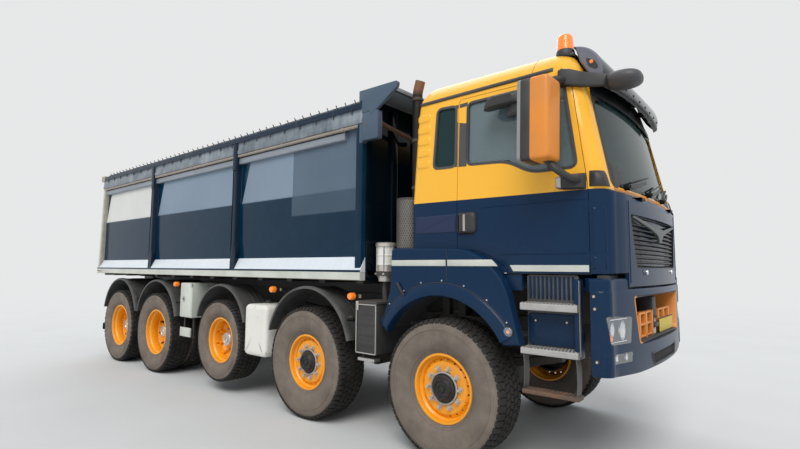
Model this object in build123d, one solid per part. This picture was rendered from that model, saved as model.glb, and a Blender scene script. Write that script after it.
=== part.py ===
from build123d import *
import os
from collections import namedtuple
from math import atan2, cos, degrees, hypot, radians, sin, tan

# Five-axle dump truck with a short cab, in mm. X points forward, Y to the left and Z up.
# X is measured from axle 1 and Z from the ground. Parts are moved by origin_shift as they are written,
# so that the origin is the middle of the truck's box, on the ground.

# Overall sizes
bumper_front = 1500
front_mirror_x = 1629.6
overall_width = 2550
side_y = overall_width / 2
seat_gap = 0.3
moving_gap = 7

# Axles: number, x, axle height, tyre radius, tyre width, bead radius, twin, steered
Axle = namedtuple("Axle", "number x z tyre_r tyre_w bead_r twin steered")
single_r = 600
lift_r = 536
twin_r = 610
lift_height = 665
tandem_x = -5467
tandem_spacing = 1402
axles = [
    Axle(1, 0, single_r, single_r, 375, 286, False, True),
    Axle(2, -1808, single_r, single_r, 375, 286, False, True),
    Axle(3, -3583, lift_height, lift_r, 385, 286, False, False),
    Axle(4, tandem_x, twin_r, twin_r, 325, 335, True, False),
    Axle(5, tandem_x - tandem_spacing, twin_r, twin_r, 325, 335, True, False),
]
twin_spacing = 365
rim_flange = 13
rim_wall = 10
disc_wall = 14
hub_r = 125
# Wheel discs: outward distances from the tyre's middle of the disc's edge and face, the hub's two ends
# and the drum's inner end, and the drum's radius
Disc = namedtuple("Disc", "edge face hub_out hub_in drum_in drum_r")
steered_disc = Disc(60, 95, 160, 25, -55, 195)
lift_disc = Disc(-25, -60, 55, -175, -165, 195)
twin_disc = Disc(-40, -twin_spacing / 2 + disc_wall * 0.75, 10, -350, -440, 230)
kingpin_y = side_y - 275
spindle_r = 42
spindle_gap = 0.5
steer_gap = 8

# Ladder frame
rail_y = 425
rail_flange = 80
rail_wall = 9
rail_z0 = 880
rail_z1 = 1150
rail_front = 1250
rail_rear = -7540
cross_members = [1170, -1560, -2700, -4230, -5990, -7440]
subframe_z1 = 1330
subframe_front = -760
subframe_rear = -7400
rail_inner_y = rail_y - rail_flange

# Tipper body
bed_front = -950
bed_floor_z = 1600
bed_floor_t = 40
bed_side_top = 3340
rail_low = 3110
tube_rail_zs = (2985, 3070)
bed_wall_t = 45
bed_wall_in = side_y - 120
bed_bottom = 1505
strip_top = 1606
skirt_top = 1747
bed_beam_inset = 7
bed_beam_rear = -7900
bed_beam_z0 = subframe_z1 + moving_gap
bearer_z0 = 1470
bearer_w = 90
bearer_pitch = 580
post_xs = [-3283, -5717]
post_w = 105
headboard_top = 3450
visor_front = -480
cheek_front, cheek_z = -830, headboard_top - 300
tip_hinge_x = -7500
tip_hinge_z = 1400
tip_pin_r = 25

# Tail: the walls' rear edge at the foot, its lean, and the tailgate behind it
tail_foot_x = -7954
tail_lean = 2.9
gate_t = 62
gate_rib_t = 18
gate_gap = 12
gate_pin_r = 20
gate_hinge_z = 3300
gate_foot_z = bed_bottom + 5


def tail_at(z):
    return tail_foot_x + (z - bed_bottom) * tan(radians(tail_lean))


gate_hinge_x = tail_at(gate_hinge_z) - gate_gap - gate_t / 2
gate_l = gate_hinge_z - gate_foot_z
gate_reach_x = gate_hinge_x - gate_t / 2 * cos(radians(tail_lean)) - gate_l * sin(radians(tail_lean))
origin_shift = round(-(front_mirror_x + gate_reach_x) / 2)

# Hoist: base pivot and eye of the closed cylinder
hoist_base = (-4850, 820)
hoist_eye = (-4800, 1420)
hoist_stages = 4
barrel_r = 108
stage_wall = 10
stage_step = stage_wall + 0.5

# Cab sections: height, rear x, half width, where the corner starts, corner end x and y, front x
Section = namedtuple("Section", "z rear half corner_x side_x side_y front")
cab_bottom = 1600
waist_z = 2240
cab_half = 1120
cab_rear = -420
cab_sections = [
    Section(cab_bottom, cab_rear, cab_half, 1285, 1385, cab_half - 130, 1445),
    Section(waist_z, cab_rear, cab_half, 1285, 1382, cab_half - 140, 1437),
    Section(3080, cab_rear + 35, cab_half - 38, 1090, 1205, cab_half - 180, 1275),
    Section(3260, cab_rear + 50, cab_half - 70, 1040, 1150, cab_half - 220, 1215),
    Section(3400, cab_rear + 110, cab_half - 190, 950, 1060, cab_half - 340, 1120),
    Section(3475, cab_rear + 240, cab_half - 400, 760, 880, cab_half - 560, 930),
]
cab_wall = 55
floor_t = 50
door_rear = 100
door_front = 1252
door_top = 3170
door_lean_x = 1118
hinge_gap = 12
panel_gap = 7
door_arc_start = (150, 1800)
door_arc_end = (590, 1623)
glass_t = 6
glass_inset = 14

# Front end
front_panel_bottom = 1500
flap_top = 2190
bumper_top = 1490
bumper_bottom = 850
bumper_t = 60

# Small helpers


def block(x0, x1, y0, y1, z0, z1):
    box = Box(abs(x1 - x0), abs(y1 - y0), abs(z1 - z0))
    return Pos((x0 + x1) / 2, (y0 + y1) / 2, (z0 + z1) / 2) * box


def side_prism(points, y0, y1):
    # Outline in X and Z, pushed along Y
    face = make_face(Polyline(*[(x, y0, z) for x, z in points], close=True).edges())
    return extrude(face, amount=y1 - y0, dir=(0, 1, 0))


def front_prism(points, x0, x1):
    # Outline in Y and Z, pushed along X
    face = make_face(Polyline(*[(x0, y, z) for y, z in points], close=True).edges())
    return extrude(face, amount=x1 - x0, dir=(1, 0, 0))


def rod_y(x, z, r, y0, y1):
    return Pos(x, (y0 + y1) / 2, z) * Rot(90, 0, 0) * Cylinder(r, abs(y1 - y0))


def rod_x(y, z, r, x0, x1):
    return Pos((x0 + x1) / 2, y, z) * Rot(0, 90, 0) * Cylinder(r, abs(x1 - x0))


def rod_z(x, y, r, z0, z1):
    return Pos(x, y, (z0 + z1) / 2) * Cylinder(r, abs(z1 - z0))


def mirrored(shape):
    return mirror(shape, about=Plane.XZ)


def pair(shape):
    return [shape, mirrored(shape)]


def arc_band(x, z, r0, r1, angle0, angle1, y0, y1):
    # Part of a ring about an axis along Y, between two angles from +X upwards
    a0, a1 = radians(angle0), radians(angle1)
    am = (a0 + a1) / 2

    def at(r, a):
        return (x + r * cos(a), y0, z + r * sin(a))

    outer = ThreePointArc(at(r1, a0), at(r1, am), at(r1, a1))
    inner = ThreePointArc(at(r0, a1), at(r0, am), at(r0, a0))
    sides = [Line(at(r1, a1), at(r0, a1)), Line(at(r0, a0), at(r1, a0))]
    face = make_face([outer.edge(), inner.edge(), sides[0].edge(), sides[1].edge()])
    return extrude(face, amount=y1 - y0, dir=(0, 1, 0))


def solids_of(shapes):
    found = []
    for shape in shapes:
        found += list(shape.solids())
    return found


def write(name, *shapes):
    part = Compound(children=solids_of(shapes)).moved(Location((origin_shift, 0, 0)))
    export_step(part, f"parts/{name}.step")


# Wheels


def disc_of(axle):
    if axle.twin:
        return twin_disc
    return steered_disc if axle.steered else lift_disc


def outer_tyre_y(axle):
    return side_y - axle.tyre_w / 2


def tyre_profile(axle, middle=0):
    half = axle.tyre_w / 2
    height = axle.tyre_r - axle.bead_r
    r0 = axle.bead_r + seat_gap
    side = [
        (r0, 0.66 * half), (r0 + rim_flange + 2, 0.66 * half), (r0 + 0.25 * height, 0.86 * half),
        (r0 + 0.55 * height, half), (r0 + 0.85 * height, 0.94 * half), (axle.tyre_r, 0.8 * half),
    ]
    return [(r, middle + d) for r, d in side + [(r, -d) for r, d in reversed(side)]]


def barrel_profile(axle, middle=0):
    half = 0.66 * axle.tyre_w / 2
    bead = axle.bead_r
    well = bead - 22
    side = [(bead + rim_flange, half + rim_wall), (bead + rim_flange, half + seat_gap), (bead, half + seat_gap),
            (bead, half - 40), (well, half - 60)]
    inner = [(well - rim_wall, half - 52), (bead - rim_wall, half - 32), (bead - rim_wall, half + rim_wall)]
    outline = side + [(r, -d) for r, d in reversed(side)] + [(r, -d) for r, d in reversed(inner)] + inner
    return [(r, middle + d) for r, d in outline]


def disc_profile(axle, edge, face):
    out_r = axle.bead_r - 22 - rim_wall / 2
    knee_r = out_r - 40
    return [(hub_r - 20, face), (knee_r, face), (out_r, edge), (out_r, edge - disc_wall),
            (knee_r, face - disc_wall), (hub_r - 20, face - disc_wall)]


def hub_profile(disc):
    bore = spindle_r + spindle_gap
    back = disc.face - disc_wall
    end = disc.hub_out - 30
    drum_wall = 13
    return [
        (0, end), (0, disc.hub_out), (hub_r - 35, disc.hub_out), (hub_r, disc.hub_out - 30), (hub_r, back),
        (disc.drum_r, back), (disc.drum_r, disc.drum_in), (disc.drum_r - drum_wall, disc.drum_in),
        (disc.drum_r - drum_wall, back - drum_wall), (82, back - drum_wall), (82, disc.hub_in), (bore, disc.hub_in),
        (bore, end),
    ]


def turned(axle, side, *profiles):
    # Outlines of radius and outward distance, joined and turned about the wheel's axis
    section = Sketch()
    for profile in profiles:
        section += make_face(Polyline(*[(r, 0, d * side) for r, d in profile], close=True).edges())
    return Pos(axle.x, side * outer_tyre_y(axle), axle.z) * Rot(-90, 0, 0) * revolve(section, axis=Axis.Z)


def wheel_rim(axle, side):
    disc = disc_of(axle)
    dish = disc_profile(axle, disc.edge, disc.face)
    profiles = [barrel_profile(axle), hub_profile(disc), dish]
    if axle.twin:
        profiles += [barrel_profile(axle, -twin_spacing), [(r, -twin_spacing - d) for r, d in reversed(dish)]]
    return turned(axle, side, *profiles)


os.makedirs("parts", exist_ok=True)
print("wheels")
for axle in axles:
    middles = [0, -twin_spacing] if axle.twin else [0]
    for side, word in ((-1, "right"), (1, "left")):
        write(f"tyre_{axle.number}_{word}", *[turned(axle, side, tyre_profile(axle, m)) for m in middles])
        write(f"rim_{axle.number}_{word}", wheel_rim(axle, side))

# Knuckles: a fork about the beam's fist, with the kingpin and the spindle

fist_half = 54
fork_z = fist_half + steer_gap
fork_top = fork_z + 34
fork_web_y = kingpin_y + 75
kingpin_r = 28
fist_r = 52


def knuckle(axle, side):
    disc = disc_of(axle)
    web_out = outer_tyre_y(axle) + disc.hub_in - moving_gap
    spindle_end = outer_tyre_y(axle) + disc.hub_out - 32
    x, z = axle.x, axle.z
    fork = block(x - 48, x + 48, fork_web_y, web_out, z - fork_top, z + fork_top)
    for low in (z - fork_top, z + fork_z):
        fork += block(x - 48, x + 48, kingpin_y, fork_web_y, low, low + fork_top - fork_z)
        fork += rod_z(x, kingpin_y, 48, low, low + fork_top - fork_z)
    fork += rod_z(x, kingpin_y, kingpin_r, z - fork_top, z + fork_top)
    fork += rod_y(x, z, spindle_r, web_out - 5, spindle_end)
    return fork if side > 0 else mirrored(fork)


print("knuckles")
for axle in axles:
    if axle.steered:
        for side, word in ((-1, "right"), (1, "left")):
            write(f"knuckle_{axle.number}_{word}", knuckle(axle, side))

# Axle beams with their drive housings and the shafts between them

beam_r = 80
housing_r = 185
shaft_r = 45
nose_r = 90
fist_neck_r = 48


def half_beam(axle):
    # Radius and distance from the middle, out to the fist or the hub
    disc = disc_of(axle)
    if axle.steered:
        end = kingpin_y - fist_r + 20
        return [(beam_r, 250), (beam_r, kingpin_y - 380), (fist_neck_r, kingpin_y - 300), (fist_neck_r, end)]
    hub_in = outer_tyre_y(axle) + disc.hub_in
    spindle_end = outer_tyre_y(axle) + disc.hub_out - 32
    return [(beam_r, 250), (beam_r, hub_in - moving_gap), (spindle_r, hub_in - moving_gap), (spindle_r, spindle_end)]


def driven_beam(axle):
    half = [(housing_r, 90)] + half_beam(axle)
    outline = half + [(0, half[-1][1]), (0, -half[-1][1])] + [(r, -d) for r, d in reversed(half)]
    face = make_face(Polyline(*[(r, 0, d) for r, d in outline], close=True).edges())
    beam = Pos(axle.x, 0, axle.z) * Rot(-90, 0, 0) * revolve(face, axis=Axis.Z)
    if axle.steered:
        for y in (kingpin_y, -kingpin_y):
            beam += rod_z(axle.x, y, fist_r, axle.z - fist_half, axle.z + fist_half)
            beam -= rod_z(axle.x, y, kingpin_r + spindle_gap, axle.z - 200, axle.z + 200)
    return beam


def lift_beam(axle):
    # Dropped in the middle, so that the shaft passes over it
    hub_in = outer_tyre_y(axle) + lift_disc.hub_in - moving_gap
    top, low = axle.z + 45, axle.z - 145
    right = [(-hub_in, top - 90), (-hub_in, top), (-660, top), (-570, low)]
    outline = right + [(-y, z) for y, z in reversed(right)]
    outline += [(720, top - 90), (630, low - 90), (-630, low - 90), (-720, top - 90)]
    beam = front_prism(outline, axle.x - 55, axle.x + 55)
    spindle_end = outer_tyre_y(axle) + lift_disc.hub_out - 32
    for y in (1, -1):
        beam += rod_y(axle.x, axle.z, spindle_r, y * (hub_in - 5), y * spindle_end)
    return beam


print("axles")
transfer_x0, transfer_x1 = cross_members[2] + 40, cross_members[2] + 400
shaft_z = 640
beams = {axle.number: axle for axle in axles}
driveline = driven_beam(beams[1]) + driven_beam(beams[2])
driveline += rod_x(0, single_r, shaft_r, beams[2].x, beams[1].x)
driveline += rod_x(0, single_r, shaft_r, transfer_x1, beams[2].x)
driveline += rod_x(0, single_r, nose_r, beams[2].x, beams[2].x + 270)
driveline += rod_x(0, single_r, nose_r, beams[1].x - 270, beams[1].x)
rear_line = driven_beam(beams[4]) + driven_beam(beams[5])
rear_line += rod_x(0, shaft_z, shaft_r, beams[4].x, transfer_x0)
rear_line += rod_x(0, twin_r, shaft_r, beams[5].x, beams[4].x)
rear_line += rod_x(0, twin_r, nose_r, beams[4].x, beams[4].x + 270)
rear_line += rod_x(0, twin_r, nose_r, beams[5].x, beams[5].x + 270)
write("axle_beams_and_shafts", driveline, rear_line, lift_beam(beams[3]))

# Springs

leaf_half = 750
leaf_t = 70
leaf_w = rail_flange
leaf_sag = 105
hanger_w = 60


def leaf_spring(x, beam_top):
    # Drooping between two hangers under the rail, on a seat above the beam
    low = beam_top + 20
    radius = (leaf_half ** 2 + leaf_sag ** 2) / (2 * leaf_sag)
    spread = degrees(atan2(leaf_half, radius - leaf_sag))
    leaf = arc_band(x, low + radius, radius - leaf_t, radius, 270 - spread, 270 + spread, rail_inner_y, rail_y)
    leaf += block(x - 70, x + 70, rail_inner_y, rail_y, beam_top - 8, low + 20)
    for end in (x - leaf_half, x + leaf_half - hanger_w):
        leaf += block(end, end + hanger_w, rail_inner_y, rail_y, low + leaf_sag, rail_z0)
    return leaf


def bogie_spring(x0, x1, beam_top):
    # Crowned between the two tandem axles, turning on a bracket under the rail
    half = (x1 - x0) / 2
    middle = (x0 + x1) / 2
    radius = (half ** 2 + leaf_sag ** 2) / (2 * leaf_sag)
    spread = degrees(atan2(half, radius - leaf_sag))
    top = beam_top + leaf_sag + leaf_t
    leaf = arc_band(middle, top - radius, radius - leaf_t, radius, 90 - spread, 90 + spread, rail_inner_y, rail_y)
    leaf += block(middle - 110, middle + 110, rail_inner_y, rail_y, top - leaf_t, rail_z0)
    for x in (x0, x1):
        leaf += block(x - 60, x + 60, rail_inner_y, rail_y, beam_top - 8, beam_top + 30)
    return leaf


def air_spring(axle):
    middle_y = (rail_y + rail_inner_y) / 2
    foot = axle.z - 145
    return rod_z(axle.x, middle_y, 105, foot + 40, rail_z0 - 40) + rod_z(axle.x, middle_y, 60, foot, rail_z0)


print("springs")
springs = []
for axle in axles[:2]:
    seat = rod_y(axle.x, axle.z, beam_r + seat_gap, rail_inner_y - 50, rail_y + 50)
    springs += pair(leaf_spring(axle.x, axle.z + beam_r) - seat)
bogie = bogie_spring(axles[4].x, axles[3].x, twin_r + beam_r)
for axle in axles[3:]:
    bogie -= rod_y(axle.x, axle.z, beam_r + seat_gap, rail_inner_y - 50, rail_y + 50)
springs += pair(bogie) + pair(air_spring(axles[2]))
write("springs", *springs)

# Ladder frame and tipping subframe


def channel(y, z0, z1, x0, x1):
    # Channel open towards the middle, its web on the outer side
    rail = block(x0, x1, y - rail_flange, y, z0, z1)
    return rail - block(x0 - 1, x1 + 1, y - rail_flange - 1, y - rail_wall, z0 + rail_wall, z1 - rail_wall)


cab_mount_xs = [1130, -350]
cab_mount_l = 90


def ladder_frame():
    frame = channel(rail_y, rail_z0, rail_z1, rail_rear, rail_front)
    for x in cab_mount_xs:
        frame += block(x, x + cab_mount_l, rail_inner_y, rail_y, rail_z1, cab_bottom)
    frame += mirrored(frame)
    for x in cross_members:
        frame += block(x - 40, x + 40, -rail_y + 2, rail_y - 2, rail_z0 + 60, rail_z1 - 60)
    return frame


ear_r = 55
ear_t = 22
ear_front = subframe_rear + 160


def tip_ears():
    ears = []
    for y in (rail_y, rail_inner_y - ear_t):
        ear = rod_y(tip_hinge_x, tip_hinge_z, ear_r, y, y + ear_t)
        ear += side_prism([(tip_hinge_x - ear_r * 0.7, tip_hinge_z - ear_r * 0.7), (tip_hinge_x, tip_hinge_z + ear_r),
                           (ear_front, subframe_z1), (ear_front, rail_z1), (tip_hinge_x + 20, rail_z1)], y, y + ear_t)
        ears.append(ear)
    return ears


def subframe():
    frame = block(subframe_rear, subframe_front, rail_inner_y, rail_y, rail_z1, subframe_z1)
    for ear in tip_ears():
        frame += ear
    frame -= rod_y(tip_hinge_x, tip_hinge_z, tip_pin_r + spindle_gap, 0, rail_y + 200)
    frame += mirrored(frame)
    bx, bz = hoist_base
    for x in (subframe_front - 60, cross_members[2], cross_members[3], bx - 350, bx + 210, cross_members[4]):
        frame += block(x - 40, x + 40, -rail_inner_y - 2, rail_inner_y + 2, rail_z1, subframe_z1)
    # Cradle plates that hang beside the hoist and carry its trunnions
    for y in (barrel_r + 40, -barrel_r - 65):
        plate = block(bx - 380, bx + 240, y, y + 25, rail_z1 + 40, subframe_z1)
        top_z, foot_z = rail_z1 + 50, bz - 60
        plate += side_prism([(bx - 200, top_z), (bx + 200, top_z), (bx + 60, foot_z), (bx - 60, foot_z)], y, y + 25)
        frame += plate - rod_y(bx, bz, 35 + spindle_gap, y - 5, y + 30)
    return frame


print("frame")
write("ladder_frame", ladder_frame())
write("tipping_subframe", subframe())

# Engine, gearbox and transfer box

engine = block(-430, 830, -300, 300, 810, 1460) + block(-1330, -430, -230, 230, 790, rail_z1 - 10)
engine += block(330, 430, -rail_y + 10, rail_y - 10, rail_z1, rail_z1 + 35)
transfer = block(transfer_x0, transfer_x1, -220, 220, 560, 1050)
for z, x in ((single_r, transfer_x1), (shaft_z, transfer_x0)):
    transfer -= rod_x(0, z, shaft_r + spindle_gap, x - 30, x + 30)
write("engine_block", engine, transfer)

# Cab shell: a loft through few sections, hollowed, with its doorways and windows cut


def cab_outline(section, inset, z):
    rear = section.rear + inset
    half = section.half - inset
    corner = section.corner_x - inset * 0.6
    side_x, side_y_end = section.side_x - inset, section.side_y - inset * 0.6
    front = section.front - inset
    corner_mid = (corner + (side_x - corner) * 0.72, side_y_end + (half - side_y_end) * 0.72, z)
    upper = [Line((rear, half, z), (corner, half, z)),
             ThreePointArc((corner, half, z), corner_mid, (side_x, side_y_end, z))]
    lower = [edge.mirror(Plane.XZ) for edge in [e.edge() for e in upper]]
    front_arc = ThreePointArc((side_x, side_y_end, z), (front, 0, z), (side_x, -side_y_end, z))
    back = Line((rear, -half, z), (rear, half, z))
    edges = [e.edge() for e in upper] + lower + [front_arc.edge(), back.edge()]
    return make_face(edges)


def cab_solid(inset, floor_up):
    faces = []
    for section in cab_sections:
        z = section.z
        if section is cab_sections[0]:
            z += floor_up
        if section is cab_sections[-1]:
            z -= inset
        faces.append(cab_outline(section, inset, z))
    return loft(faces, ruled=True)


def door_outline(gap, hinge):
    # Rear edge, arc over the wheel fender, sill, hinge edge up to the waist and the raked pillar edge
    ax, az = door_arc_start
    bx, bz = door_arc_end
    rear = door_rear - gap
    edges = [
        Line((rear, 0, door_top + gap), (rear, 0, az - gap)),
        Line((rear, 0, az - gap), (ax - gap * 0.3, 0, az - gap)),
        ThreePointArc((ax - gap * 0.3, 0, az - gap), ((ax + bx) / 2 + 58 - gap, 0, (az + bz) / 2 + 30 - gap),
                      (bx - gap, 0, bz - gap)),
        Line((bx - gap, 0, bz - gap), (bx - gap, 0, cab_bottom - gap)),
        Line((bx - gap, 0, cab_bottom - gap), (door_front + hinge, 0, cab_bottom - gap)),
        Line((door_front + hinge, 0, cab_bottom - gap), (door_front + hinge, 0, waist_z)),
        Line((door_front + hinge, 0, waist_z), (door_lean_x + hinge, 0, door_top + gap)),
        Line((door_lean_x + hinge, 0, door_top + gap), (rear, 0, door_top + gap)),
    ]
    return make_face([e.edge() for e in edges])


def through_wall(face):
    # A right-hand side tool that spans the cab's wall and nothing of its middle
    return Pos(0, -cab_half - 60, 0) * extrude(face, amount=330, dir=(0, 1, 0))


window_bottom = 2562
window_top = 3112
door_window = [(205, window_bottom), (590, window_bottom - 20), (805, 2420), (1160, 2420), (1062, window_top),
               (205, window_top)]
quarter_window = [(-160, window_bottom + 8), (62, window_bottom), (62, window_top), (-130, window_top + 10)]


def window_tool(points, grow, y0=-cab_half - 60, y1=-cab_half + 270):
    face = make_face(Polyline(*[(x, 0, z) for x, z in points], close=True).edges())
    if grow:
        face = offset(face, amount=grow)
    return Pos(0, y0, 0) * extrude(face, amount=y1 - y0, dir=(0, 1, 0))


print("cab")
outer_cab = cab_solid(0, 0)
inner_cab = cab_solid(cab_wall, floor_t)
cab_walls = outer_cab - inner_cab
doorway = through_wall(door_outline(panel_gap, hinge_gap)) - cab_solid(cab_wall + panel_gap, -20)
door_cut = through_wall(door_outline(0, 0)) - cab_solid(cab_wall, -20)
quarter_tool = window_tool(quarter_window, 0)

# Windscreen: between two heights, the full width between the pillars
screen_low, screen_high = 2262, 3072
screen_side_low, screen_side_high = cab_half - 160, cab_half - 215
screen = [(-screen_side_low, screen_low), (screen_side_low, screen_low), (screen_side_high, screen_high),
          (-screen_side_high, screen_high)]
screen_tool = front_prism(screen, 900, 1600)
rear_window_half = cab_half - 640
rear_window = [(-rear_window_half, 2560), (rear_window_half, 2560), (rear_window_half, 3020),
               (-rear_window_half, 3020)]
rear_tool = front_prism(rear_window, cab_rear - 60, cab_rear + cab_wall + 145)

cab_shell = cab_walls
for tool in pair(doorway) + pair(quarter_tool) + [screen_tool, rear_tool]:
    cab_shell -= tool

# Glass: a thin skin set in from the wall's outer face, held at the edges of each window
skin = cab_solid(glass_inset, 0) - cab_solid(glass_inset + glass_t, 0)


def glass_of(tool):
    return skin & tool


cab_glass = [glass_of(t) for t in pair(quarter_tool) + [screen_tool, rear_tool]]
write("cab_glass", *cab_glass)

# Doors: the wall inside the doorway, with its window and hinges
hinge_axis = (door_front + hinge_gap / 2, cab_half)
hinge_zs = [1700, 2080]
hinge_pin_r = 5
knuckle_r = 12
sleeve_l = 46
plate_l = 15


def hinge_rod(r, z0, z1):
    x, y = hinge_axis
    return rod_z(x, -y, r, z0, z1)


def hinge_leaf(x0, x1, z0, z1):
    return block(x0, x1, -hinge_axis[1] - 8, -hinge_axis[1] + 4, z0, z1) + hinge_rod(knuckle_r, z0, z1)


door = cab_walls & door_cut
door -= window_tool(door_window, 0)
door_glass = skin & window_tool(door_window, 0)
for z in hinge_zs:
    top = z + sleeve_l
    below = (z - 5 - plate_l, z - 5)
    above = (top + 5, top + 5 + plate_l)
    for low, high in (below, above):
        door -= hinge_rod(knuckle_r + panel_gap, low - 5, high + 4)
    door += hinge_leaf(hinge_axis[0] - 60, hinge_axis[0], z, top)
    door -= hinge_rod(hinge_pin_r + spindle_gap, z - 1, top + 1)
    for flip in (False, True):
        sleeve_room = hinge_rod(knuckle_r + panel_gap, z - 4, top + 4)
        cab_shell -= mirrored(sleeve_room) if flip else sleeve_room
        half = hinge_rod(hinge_pin_r, below[0], above[1])
        for low, high in (below, above):
            half += hinge_leaf(hinge_axis[0], hinge_axis[0] + 50, low, high)
        cab_shell += mirrored(half) if flip else half
write("door_right", door)
write("door_left", mirrored(door))
write("door_glass_right", door_glass)
write("door_glass_left", mirrored(door_glass))

# Mirrors on the doors: housing, two arms and the foot at the waist
mirror_x0, mirror_x1 = 930, 1120
mirror_y0, mirror_y1 = cab_half + 130, cab_half + 370
mirror_z0, mirror_z1 = 2425, 3045


def door_mirror():
    housing = block(mirror_x0, mirror_x1, -mirror_y1, -mirror_y0, mirror_z0, mirror_z1)
    housing = fillet(housing.edges().filter_by(Axis.Z), 45)
    foot = block(1030, 1235, -cab_half - 70, -cab_half - seat_gap, 2255, 2330)
    arm = side_prism([(1080, 2300), (1140, 2300), (1060, 2470), (1000, 2470)], -mirror_y0 - 60, -mirror_y0 - 20)
    arm += block(1040, 1140, -mirror_y0 - 60, -cab_half - 30, 2275, 2325)
    top = block(1020, 1070, -mirror_y0 - 60, -cab_half + 25, mirror_z1 - 30, mirror_z1 + 25)
    return housing + foot + arm + top


mirror_solid = door_mirror() - outer_cab
mirror_solid = max(mirror_solid.solids(), key=lambda s: s.volume)
write("mirror_right", mirror_solid)
write("mirror_left", mirrored(mirror_solid))

# Front flap: a curved panel before the cab's front wall, hinged along its top
flap_half = cab_half - 290
flap_t = 30
flap_front = bumper_front - 12
flap_sag = 45
flap_axis = (1478, flap_top + 8)
flap_pin_r = 5
flap_ear_ys = [-520, 520]


def curved_band(front, half, sag, thick, z0, z1):
    # Panel bowed in plan: forward in the middle, back by sag at the two ends
    outer = ThreePointArc((front - sag, -half, z0), (front, 0, z0), (front - sag, half, z0))
    inner = ThreePointArc((front - sag - thick, half, z0), (front - thick, 0, z0), (front - sag - thick, -half, z0))
    ends = [Line((front - sag, half, z0), (front - sag - thick, half, z0)),
            Line((front - sag - thick, -half, z0), (front - sag, -half, z0))]
    face = make_face([outer.edge(), inner.edge(), ends[0].edge(), ends[1].edge()])
    return extrude(face, amount=z1 - z0, dir=(0, 0, 1))


grille_top = [(-640, 2035), (640, 2035), (560, 1640), (-560, 1640)]
front_flap = curved_band(flap_front, flap_half, flap_sag, flap_t, front_panel_bottom, flap_top)
recess = front_prism(grille_top, flap_front - flap_sag - 60, bumper_front + 20)
front_flap -= recess & curved_band(flap_front + 20, flap_half, flap_sag, 28, front_panel_bottom, flap_top)
for y in flap_ear_ys:
    for y0, y1 in ((y - 52, y - 25), (y + 25, y + 52)):
        front_flap -= block(flap_axis[0] - 60, flap_axis[0] + 60, y0, y1, flap_top - 22, flap_top + 1)
    front_flap += rod_y(flap_axis[0], flap_axis[1], 12, y - 25, y + 25)
    front_flap += block(flap_axis[0] - 8, flap_axis[0] + 4, y - 25, y + 25, flap_top - 12, flap_axis[1])
    front_flap -= rod_y(flap_axis[0], flap_axis[1], flap_pin_r + spindle_gap, y - 40, y + 40)
flap_hinges = []
for y in flap_ear_ys:
    hinge = rod_y(flap_axis[0], flap_axis[1], flap_pin_r, y - 38, y + 38)
    for side in (-1, 1):
        y0 = y + side * 31
        y1 = y + side * 45
        hinge += block(1385, flap_axis[0] + 12, min(y0, y1), max(y0, y1), flap_axis[1] - 12, flap_axis[1] + 12)
    hinge -= cab_solid(-seat_gap, 0)
    flap_hinges.append(max(hinge.solids(), key=lambda s: s.volume))
write("front_flap", front_flap)
write("cab_shell", cab_shell, *flap_hinges)

# Cab inside, seen through the glass: dashboard, steering wheel and two seats

dash_x0, dash_x1 = 1000, 1330
dash_half = cab_half - 190
wheel_x, wheel_y, wheel_z = 900, 480, 2080
wheel_tilt = -32
seat_y = 520


def cab_inside():
    outline = [(dash_x0, 1960), (dash_x0 + 30, 2170), (dash_x1, 2215), (dash_x1, 1700), (dash_x1 - 90, 1700)]
    dash = side_prism(outline, -dash_half, dash_half)
    dash += block(dash_x1 - 90, dash_x1, -400, 400, cab_bottom + floor_t, 1710)
    dash -= cab_solid(0, -20) - cab_solid(cab_wall + 15, -20)
    hub = Pos(wheel_x, wheel_y, wheel_z) * Rot(0, wheel_tilt, 0)
    column = hub * (Pos(0, 0, -95) * Cylinder(30, 190))
    wheel = hub * (Torus(225, 16) + Cylinder(60, 24) + Box(420, 36, 14))
    parts = [dash + column + wheel]
    for y in (-seat_y, seat_y):
        seat = block(330, 820, y - 240, y + 240, 1900, 2020)
        seat += side_prism([(330, 1900), (480, 1900), (360, 2720), (230, 2720)], y - 230, y + 230)
        seat += side_prism([(270, 2720), (345, 2720), (325, 2880), (250, 2880)], y - 130, y + 130)
        seat += block(420, 720, y - 170, y + 170, cab_bottom + floor_t, 1900)
        parts.append(seat)
    return parts


write("cab_interior", *cab_inside())

# Roof: sun visor on its two arms, beacon, roof rails and the front mirror

visor_half = cab_half - 288
visor_t = 12
visor_arm_z = 3290
# Front, how far the ends lie back, and height
visor_rows = [(1275, 95, 3345), (1390, 105, 3270), (1440, 115, 3105)]


def sun_visor():
    # A thin bowed strip before the top of the windscreen, falling forward
    faces = []
    for front, sag, z in visor_rows:
        outer = ThreePointArc((front - sag, -visor_half, z), (front, 0, z), (front - sag, visor_half, z))
        inner = ThreePointArc((front - sag - visor_t, visor_half, z), (front - visor_t, 0, z),
                              (front - sag - visor_t, -visor_half, z))
        ends = [Line((front - sag, visor_half, z), (front - sag - visor_t, visor_half, z)),
                Line((front - sag - visor_t, -visor_half, z), (front - sag, -visor_half, z))]
        faces.append(make_face([outer.edge(), inner.edge(), ends[0].edge(), ends[1].edge()]))
    visor = loft(faces, ruled=True)
    for y in (132 - visor_half, 0, visor_half - 132):
        visor += block(1000, 1290, y - 20, y + 20, visor_arm_z, visor_arm_z + 35)
    visor -= outer_cab
    return max(visor.solids(), key=lambda s: s.volume)


write("sun_visor", sun_visor())

beacon_x, beacon_y = 1015, cab_half - 250
roof_seat_z = 3385
roof_rail_z, roof_rail_h, roof_rail_rise = 3205, 30, 17
front_mirror_y, front_mirror_z = cab_half - 255, 3045
front_arm_z = 3215


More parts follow.
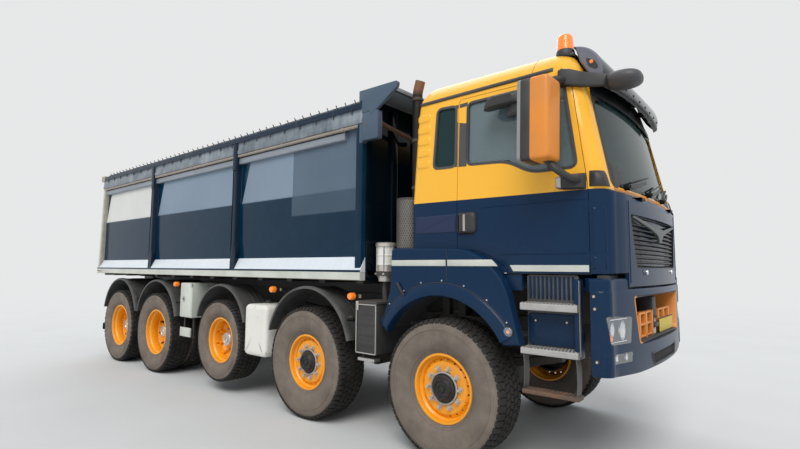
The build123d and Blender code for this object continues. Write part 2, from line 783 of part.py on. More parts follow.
def roof_parts():
    base_z, dome_z = roof_seat_z + 30, roof_seat_z + 55
    beacon = rod_z(beacon_x, -beacon_y, 48, roof_seat_z - 125, base_z)
    beacon += rod_z(beacon_x, -beacon_y, 56, base_z, dome_z)
    beacon += Pos(beacon_x, -beacon_y, dome_z) * Cone(55, 46, 145, align=(Align.CENTER, Align.CENTER, Align.MIN))
    beacon -= outer_cab
    beacon = max(beacon.solids(), key=lambda s: s.volume)
    front_z = roof_rail_z + roof_rail_rise
    rail = side_prism([(cab_rear + 60, roof_rail_z), (1040, front_z), (1040, front_z + roof_rail_h),
                       (cab_rear + 60, roof_rail_z + roof_rail_h)], -cab_half - 10, -cab_half + 130)
    rail -= outer_cab
    rail = max(rail.solids(), key=lambda s: s.volume)
    rail &= cab_solid(-14, 0)
    pod_x, pod_y, pod_z = front_mirror_x - 90, front_mirror_y, front_mirror_z
    arm = side_prism([(1090, front_arm_z), (pod_x + 30, pod_z + 30), (pod_x + 30, pod_z - 10),
                      (1090, front_arm_z - 55)], -pod_y - 18, -pod_y + 18)
    pod = block(pod_x, front_mirror_x, -pod_y - 115, -pod_y + 110, pod_z - 50, pod_z + 50)
    pod = fillet(pod.edges().filter_by(Axis.Z), 30)
    front = (arm + pod) - outer_cab
    front = max(front.solids(), key=lambda s: s.volume)
    return [beacon, front] + pair(rail)


write("roof_fittings", *roof_parts())

# Bumper: bowed band with corners wrapped back, lamp pockets and the central opening

bumper_half = cab_half + 80
bumper_rear_x = 1272
bumper_corner = (1400, bumper_half - 110)
bumper_open_half = bumper_half - 440
opening_top, opening_low = 1435, 1060


def bumper_face(inset, z):
    half = bumper_half - inset
    cx, cy = bumper_corner[0] - inset * 0.7, bumper_corner[1] - inset * 0.7
    start_x = cx - 75
    mid = (cx - 22, half - 26, z)
    upper = [Line((bumper_rear_x, half, z), (start_x, half, z)), ThreePointArc((start_x, half, z), mid, (cx, cy, z))]
    lower = [e.edge().mirror(Plane.XZ) for e in upper]
    front = ThreePointArc((cx, cy, z), (bumper_front - inset, 0, z), (cx, -cy, z))
    back = Line((bumper_rear_x, -half, z), (bumper_rear_x, half, z))
    return make_face([e.edge() for e in upper] + lower + [front.edge(), back.edge()])


def bumper_shell(inset=0):
    return extrude(bumper_face(inset, bumper_bottom), amount=bumper_top - bumper_bottom, dir=(0, 0, 1))


def prism_of(points):
    return front_prism(points, bumper_rear_x - 50, bumper_front + 50)


# Lamps on the right, as distance in from the bumper's end and height
lamp_outline = [(d - bumper_half, z) for d, z in ((15, 1300), (215, 1295), (215, 1120), (50, 1118))]
fog_outline = [(d - bumper_half, z) for d, z in ((60, 1020), (240, 1015), (225, 945), (90, 940))]
lamp_inset, lamp_pocket = 3, 30
bracket_y = (rail_inner_y, rail_y)
coupling_half, coupling_z = 620, 1090


def bumper():
    body = bumper_shell() - Pos(0, 0, -1) * bumper_shell(bumper_t)
    body -= block(bumper_rear_x - 60, bumper_rear_x + 10, -bumper_half + bumper_t, bumper_half - bumper_t, 0, 3000)
    body -= prism_of([(-bumper_open_half, opening_top), (bumper_open_half, opening_top),
                      (bumper_open_half - 90, opening_low), (90 - bumper_open_half, opening_low)])
    # Underside rising to the sides, where the corners tuck up
    for y in (1, -1):
        body -= prism_of([(y * (bumper_half - 500), bumper_bottom - 10), (y * (bumper_half + 60), bumper_bottom - 10),
                          (y * (bumper_half + 60), bumper_bottom + 30)])
    pockets = prism_of(lamp_outline) + prism_of(fog_outline)
    pocket_skin = bumper_shell() - Pos(0, 0, -1) * bumper_shell(lamp_pocket)
    for tool in pair(pockets & pocket_skin):
        body -= tool
    for y in (1, -1):
        y0, y1 = sorted((y * bracket_y[0], y * bracket_y[1]))
        body += block(rail_front, bumper_front - 40, y0, y1, bumper_bottom + 40, opening_low - 10)
    # Coupling behind the opening, on its own cross beam
    beam = block(rail_front + 60, rail_front + 130, -coupling_half, coupling_half, coupling_z - 130, coupling_z + 30)
    beam += block(rail_front + 60, bumper_front - 60, -70, 70, coupling_z - 90, coupling_z + 90)
    return body + beam


front_bumper = bumper()
write("bumper", front_bumper)


def lamps():
    skin = bumper_shell(lamp_inset) - Pos(0, 0, -1) * bumper_shell(lamp_pocket - seat_gap)
    found = []
    for outline in (lamp_outline, fog_outline):
        lamp = prism_of(outline) & skin
        lamp = max(lamp.solids(), key=lambda s: s.volume)
        found += pair(lamp)
    return found


front_lamps = lamps()

# Cab fenders: flat panels over axle 1 with the arch cut, an arch lip and a liner

fender_y0 = cab_half + 10
fender_y1 = fender_y0 + 95
arch_x, arch_z, arch_r = -25, 700, 692
lip_w, lip_out = 110, fender_y1 + 25
liner_y = cab_half - 270


def cab_fender():
    wx, wz = arch_x, arch_z
    top = [Line((-600, 0, 1430), (-585, 0, 1800)), Line((-585, 0, 1800), (-560, 0, 1825)),
           Line((-560, 0, 1825), (120, 0, 1810)),
           ThreePointArc((120, 0, 1810), (450, 0, 1690), (640, 0, 1420)),
           Line((640, 0, 1420), (735, 0, 1040)), Line((735, 0, 1040), (wx + 600, 0, 1040)),
           Line((wx + 600, 0, 1040), (wx, 0, wz)), Line((wx, 0, wz), (-715, 0, 1085)),
           Line((-715, 0, 1085), (-600, 0, 1430))]
    face = make_face([e.edge() for e in top])
    panel = Pos(0, fender_y0, 0) * extrude(face, amount=fender_y1 - fender_y0, dir=(0, 1, 0))
    panel -= rod_y(wx, wz, arch_r, 0, 1400)
    lip = arc_band(wx, wz, arch_r, arch_r + lip_w, 30, 148, fender_y1 - 40, lip_out)
    liner = arc_band(wx, wz, arch_r, arch_r + 14, 30, 148, liner_y, fender_y0 + 5)
    for angle in (33, 145):
        x = wx + (arch_r + 7) * cos(radians(angle))
        z = wz + (arch_r + 7) * sin(radians(angle))
        liner += block(x - 20, x + 20, rail_y, liner_y + 50, z - 25, z + 25)
    return panel + lip + liner


fender_left = cab_fender()
write("cab_fenders", fender_left, mirrored(fender_left))

# Mudguards over axles 2 to 5: axle, radius, centre's height, inner edge
guard_t = 13
guard_angles = (14, 166)
guard_shift = 25
single_guard_y, twin_guard_y = side_y - 395, side_y - 685
guards = [
    (axles[1], 685, 735, single_guard_y), (axles[2], 600, 800, single_guard_y),
    (axles[3], 685, 735, twin_guard_y), (axles[4], 685, 735, twin_guard_y),
]


def mudguard(axle, radius, z, inner_y):
    x = axle.x + guard_shift
    guard = arc_band(x, z, radius - guard_t, radius, *guard_angles, inner_y, side_y)
    for angle in (40, 140):
        bar_x = x + (radius + 8) * cos(radians(angle))
        bar_z = z + (radius + 8) * sin(radians(angle))
        if bar_z > rail_z1 - 20:
            bar_z = rail_z1 - 40
            bar_x = x + (1 if angle < 90 else -1) * ((radius + 8) ** 2 - (bar_z - z) ** 2) ** 0.5
        guard += rod_y(bar_x, bar_z, 20, rail_y, side_y - 60)
    return guard


mudguards = []
for row in guards:
    mudguards += pair(mudguard(*row))
write("mudguards", *mudguards)

# Entry steps below each door

step_x0, step_x1 = 742, 1175
step_back_y = cab_half - 50
step_out = fender_y1
treads = [(1318, 1374), (985, 1035)]
hang_z = (690, 722)


def entry_steps():
    foot_z = treads[1][0]
    body = block(step_x0, step_x1, step_back_y, step_back_y + 20, foot_z, cab_bottom - 12)
    for z0, z1 in treads:
        body += block(step_x0, step_x1 + 15, step_back_y + 15, step_out, z0, z1)
    body += block(step_x1 - 25, step_x1 + 15, step_back_y + 15, step_out - 35, foot_z, cab_bottom - 40)
    # Hanging step on two side plates
    for x in (step_x0 + 10, step_x1 - 15):
        body += block(x, x + 18, step_out - 95, step_out - 10, hang_z[0], foot_z + 5)
    body += block(step_x0 + 10, step_x1 + 3, step_out - 115, step_out, *hang_z)
    # Arm from the rail
    body += block(900, 960, rail_y, step_back_y + 5, foot_z + 15, foot_z + 75)
    return body


steps_left = entry_steps()
write("entry_steps", steps_left, mirrored(steps_left))

# Boxes and tanks along the sides

battery = (-1006, -735, side_y - 575, side_y - 5, 800, 1310)


def bracket(x, z, y1):
    return block(x, x + 70, rail_y, y1, z, z + 60)


battery_box = block(*battery)
battery_box += block(battery[0] + 30, battery[1] - 20, side_y - 95, side_y - 7, battery[4] - 70, battery[4] - 40)
battery_box += block(battery[0] + 40, battery[0] + 60, side_y - 85, side_y - 65, battery[4] - 45, battery[4] + 5)
battery_box += bracket(-900, 960, battery[2] + 5)

tank = (-2955, -2500, side_y - 515, side_y - 5, 560, 1180)
tank_corner_r, tank_edge_r = 110, 40


def side_tank():
    body = fillet(block(*tank).edges().filter_by(Axis.Y), tank_corner_r)
    body = fillet(body.edges().filter_by(lambda e: e.center().Y > tank[3] - 5), tank_edge_r)
    return body + bracket(-2770, 960, tank[2] + 5)


tank_left = side_tank()
light_box_y = side_y - 395
light_box = block(-4646, -4313, light_box_y, side_y - 10, 825, 1400) + bracket(-4520, 960, light_box_y + 5)
air_y, air_z, air_r = side_y - 575, 720, 120
air_tank = rod_x(air_y, air_z, air_r, -4640, -4240)
air_tank += block(-4500, -4430, rail_y, air_y + 60, rail_z0, rail_z0 + 30)
air_tank += block(-4500, -4430, air_y - 60, air_y + 60, air_z + 60, rail_z0 + 30)
write("side_tanks", *pair(tank_left), *pair(air_tank))

lube_x, lube_y, lube_z = -800, side_y - 265, battery[5] + 180
# Radius, and two heights above the unit's foot
lube_steps = [(62, 0, 70), (78, 70, 110), (66, 110, 360), (76, 360, 400)]
lube = block(lube_x - 25, lube_x + 25, -lube_y - 25, -lube_y + 25, battery[5], lube_z + 5)
for r, z0, z1 in lube_steps:
    lube += rod_z(lube_x, -lube_y, r, lube_z + z0, lube_z + z1)
write("side_boxes", *pair(battery_box), *pair(light_box), lube)

# Exhaust stack behind the cab, through its heat guard

stack_x, stack_y, stack_r = -500, side_y - 345, 52
stack_top = headboard_top - 10
guard_x, guard_r = -590, 138


def exhaust():
    stack = rod_z(stack_x, -stack_y, stack_r, 1400, stack_top)
    tip = Pos(stack_x, -stack_y, stack_top) * Rot(0, 22, 0) * (Pos(0, 0, 30) * Cylinder(stack_r, 130))
    heat_guard = rod_z(guard_x, -stack_y, guard_r, 1790, 2330)
    arm = block(stack_x - 50, stack_x + 40, -stack_y, -rail_inner_y, 1400, 1460)
    foot = block(stack_x - 50, stack_x + 40, -rail_y, -rail_inner_y, rail_z1, 1460)
    return stack + tip + heat_guard + arm + foot


write("exhaust_stack", exhaust())

# Rear end: lamp bar, flaps and underrun bar

lamp_bar = (rail_rear - 55, rail_rear, 880, 945)
lamp_bar_half = side_y - 75
underrun = (-7870, -7770, 450, 570)
underrun_half = side_y - 125
flap_ys = (side_y - 655, side_y - 75)
tail_lamp_ys = (side_y - 455, side_y - 155)


def rear_bar():
    bar = block(lamp_bar[0], lamp_bar[1], -lamp_bar_half, lamp_bar_half, lamp_bar[2], lamp_bar[3])
    for y in (rail_inner_y, -rail_y):
        bar += side_prism([(lamp_bar[1], lamp_bar[3]), (lamp_bar[0], lamp_bar[3]), (underrun[0], underrun[3]),
                           (underrun[0], underrun[2]), (underrun[1], underrun[2]), (lamp_bar[1] - 10, lamp_bar[2])],
                          y, y + rail_flange)
    bar += block(underrun[0], underrun[1], -underrun_half, underrun_half, underrun[2], underrun[3])
    for y0, y1 in (flap_ys, (-flap_ys[1], -flap_ys[0])):
        bar += block(lamp_bar[1] - 12, lamp_bar[1], y0, y1, 380, lamp_bar[2] + 5)
    return bar


write("rear_bar", rear_bar())
rear_lamps = []
for y0, y1 in (tail_lamp_ys, (-tail_lamp_ys[1], -tail_lamp_ys[0])):
    rear_lamps.append(block(lamp_bar[0] - 60, lamp_bar[0], y0, y1, lamp_bar[2] - 60, lamp_bar[3] + 40))
write("lamps", *front_lamps, *rear_lamps)

# Tipper body: floor, side walls and headboard as one, with its frame below

print("tipper body")
wall_out = bed_wall_in + bed_wall_t
bed_floor_z0 = bed_floor_z - bed_floor_t


def wall_outline(z0, z1):
    return [(bed_front, z0), (bed_front, z1), (tail_at(z1), z1), (tail_at(z0), z0)]


def bed_tub():
    tub = side_prism(wall_outline(bed_floor_z0, bed_floor_z), -bed_wall_in, bed_wall_in)
    wall = side_prism(wall_outline(bed_bottom, bed_side_top), bed_wall_in, wall_out)
    tub += wall
    tub += mirrored(wall)
    tub += block(bed_front - bed_wall_t, bed_front, -wall_out, wall_out, bed_bottom, bed_side_top + 60)
    return tub


def bed_frame():
    beam_y0, beam_y1 = rail_inner_y + bed_beam_inset, rail_y - bed_beam_inset
    beam = block(bed_beam_rear, bed_front - bed_wall_t, beam_y0, beam_y1, bed_beam_z0, bed_floor_z0)
    frame = beam + mirrored(beam)
    count = int((bed_front - tip_hinge_x) / bearer_pitch)
    for i in range(count + 1):
        x = bed_front - 120 - i * bearer_pitch
        frame += block(x - bearer_w / 2, x + bearer_w / 2, -bed_wall_in, bed_wall_in, bearer_z0, bed_floor_z0)
    frame += block(bed_beam_rear, bed_beam_rear + bearer_w, -bed_wall_in, bed_wall_in, bearer_z0, bed_floor_z0)
    for y in (1, -1):
        y0, y1 = sorted((y * (rail_inner_y - ear_t - 6), y * (rail_y + ear_t + 6)))
        frame += rod_y(tip_hinge_x, tip_hinge_z, tip_pin_r, y0, y1)
    # Plates that the hoist's eye comes up between
    ex, ez = hoist_eye
    for y in (62, -80):
        frame += block(ex - 90, ex + 90, y, y + 18, ez - 40, bed_floor_z0)
    frame += block(ex - 90, ex + 90, -rail_inner_y - 10, rail_inner_y + 10, 1515, bed_floor_z0)
    return frame


write("bed_frame", bed_frame())


def bed_side_rails():
    rail = side_prism(wall_outline(rail_low, bed_side_top), wall_out, side_y)
    tube_rail = side_prism(wall_outline(*tube_rail_zs), wall_out, wall_out + 45)
    skirt_face = [(wall_out, skirt_top), (side_y, strip_top), (side_y, bed_bottom), (wall_out, bed_bottom)]
    skirt = front_prism(skirt_face, tail_at(strip_top), bed_front)
    skirt &= side_prism(wall_outline(bed_bottom, skirt_top), wall_out - 10, side_y + 10)
    side = rail + tube_rail + skirt
    for x in post_xs:
        side += block(x - post_w / 2, x + post_w / 2, wall_out, side_y, strip_top + 40, bed_side_top - 20)
    for x in (bed_front - 30, tail_at(2500) + 50):
        side += block(x - 40, x + 30, wall_out, side_y - 8, strip_top + 20, rail_low + 5)
    # Lug for the tailgate's pin
    gx = gate_hinge_x
    side += block(gx - 40, gx + 80, wall_out + 12, side_y, gate_hinge_z - 45, gate_hinge_z + 60)
    side -= rod_y(gx, gate_hinge_z, gate_pin_r + spindle_gap, wall_out - 20, side_y - 12)
    return side


rails_left = bed_side_rails()
write("bed_side_rails", rails_left, mirrored(rails_left))


def headboard():
    # Visor over the gap to the cab, with a cheek at each side
    plate = block(bed_front - 10, -600, -side_y, side_y, headboard_top - 45, headboard_top)
    plate += block(bed_front - bed_wall_t, bed_front, -side_y, side_y, bed_side_top + 60, headboard_top)
    for y in (side_y - 40, -side_y):
        plate += side_prism([(bed_front, headboard_top), (visor_front, headboard_top - 5),
                             (visor_front, headboard_top - 60), (cheek_front, cheek_z), (bed_front, cheek_z)], y, y + 40)
        plate += block(bed_front, cheek_front - 5, y, y + 40, cheek_z - 204, cheek_z + 62)
    return plate


write("bed_tub", bed_tub() + headboard())


def tailgate():
    gx = gate_hinge_x
    back = gx - gate_t / 2
    panel = block(back + gate_rib_t, gx + gate_t / 2, -wall_out, wall_out, gate_foot_z, gate_hinge_z + 15)
    for z in (gate_foot_z, gate_hinge_z - gate_l / 2, gate_hinge_z - 75):
        panel += block(back, gx, -wall_out, wall_out, z, z + 90)
    for y in (-wall_out, -wall_out / 2 - 30, -30, wall_out / 2 - 30, wall_out - 60):
        panel += block(back, gx, y, y + 60, gate_foot_z, gate_hinge_z + 15)
    panel += rod_y(gx, gate_hinge_z, gate_pin_r, -side_y + 14, side_y - 14)
    turn = Pos(gx, 0, gate_hinge_z) * Rot(0, tail_lean, 0) * Pos(-gx, 0, -gate_hinge_z)
    return turn * panel


write("tailgate", tailgate())

# Hoist: barrel on its trunnions and nested stages, the last with its eye

hoist_dx = hoist_eye[0] - hoist_base[0]
hoist_dz = hoist_eye[1] - hoist_base[1]
closed_length = hypot(hoist_dx, hoist_dz)
hoist_angle = degrees(atan2(hoist_dx, hoist_dz))
barrel_low, barrel_top = -75, closed_length - 110


def along_hoist(shape):
    return Pos(hoist_base[0], 0, hoist_base[1]) * Rot(0, hoist_angle, 0) * shape


def tube_up(r, wall, z0, z1):
    tube = Pos(0, 0, (z0 + z1) / 2) * Cylinder(r, z1 - z0)
    return tube - Pos(0, 0, (z0 + z1) / 2) * Cylinder(r - wall, z1 - z0 + 2)


def hoist_nodes():
    barrel = tube_up(barrel_r, stage_wall, barrel_low, barrel_top)
    barrel += Pos(0, 0, barrel_low + 12) * Cylinder(barrel_r - 2, 24)
    for y in (1, -1):
        barrel += Pos(0, y * (barrel_r + 30), 0) * Rot(90, 0, 0) * Cylinder(35, 74)
    nodes = [("hoist_barrel", barrel)]
    for i in range(hoist_stages):
        r = barrel_r - (i + 1) * stage_step
        low, top = barrel_low + 30 + i * 6, barrel_top + 12 * (i + 1)
        if i < hoist_stages - 1:
            stage = tube_up(r, stage_wall, low, top)
        else:
            stage = Pos(0, 0, (low + top) / 2) * Cylinder(r, top - low)
            stage += Pos(0, 0, (top + closed_length) / 2) * Cylinder(30, closed_length - top)
            stage += Pos(0, 0, closed_length) * Rot(90, 0, 0) * Cylinder(38, 80)
            stage -= Pos(0, 0, closed_length) * Rot(90, 0, 0) * Cylinder(22, 90)
        nodes.append((f"hoist_stage_{i + 1}", stage))
    return nodes


for name, shape in hoist_nodes():
    write(name, along_hoist(shape))
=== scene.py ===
from math import atan2, cos, exp, hypot, pi, radians, sin, sqrt, tan

import bmesh
import bpy
from mathutils import Matrix, Vector


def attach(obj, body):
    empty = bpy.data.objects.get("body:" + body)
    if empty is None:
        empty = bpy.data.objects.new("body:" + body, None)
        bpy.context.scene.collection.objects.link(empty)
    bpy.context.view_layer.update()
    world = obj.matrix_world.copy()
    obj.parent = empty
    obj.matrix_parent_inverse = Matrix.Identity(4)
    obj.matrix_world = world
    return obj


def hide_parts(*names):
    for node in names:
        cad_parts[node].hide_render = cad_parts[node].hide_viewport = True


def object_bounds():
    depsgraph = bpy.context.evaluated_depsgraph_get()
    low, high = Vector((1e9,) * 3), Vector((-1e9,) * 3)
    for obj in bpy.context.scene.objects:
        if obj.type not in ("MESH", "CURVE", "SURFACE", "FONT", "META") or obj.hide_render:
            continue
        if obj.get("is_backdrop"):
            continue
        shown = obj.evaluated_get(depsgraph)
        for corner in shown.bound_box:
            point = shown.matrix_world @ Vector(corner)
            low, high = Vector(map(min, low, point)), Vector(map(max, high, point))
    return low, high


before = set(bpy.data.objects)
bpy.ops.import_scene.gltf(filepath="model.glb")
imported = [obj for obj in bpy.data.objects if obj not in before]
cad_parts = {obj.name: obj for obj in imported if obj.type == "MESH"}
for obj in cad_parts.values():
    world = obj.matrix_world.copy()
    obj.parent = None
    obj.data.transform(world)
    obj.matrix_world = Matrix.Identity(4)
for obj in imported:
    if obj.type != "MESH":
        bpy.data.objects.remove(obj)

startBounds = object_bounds()
scene = bpy.context.scene
shift = 3.199  # the frame's X of axle 1; lengths below are metres, with X measured from axle 1
halfWidth = 1.275  # outer side of tyres, body and mudguards
railSide = 0.425  # outer side of the ladder frame


def place(x, y, z):
    return Vector((x + shift, y, z))


# Mesh building: a piece gathers forms in one bmesh, and each form names its material by number

class Piece:
    def __init__(self, name, body, finishes="", slot=None, at=None):
        # Finishes are names in the table of finishes; with at, the form is drawn round its own origin
        self.name, self.body, self.finishes, self.slot, self.at = name, body, finishes, slot, at
        self.bm = bmesh.new()

    def point(self, x, y, z):
        return Vector((x, y, z)) if self.at else place(x, y, z)

    def addFaces(self, points, faces, mat=0, smooth=True):
        verts = [self.bm.verts.new(self.point(*p)) for p in points]
        made = []
        for face in faces:
            try:
                f = self.bm.faces.new([verts[i] for i in face])
            except ValueError:
                continue
            f.material_index = mat
            f.smooth = smooth
            made.append(f)
        return verts, made

    def soften(self, faces, amount, segments=2, sharp=25):
        bmesh.ops.recalc_face_normals(self.bm, faces=faces)
        edges = {e for f in faces for e in f.edges}
        edges = [e for e in edges if len(e.link_faces) == 2 and e.calc_face_angle(0) > radians(sharp)]
        mat = faces[0].material_index
        made = bmesh.ops.bevel(self.bm, geom=edges, offset=amount, segments=segments, profile=0.5,
                               affect="EDGES", clamp_overlap=True)
        for f in made["faces"]:
            f.material_index = mat
            f.smooth = True

    def prism(self, outline, axis, low, high, mat=0, soft=0.0, segments=2, turn=None):
        # Closed outline in the two other axes, in X, Y, Z order, pushed along axis
        def spot(a, b, h):
            p = {"x": (h, a, b), "y": (a, h, b), "z": (a, b, h)}[axis]
            return turn(*p) if turn else p

        n = len(outline)
        low, high = sorted((low, high))
        points = [spot(a, b, low) for a, b in outline] + [spot(a, b, high) for a, b in outline]
        faces = [tuple(reversed(range(n))), tuple(range(n, 2 * n))]
        faces += [(i, (i + 1) % n, n + (i + 1) % n, n + i) for i in range(n)]
        _, made = self.addFaces(points, faces, mat)
        bmesh.ops.recalc_face_normals(self.bm, faces=made)
        if soft:
            self.soften(made, soft, segments)
        return self

    def block(self, x0, x1, y0, y1, z0, z1, mat=0, soft=0.004, segments=2, turn=None):
        outline = rect(x0, min(y0, y1), x1, max(y0, y1))
        return self.prism(outline, "z", z0, z1, mat, soft, segments, turn)

    def lathe(self, profile, centre, axis="y", mat=0, steps=40, arc=(0, 360), sign=1):
        # Profile of (distance along the axis, radius), turned about it; mat may be a list, one per profile run
        full = abs(arc[1] - arc[0]) >= 360
        count = steps if full else steps + 1
        cx, cy, cz = centre
        points = []
        for i in range(count):
            a = radians(arc[0] + (arc[1] - arc[0]) * i / steps)
            for along, r in profile:
                u, v = r * cos(a), r * sin(a)
                d = along * sign
                points.append({"y": (cx + u, cy + d, cz + v), "x": (cx + d, cy + u, cz + v),
                               "z": (cx + u, cy + v, cz + d)}[axis])
        m = len(profile)
        mats = mat if isinstance(mat, list) else [mat] * (m - 1)
        verts = [self.bm.verts.new(self.point(*p)) for p in points]
        made = []
        for i in range(steps):
            j = (i + 1) % count
            for k in range(m - 1):
                ring = [verts[i * m + k], verts[i * m + k + 1], verts[j * m + k + 1], verts[j * m + k]]
                ring = [v for n, v in enumerate(ring) if (v.co - ring[n - 1].co).length > 1e-6]
                if len(ring) < 3:
                    continue
                f = self.bm.faces.new(ring)
                f.material_index = mats[k]
                f.smooth = True
                made.append(f)
        bmesh.ops.remove_doubles(self.bm, verts=list({v for f in made for v in f.verts}), dist=1e-6)
        made = [f for f in made if f.is_valid]
        bmesh.ops.recalc_face_normals(self.bm, faces=made)
        return self

    def rod(self, a, b, r, mat=0, sides=14, soft=0.0, r2=None):
        # Closed cylinder or cone between two points
        a, b = Vector(a), Vector(b)
        along = (b - a).normalized()
        side = along.orthogonal().normalized()
        other = along.cross(side)
        r2 = r if r2 is None else r2
        points = []
        for end, radius in ((a, r), (b, r2)):
            points += [end + side * u + other * v for u, v in circle(radius, sides)]
        faces = [tuple(reversed(range(sides))), tuple(range(sides, 2 * sides))]
        faces += [(i, (i + 1) % sides, sides + (i + 1) % sides, sides + i) for i in range(sides)]
        _, made = self.addFaces(points, faces, mat)
        for f in made[:2]:
            f.smooth = False
        bmesh.ops.recalc_face_normals(self.bm, faces=made)
        if soft:
            self.soften(made, soft, 2, 50)
        return self

    def tube(self, path, r, mat=0, sides=10, round=0.0):
        # Bent pipe along points, its corners rounded
        path = [Vector(p) for p in (curvePath(path, round) if round else path)]
        rings = []
        side = None
        for i, p in enumerate(path):
            ahead = path[min(i + 1, len(path) - 1)] - path[max(i - 1, 0)]
            ahead.normalize()
            side = (side - ahead * side.dot(ahead)).normalized() if side else ahead.orthogonal().normalized()
            other = ahead.cross(side)
            rings.append([p + side * u + other * v for u, v in circle(r, sides)])
        points = [p for ring in rings for p in ring]
        faces = [tuple(reversed(range(sides))), tuple(range(len(points) - sides, len(points)))]
        for i in range(len(rings) - 1):
            for k in range(sides):
                a, b = i * sides + k, i * sides + (k + 1) % sides
                faces.append((a, b, b + sides, a + sides))
        _, made = self.addFaces(points, faces, mat)
        bmesh.ops.recalc_face_normals(self.bm, faces=made)
        return self

    def skin(self, rows, mat=0, closeU=False, thick=0.0, flip=False):
        # Rows of points joined into a sheet
        n = len(rows[0])
        points = [p for row in rows for p in row]
        faces = []
        for i in range(len(rows) - 1):
            for k in range(n if closeU else n - 1):
                a, b = i * n + k, i * n + (k + 1) % n
                face = (a, b, b + n, a + n)
                faces.append(tuple(reversed(face)) if flip else face)
        _, made = self.addFaces(points, faces, mat)
        if thick:
            bmesh.ops.solidify(self.bm, geom=made, thickness=thick)
        return self

    def cap(self, ring, mat=0):
        self.addFaces(ring, [tuple(range(len(ring)))], mat)

    def ends(self, rows, mat=0):
        for row in (rows[0], rows[-1]):
            self.cap(row, mat)

    def weld(self, dist=0.0):
        # Joins points that meet and turns every face outwards
        if dist:
            bmesh.ops.remove_doubles(self.bm, verts=self.bm.verts, dist=dist)
        bmesh.ops.recalc_face_normals(self.bm, faces=self.bm.faces)

    def mirror(self):
        # Everything so far also on the other side
        geom = list(self.bm.verts) + list(self.bm.edges) + list(self.bm.faces)
        made = bmesh.ops.duplicate(self.bm, geom=geom)["geom"]
        for v in [g for g in made if isinstance(g, bmesh.types.BMVert)]:
            v.co.y = -v.co.y
        bmesh.ops.reverse_faces(self.bm, faces=[g for g in made if isinstance(g, bmesh.types.BMFace)])
        return self

    def done(self, smooth=32, cut=None, replaces=()):
        mesh = bpy.data.meshes.new(self.name)
        self.bm.to_mesh(mesh)
        self.bm.free()
        for key in self.finishes.split():
            mesh.materials.append(finish[key])
        obj = bpy.data.objects.new(self.name, mesh)
        scene.collection.objects.link(obj)
        if self.at:
            obj.location = place(*self.at)
        if cut:
            carve(obj, cut)
        shadeByAngle(obj.data, smooth)
        if self.body:
            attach(obj, self.body)
        if replaces:
            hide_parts(*replaces)
        return obj


def shadeByAngle(mesh, angle):
    bm = bmesh.new()
    bm.from_mesh(mesh)
    for e in bm.edges:
        e.smooth = not (len(e.link_faces) == 2 and e.calc_face_angle(0) > radians(angle))
    for f in bm.faces:
        f.smooth = True
    bm.to_mesh(mesh)
    bm.free()


def carve(obj, cutters, operation="DIFFERENCE"):
    # Cuts the tools out of a closed piece and leaves no modifier behind
    for tool in cutters:
        mod = obj.modifiers.new("cut", "BOOLEAN")
        mod.operation, mod.solver, mod.object = operation, "EXACT", tool
    dg = bpy.context.evaluated_depsgraph_get()
    dg.update()
    mesh = bpy.data.meshes.new_from_object(obj.evaluated_get(dg))
    obj.modifiers.clear()
    obj.data = mesh
    for tool in cutters:
        bpy.data.objects.remove(tool)


def cutter(outline, axis, low, high):
    tool = Piece("cutter", None)
    tool.prism(outline, axis, low, high)
    return tool.done()


def curvePath(path, r, steps=5):
    path = [Vector(p) for p in path]
    out = [path[0]]
    for a, b, c in zip(path, path[1:], path[2:]):
        reach = min(r, (a - b).length / 2, (c - b).length / 2)
        p, q = b + (a - b).normalized() * reach, b + (c - b).normalized() * reach
        for i in range(steps + 1):
            t = i / steps
            out.append(p * (1 - t) ** 2 + b * (2 * t * (1 - t)) + q * t ** 2)
    return out + [path[-1]]


def roundOutline(points, r, steps=5):
    # Flat outline with its corners rounded; r may be one radius or a list
    out = []
    n = len(points)
    for i, (x, y) in enumerate(points):
        radius = r[i] if isinstance(r, list) else r
        a, b, c = Vector(points[i - 1]), Vector((x, y)), Vector(points[(i + 1) % n])
        if radius <= 0:
            out.append((x, y))
            continue
        reach = min(radius, (a - b).length * 0.48, (c - b).length * 0.48)
        p, q = b + (a - b).normalized() * reach, b + (c - b).normalized() * reach
        for k in range(steps + 1):
            t = k / steps
            s = p * (1 - t) ** 2 + b * (2 * t * (1 - t)) + q * t ** 2
            out.append((s.x, s.y))
    return out


def mix(a, b, t):
    return a + (b - a) * t


def circle(r, count, start=0.0):
    return [(r * cos(2 * pi * k / count + start), r * sin(2 * pi * k / count + start)) for k in range(count)]


def rect(x0, y0, x1, y1):
    return [(x0, y0), (x1, y0), (x1, y1), (x0, y1)]


def roundRect(x0, y0, x1, y1, r, steps=5):
    return roundOutline(rect(x0, y0, x1, y1), r, steps)


# Shader building

class Wire:
    # A socket that can be used in sums
    def __init__(self, paint, socket):
        self.paint, self.socket = paint, socket

    def calc(self, operation, *others, clamp=False):
        return self.paint.node("ShaderNodeMath", {"operation": operation, "use_clamp": clamp}, (self,) + others)

    def __add__(self, other): return self.calc("ADD", other)
    def __sub__(self, other): return self.calc("SUBTRACT", other)
    def __mul__(self, other): return self.calc("MULTIPLY", other)
    def __truediv__(self, other): return self.calc("DIVIDE", other)
    def __pow__(self, other): return self.calc("POWER", other)
    def __radd__(self, other): return self + other
    def __rmul__(self, other): return self * other
    def __rsub__(self, other): return self * -1 + other
    def __neg__(self): return self * -1
    def clip(self): return self.calc("ADD", 0.0, clamp=True)
    def above(self, edge, soft): return ((self - edge) / soft).clip()
    def below(self, edge, soft): return ((self - edge) / -soft).clip()


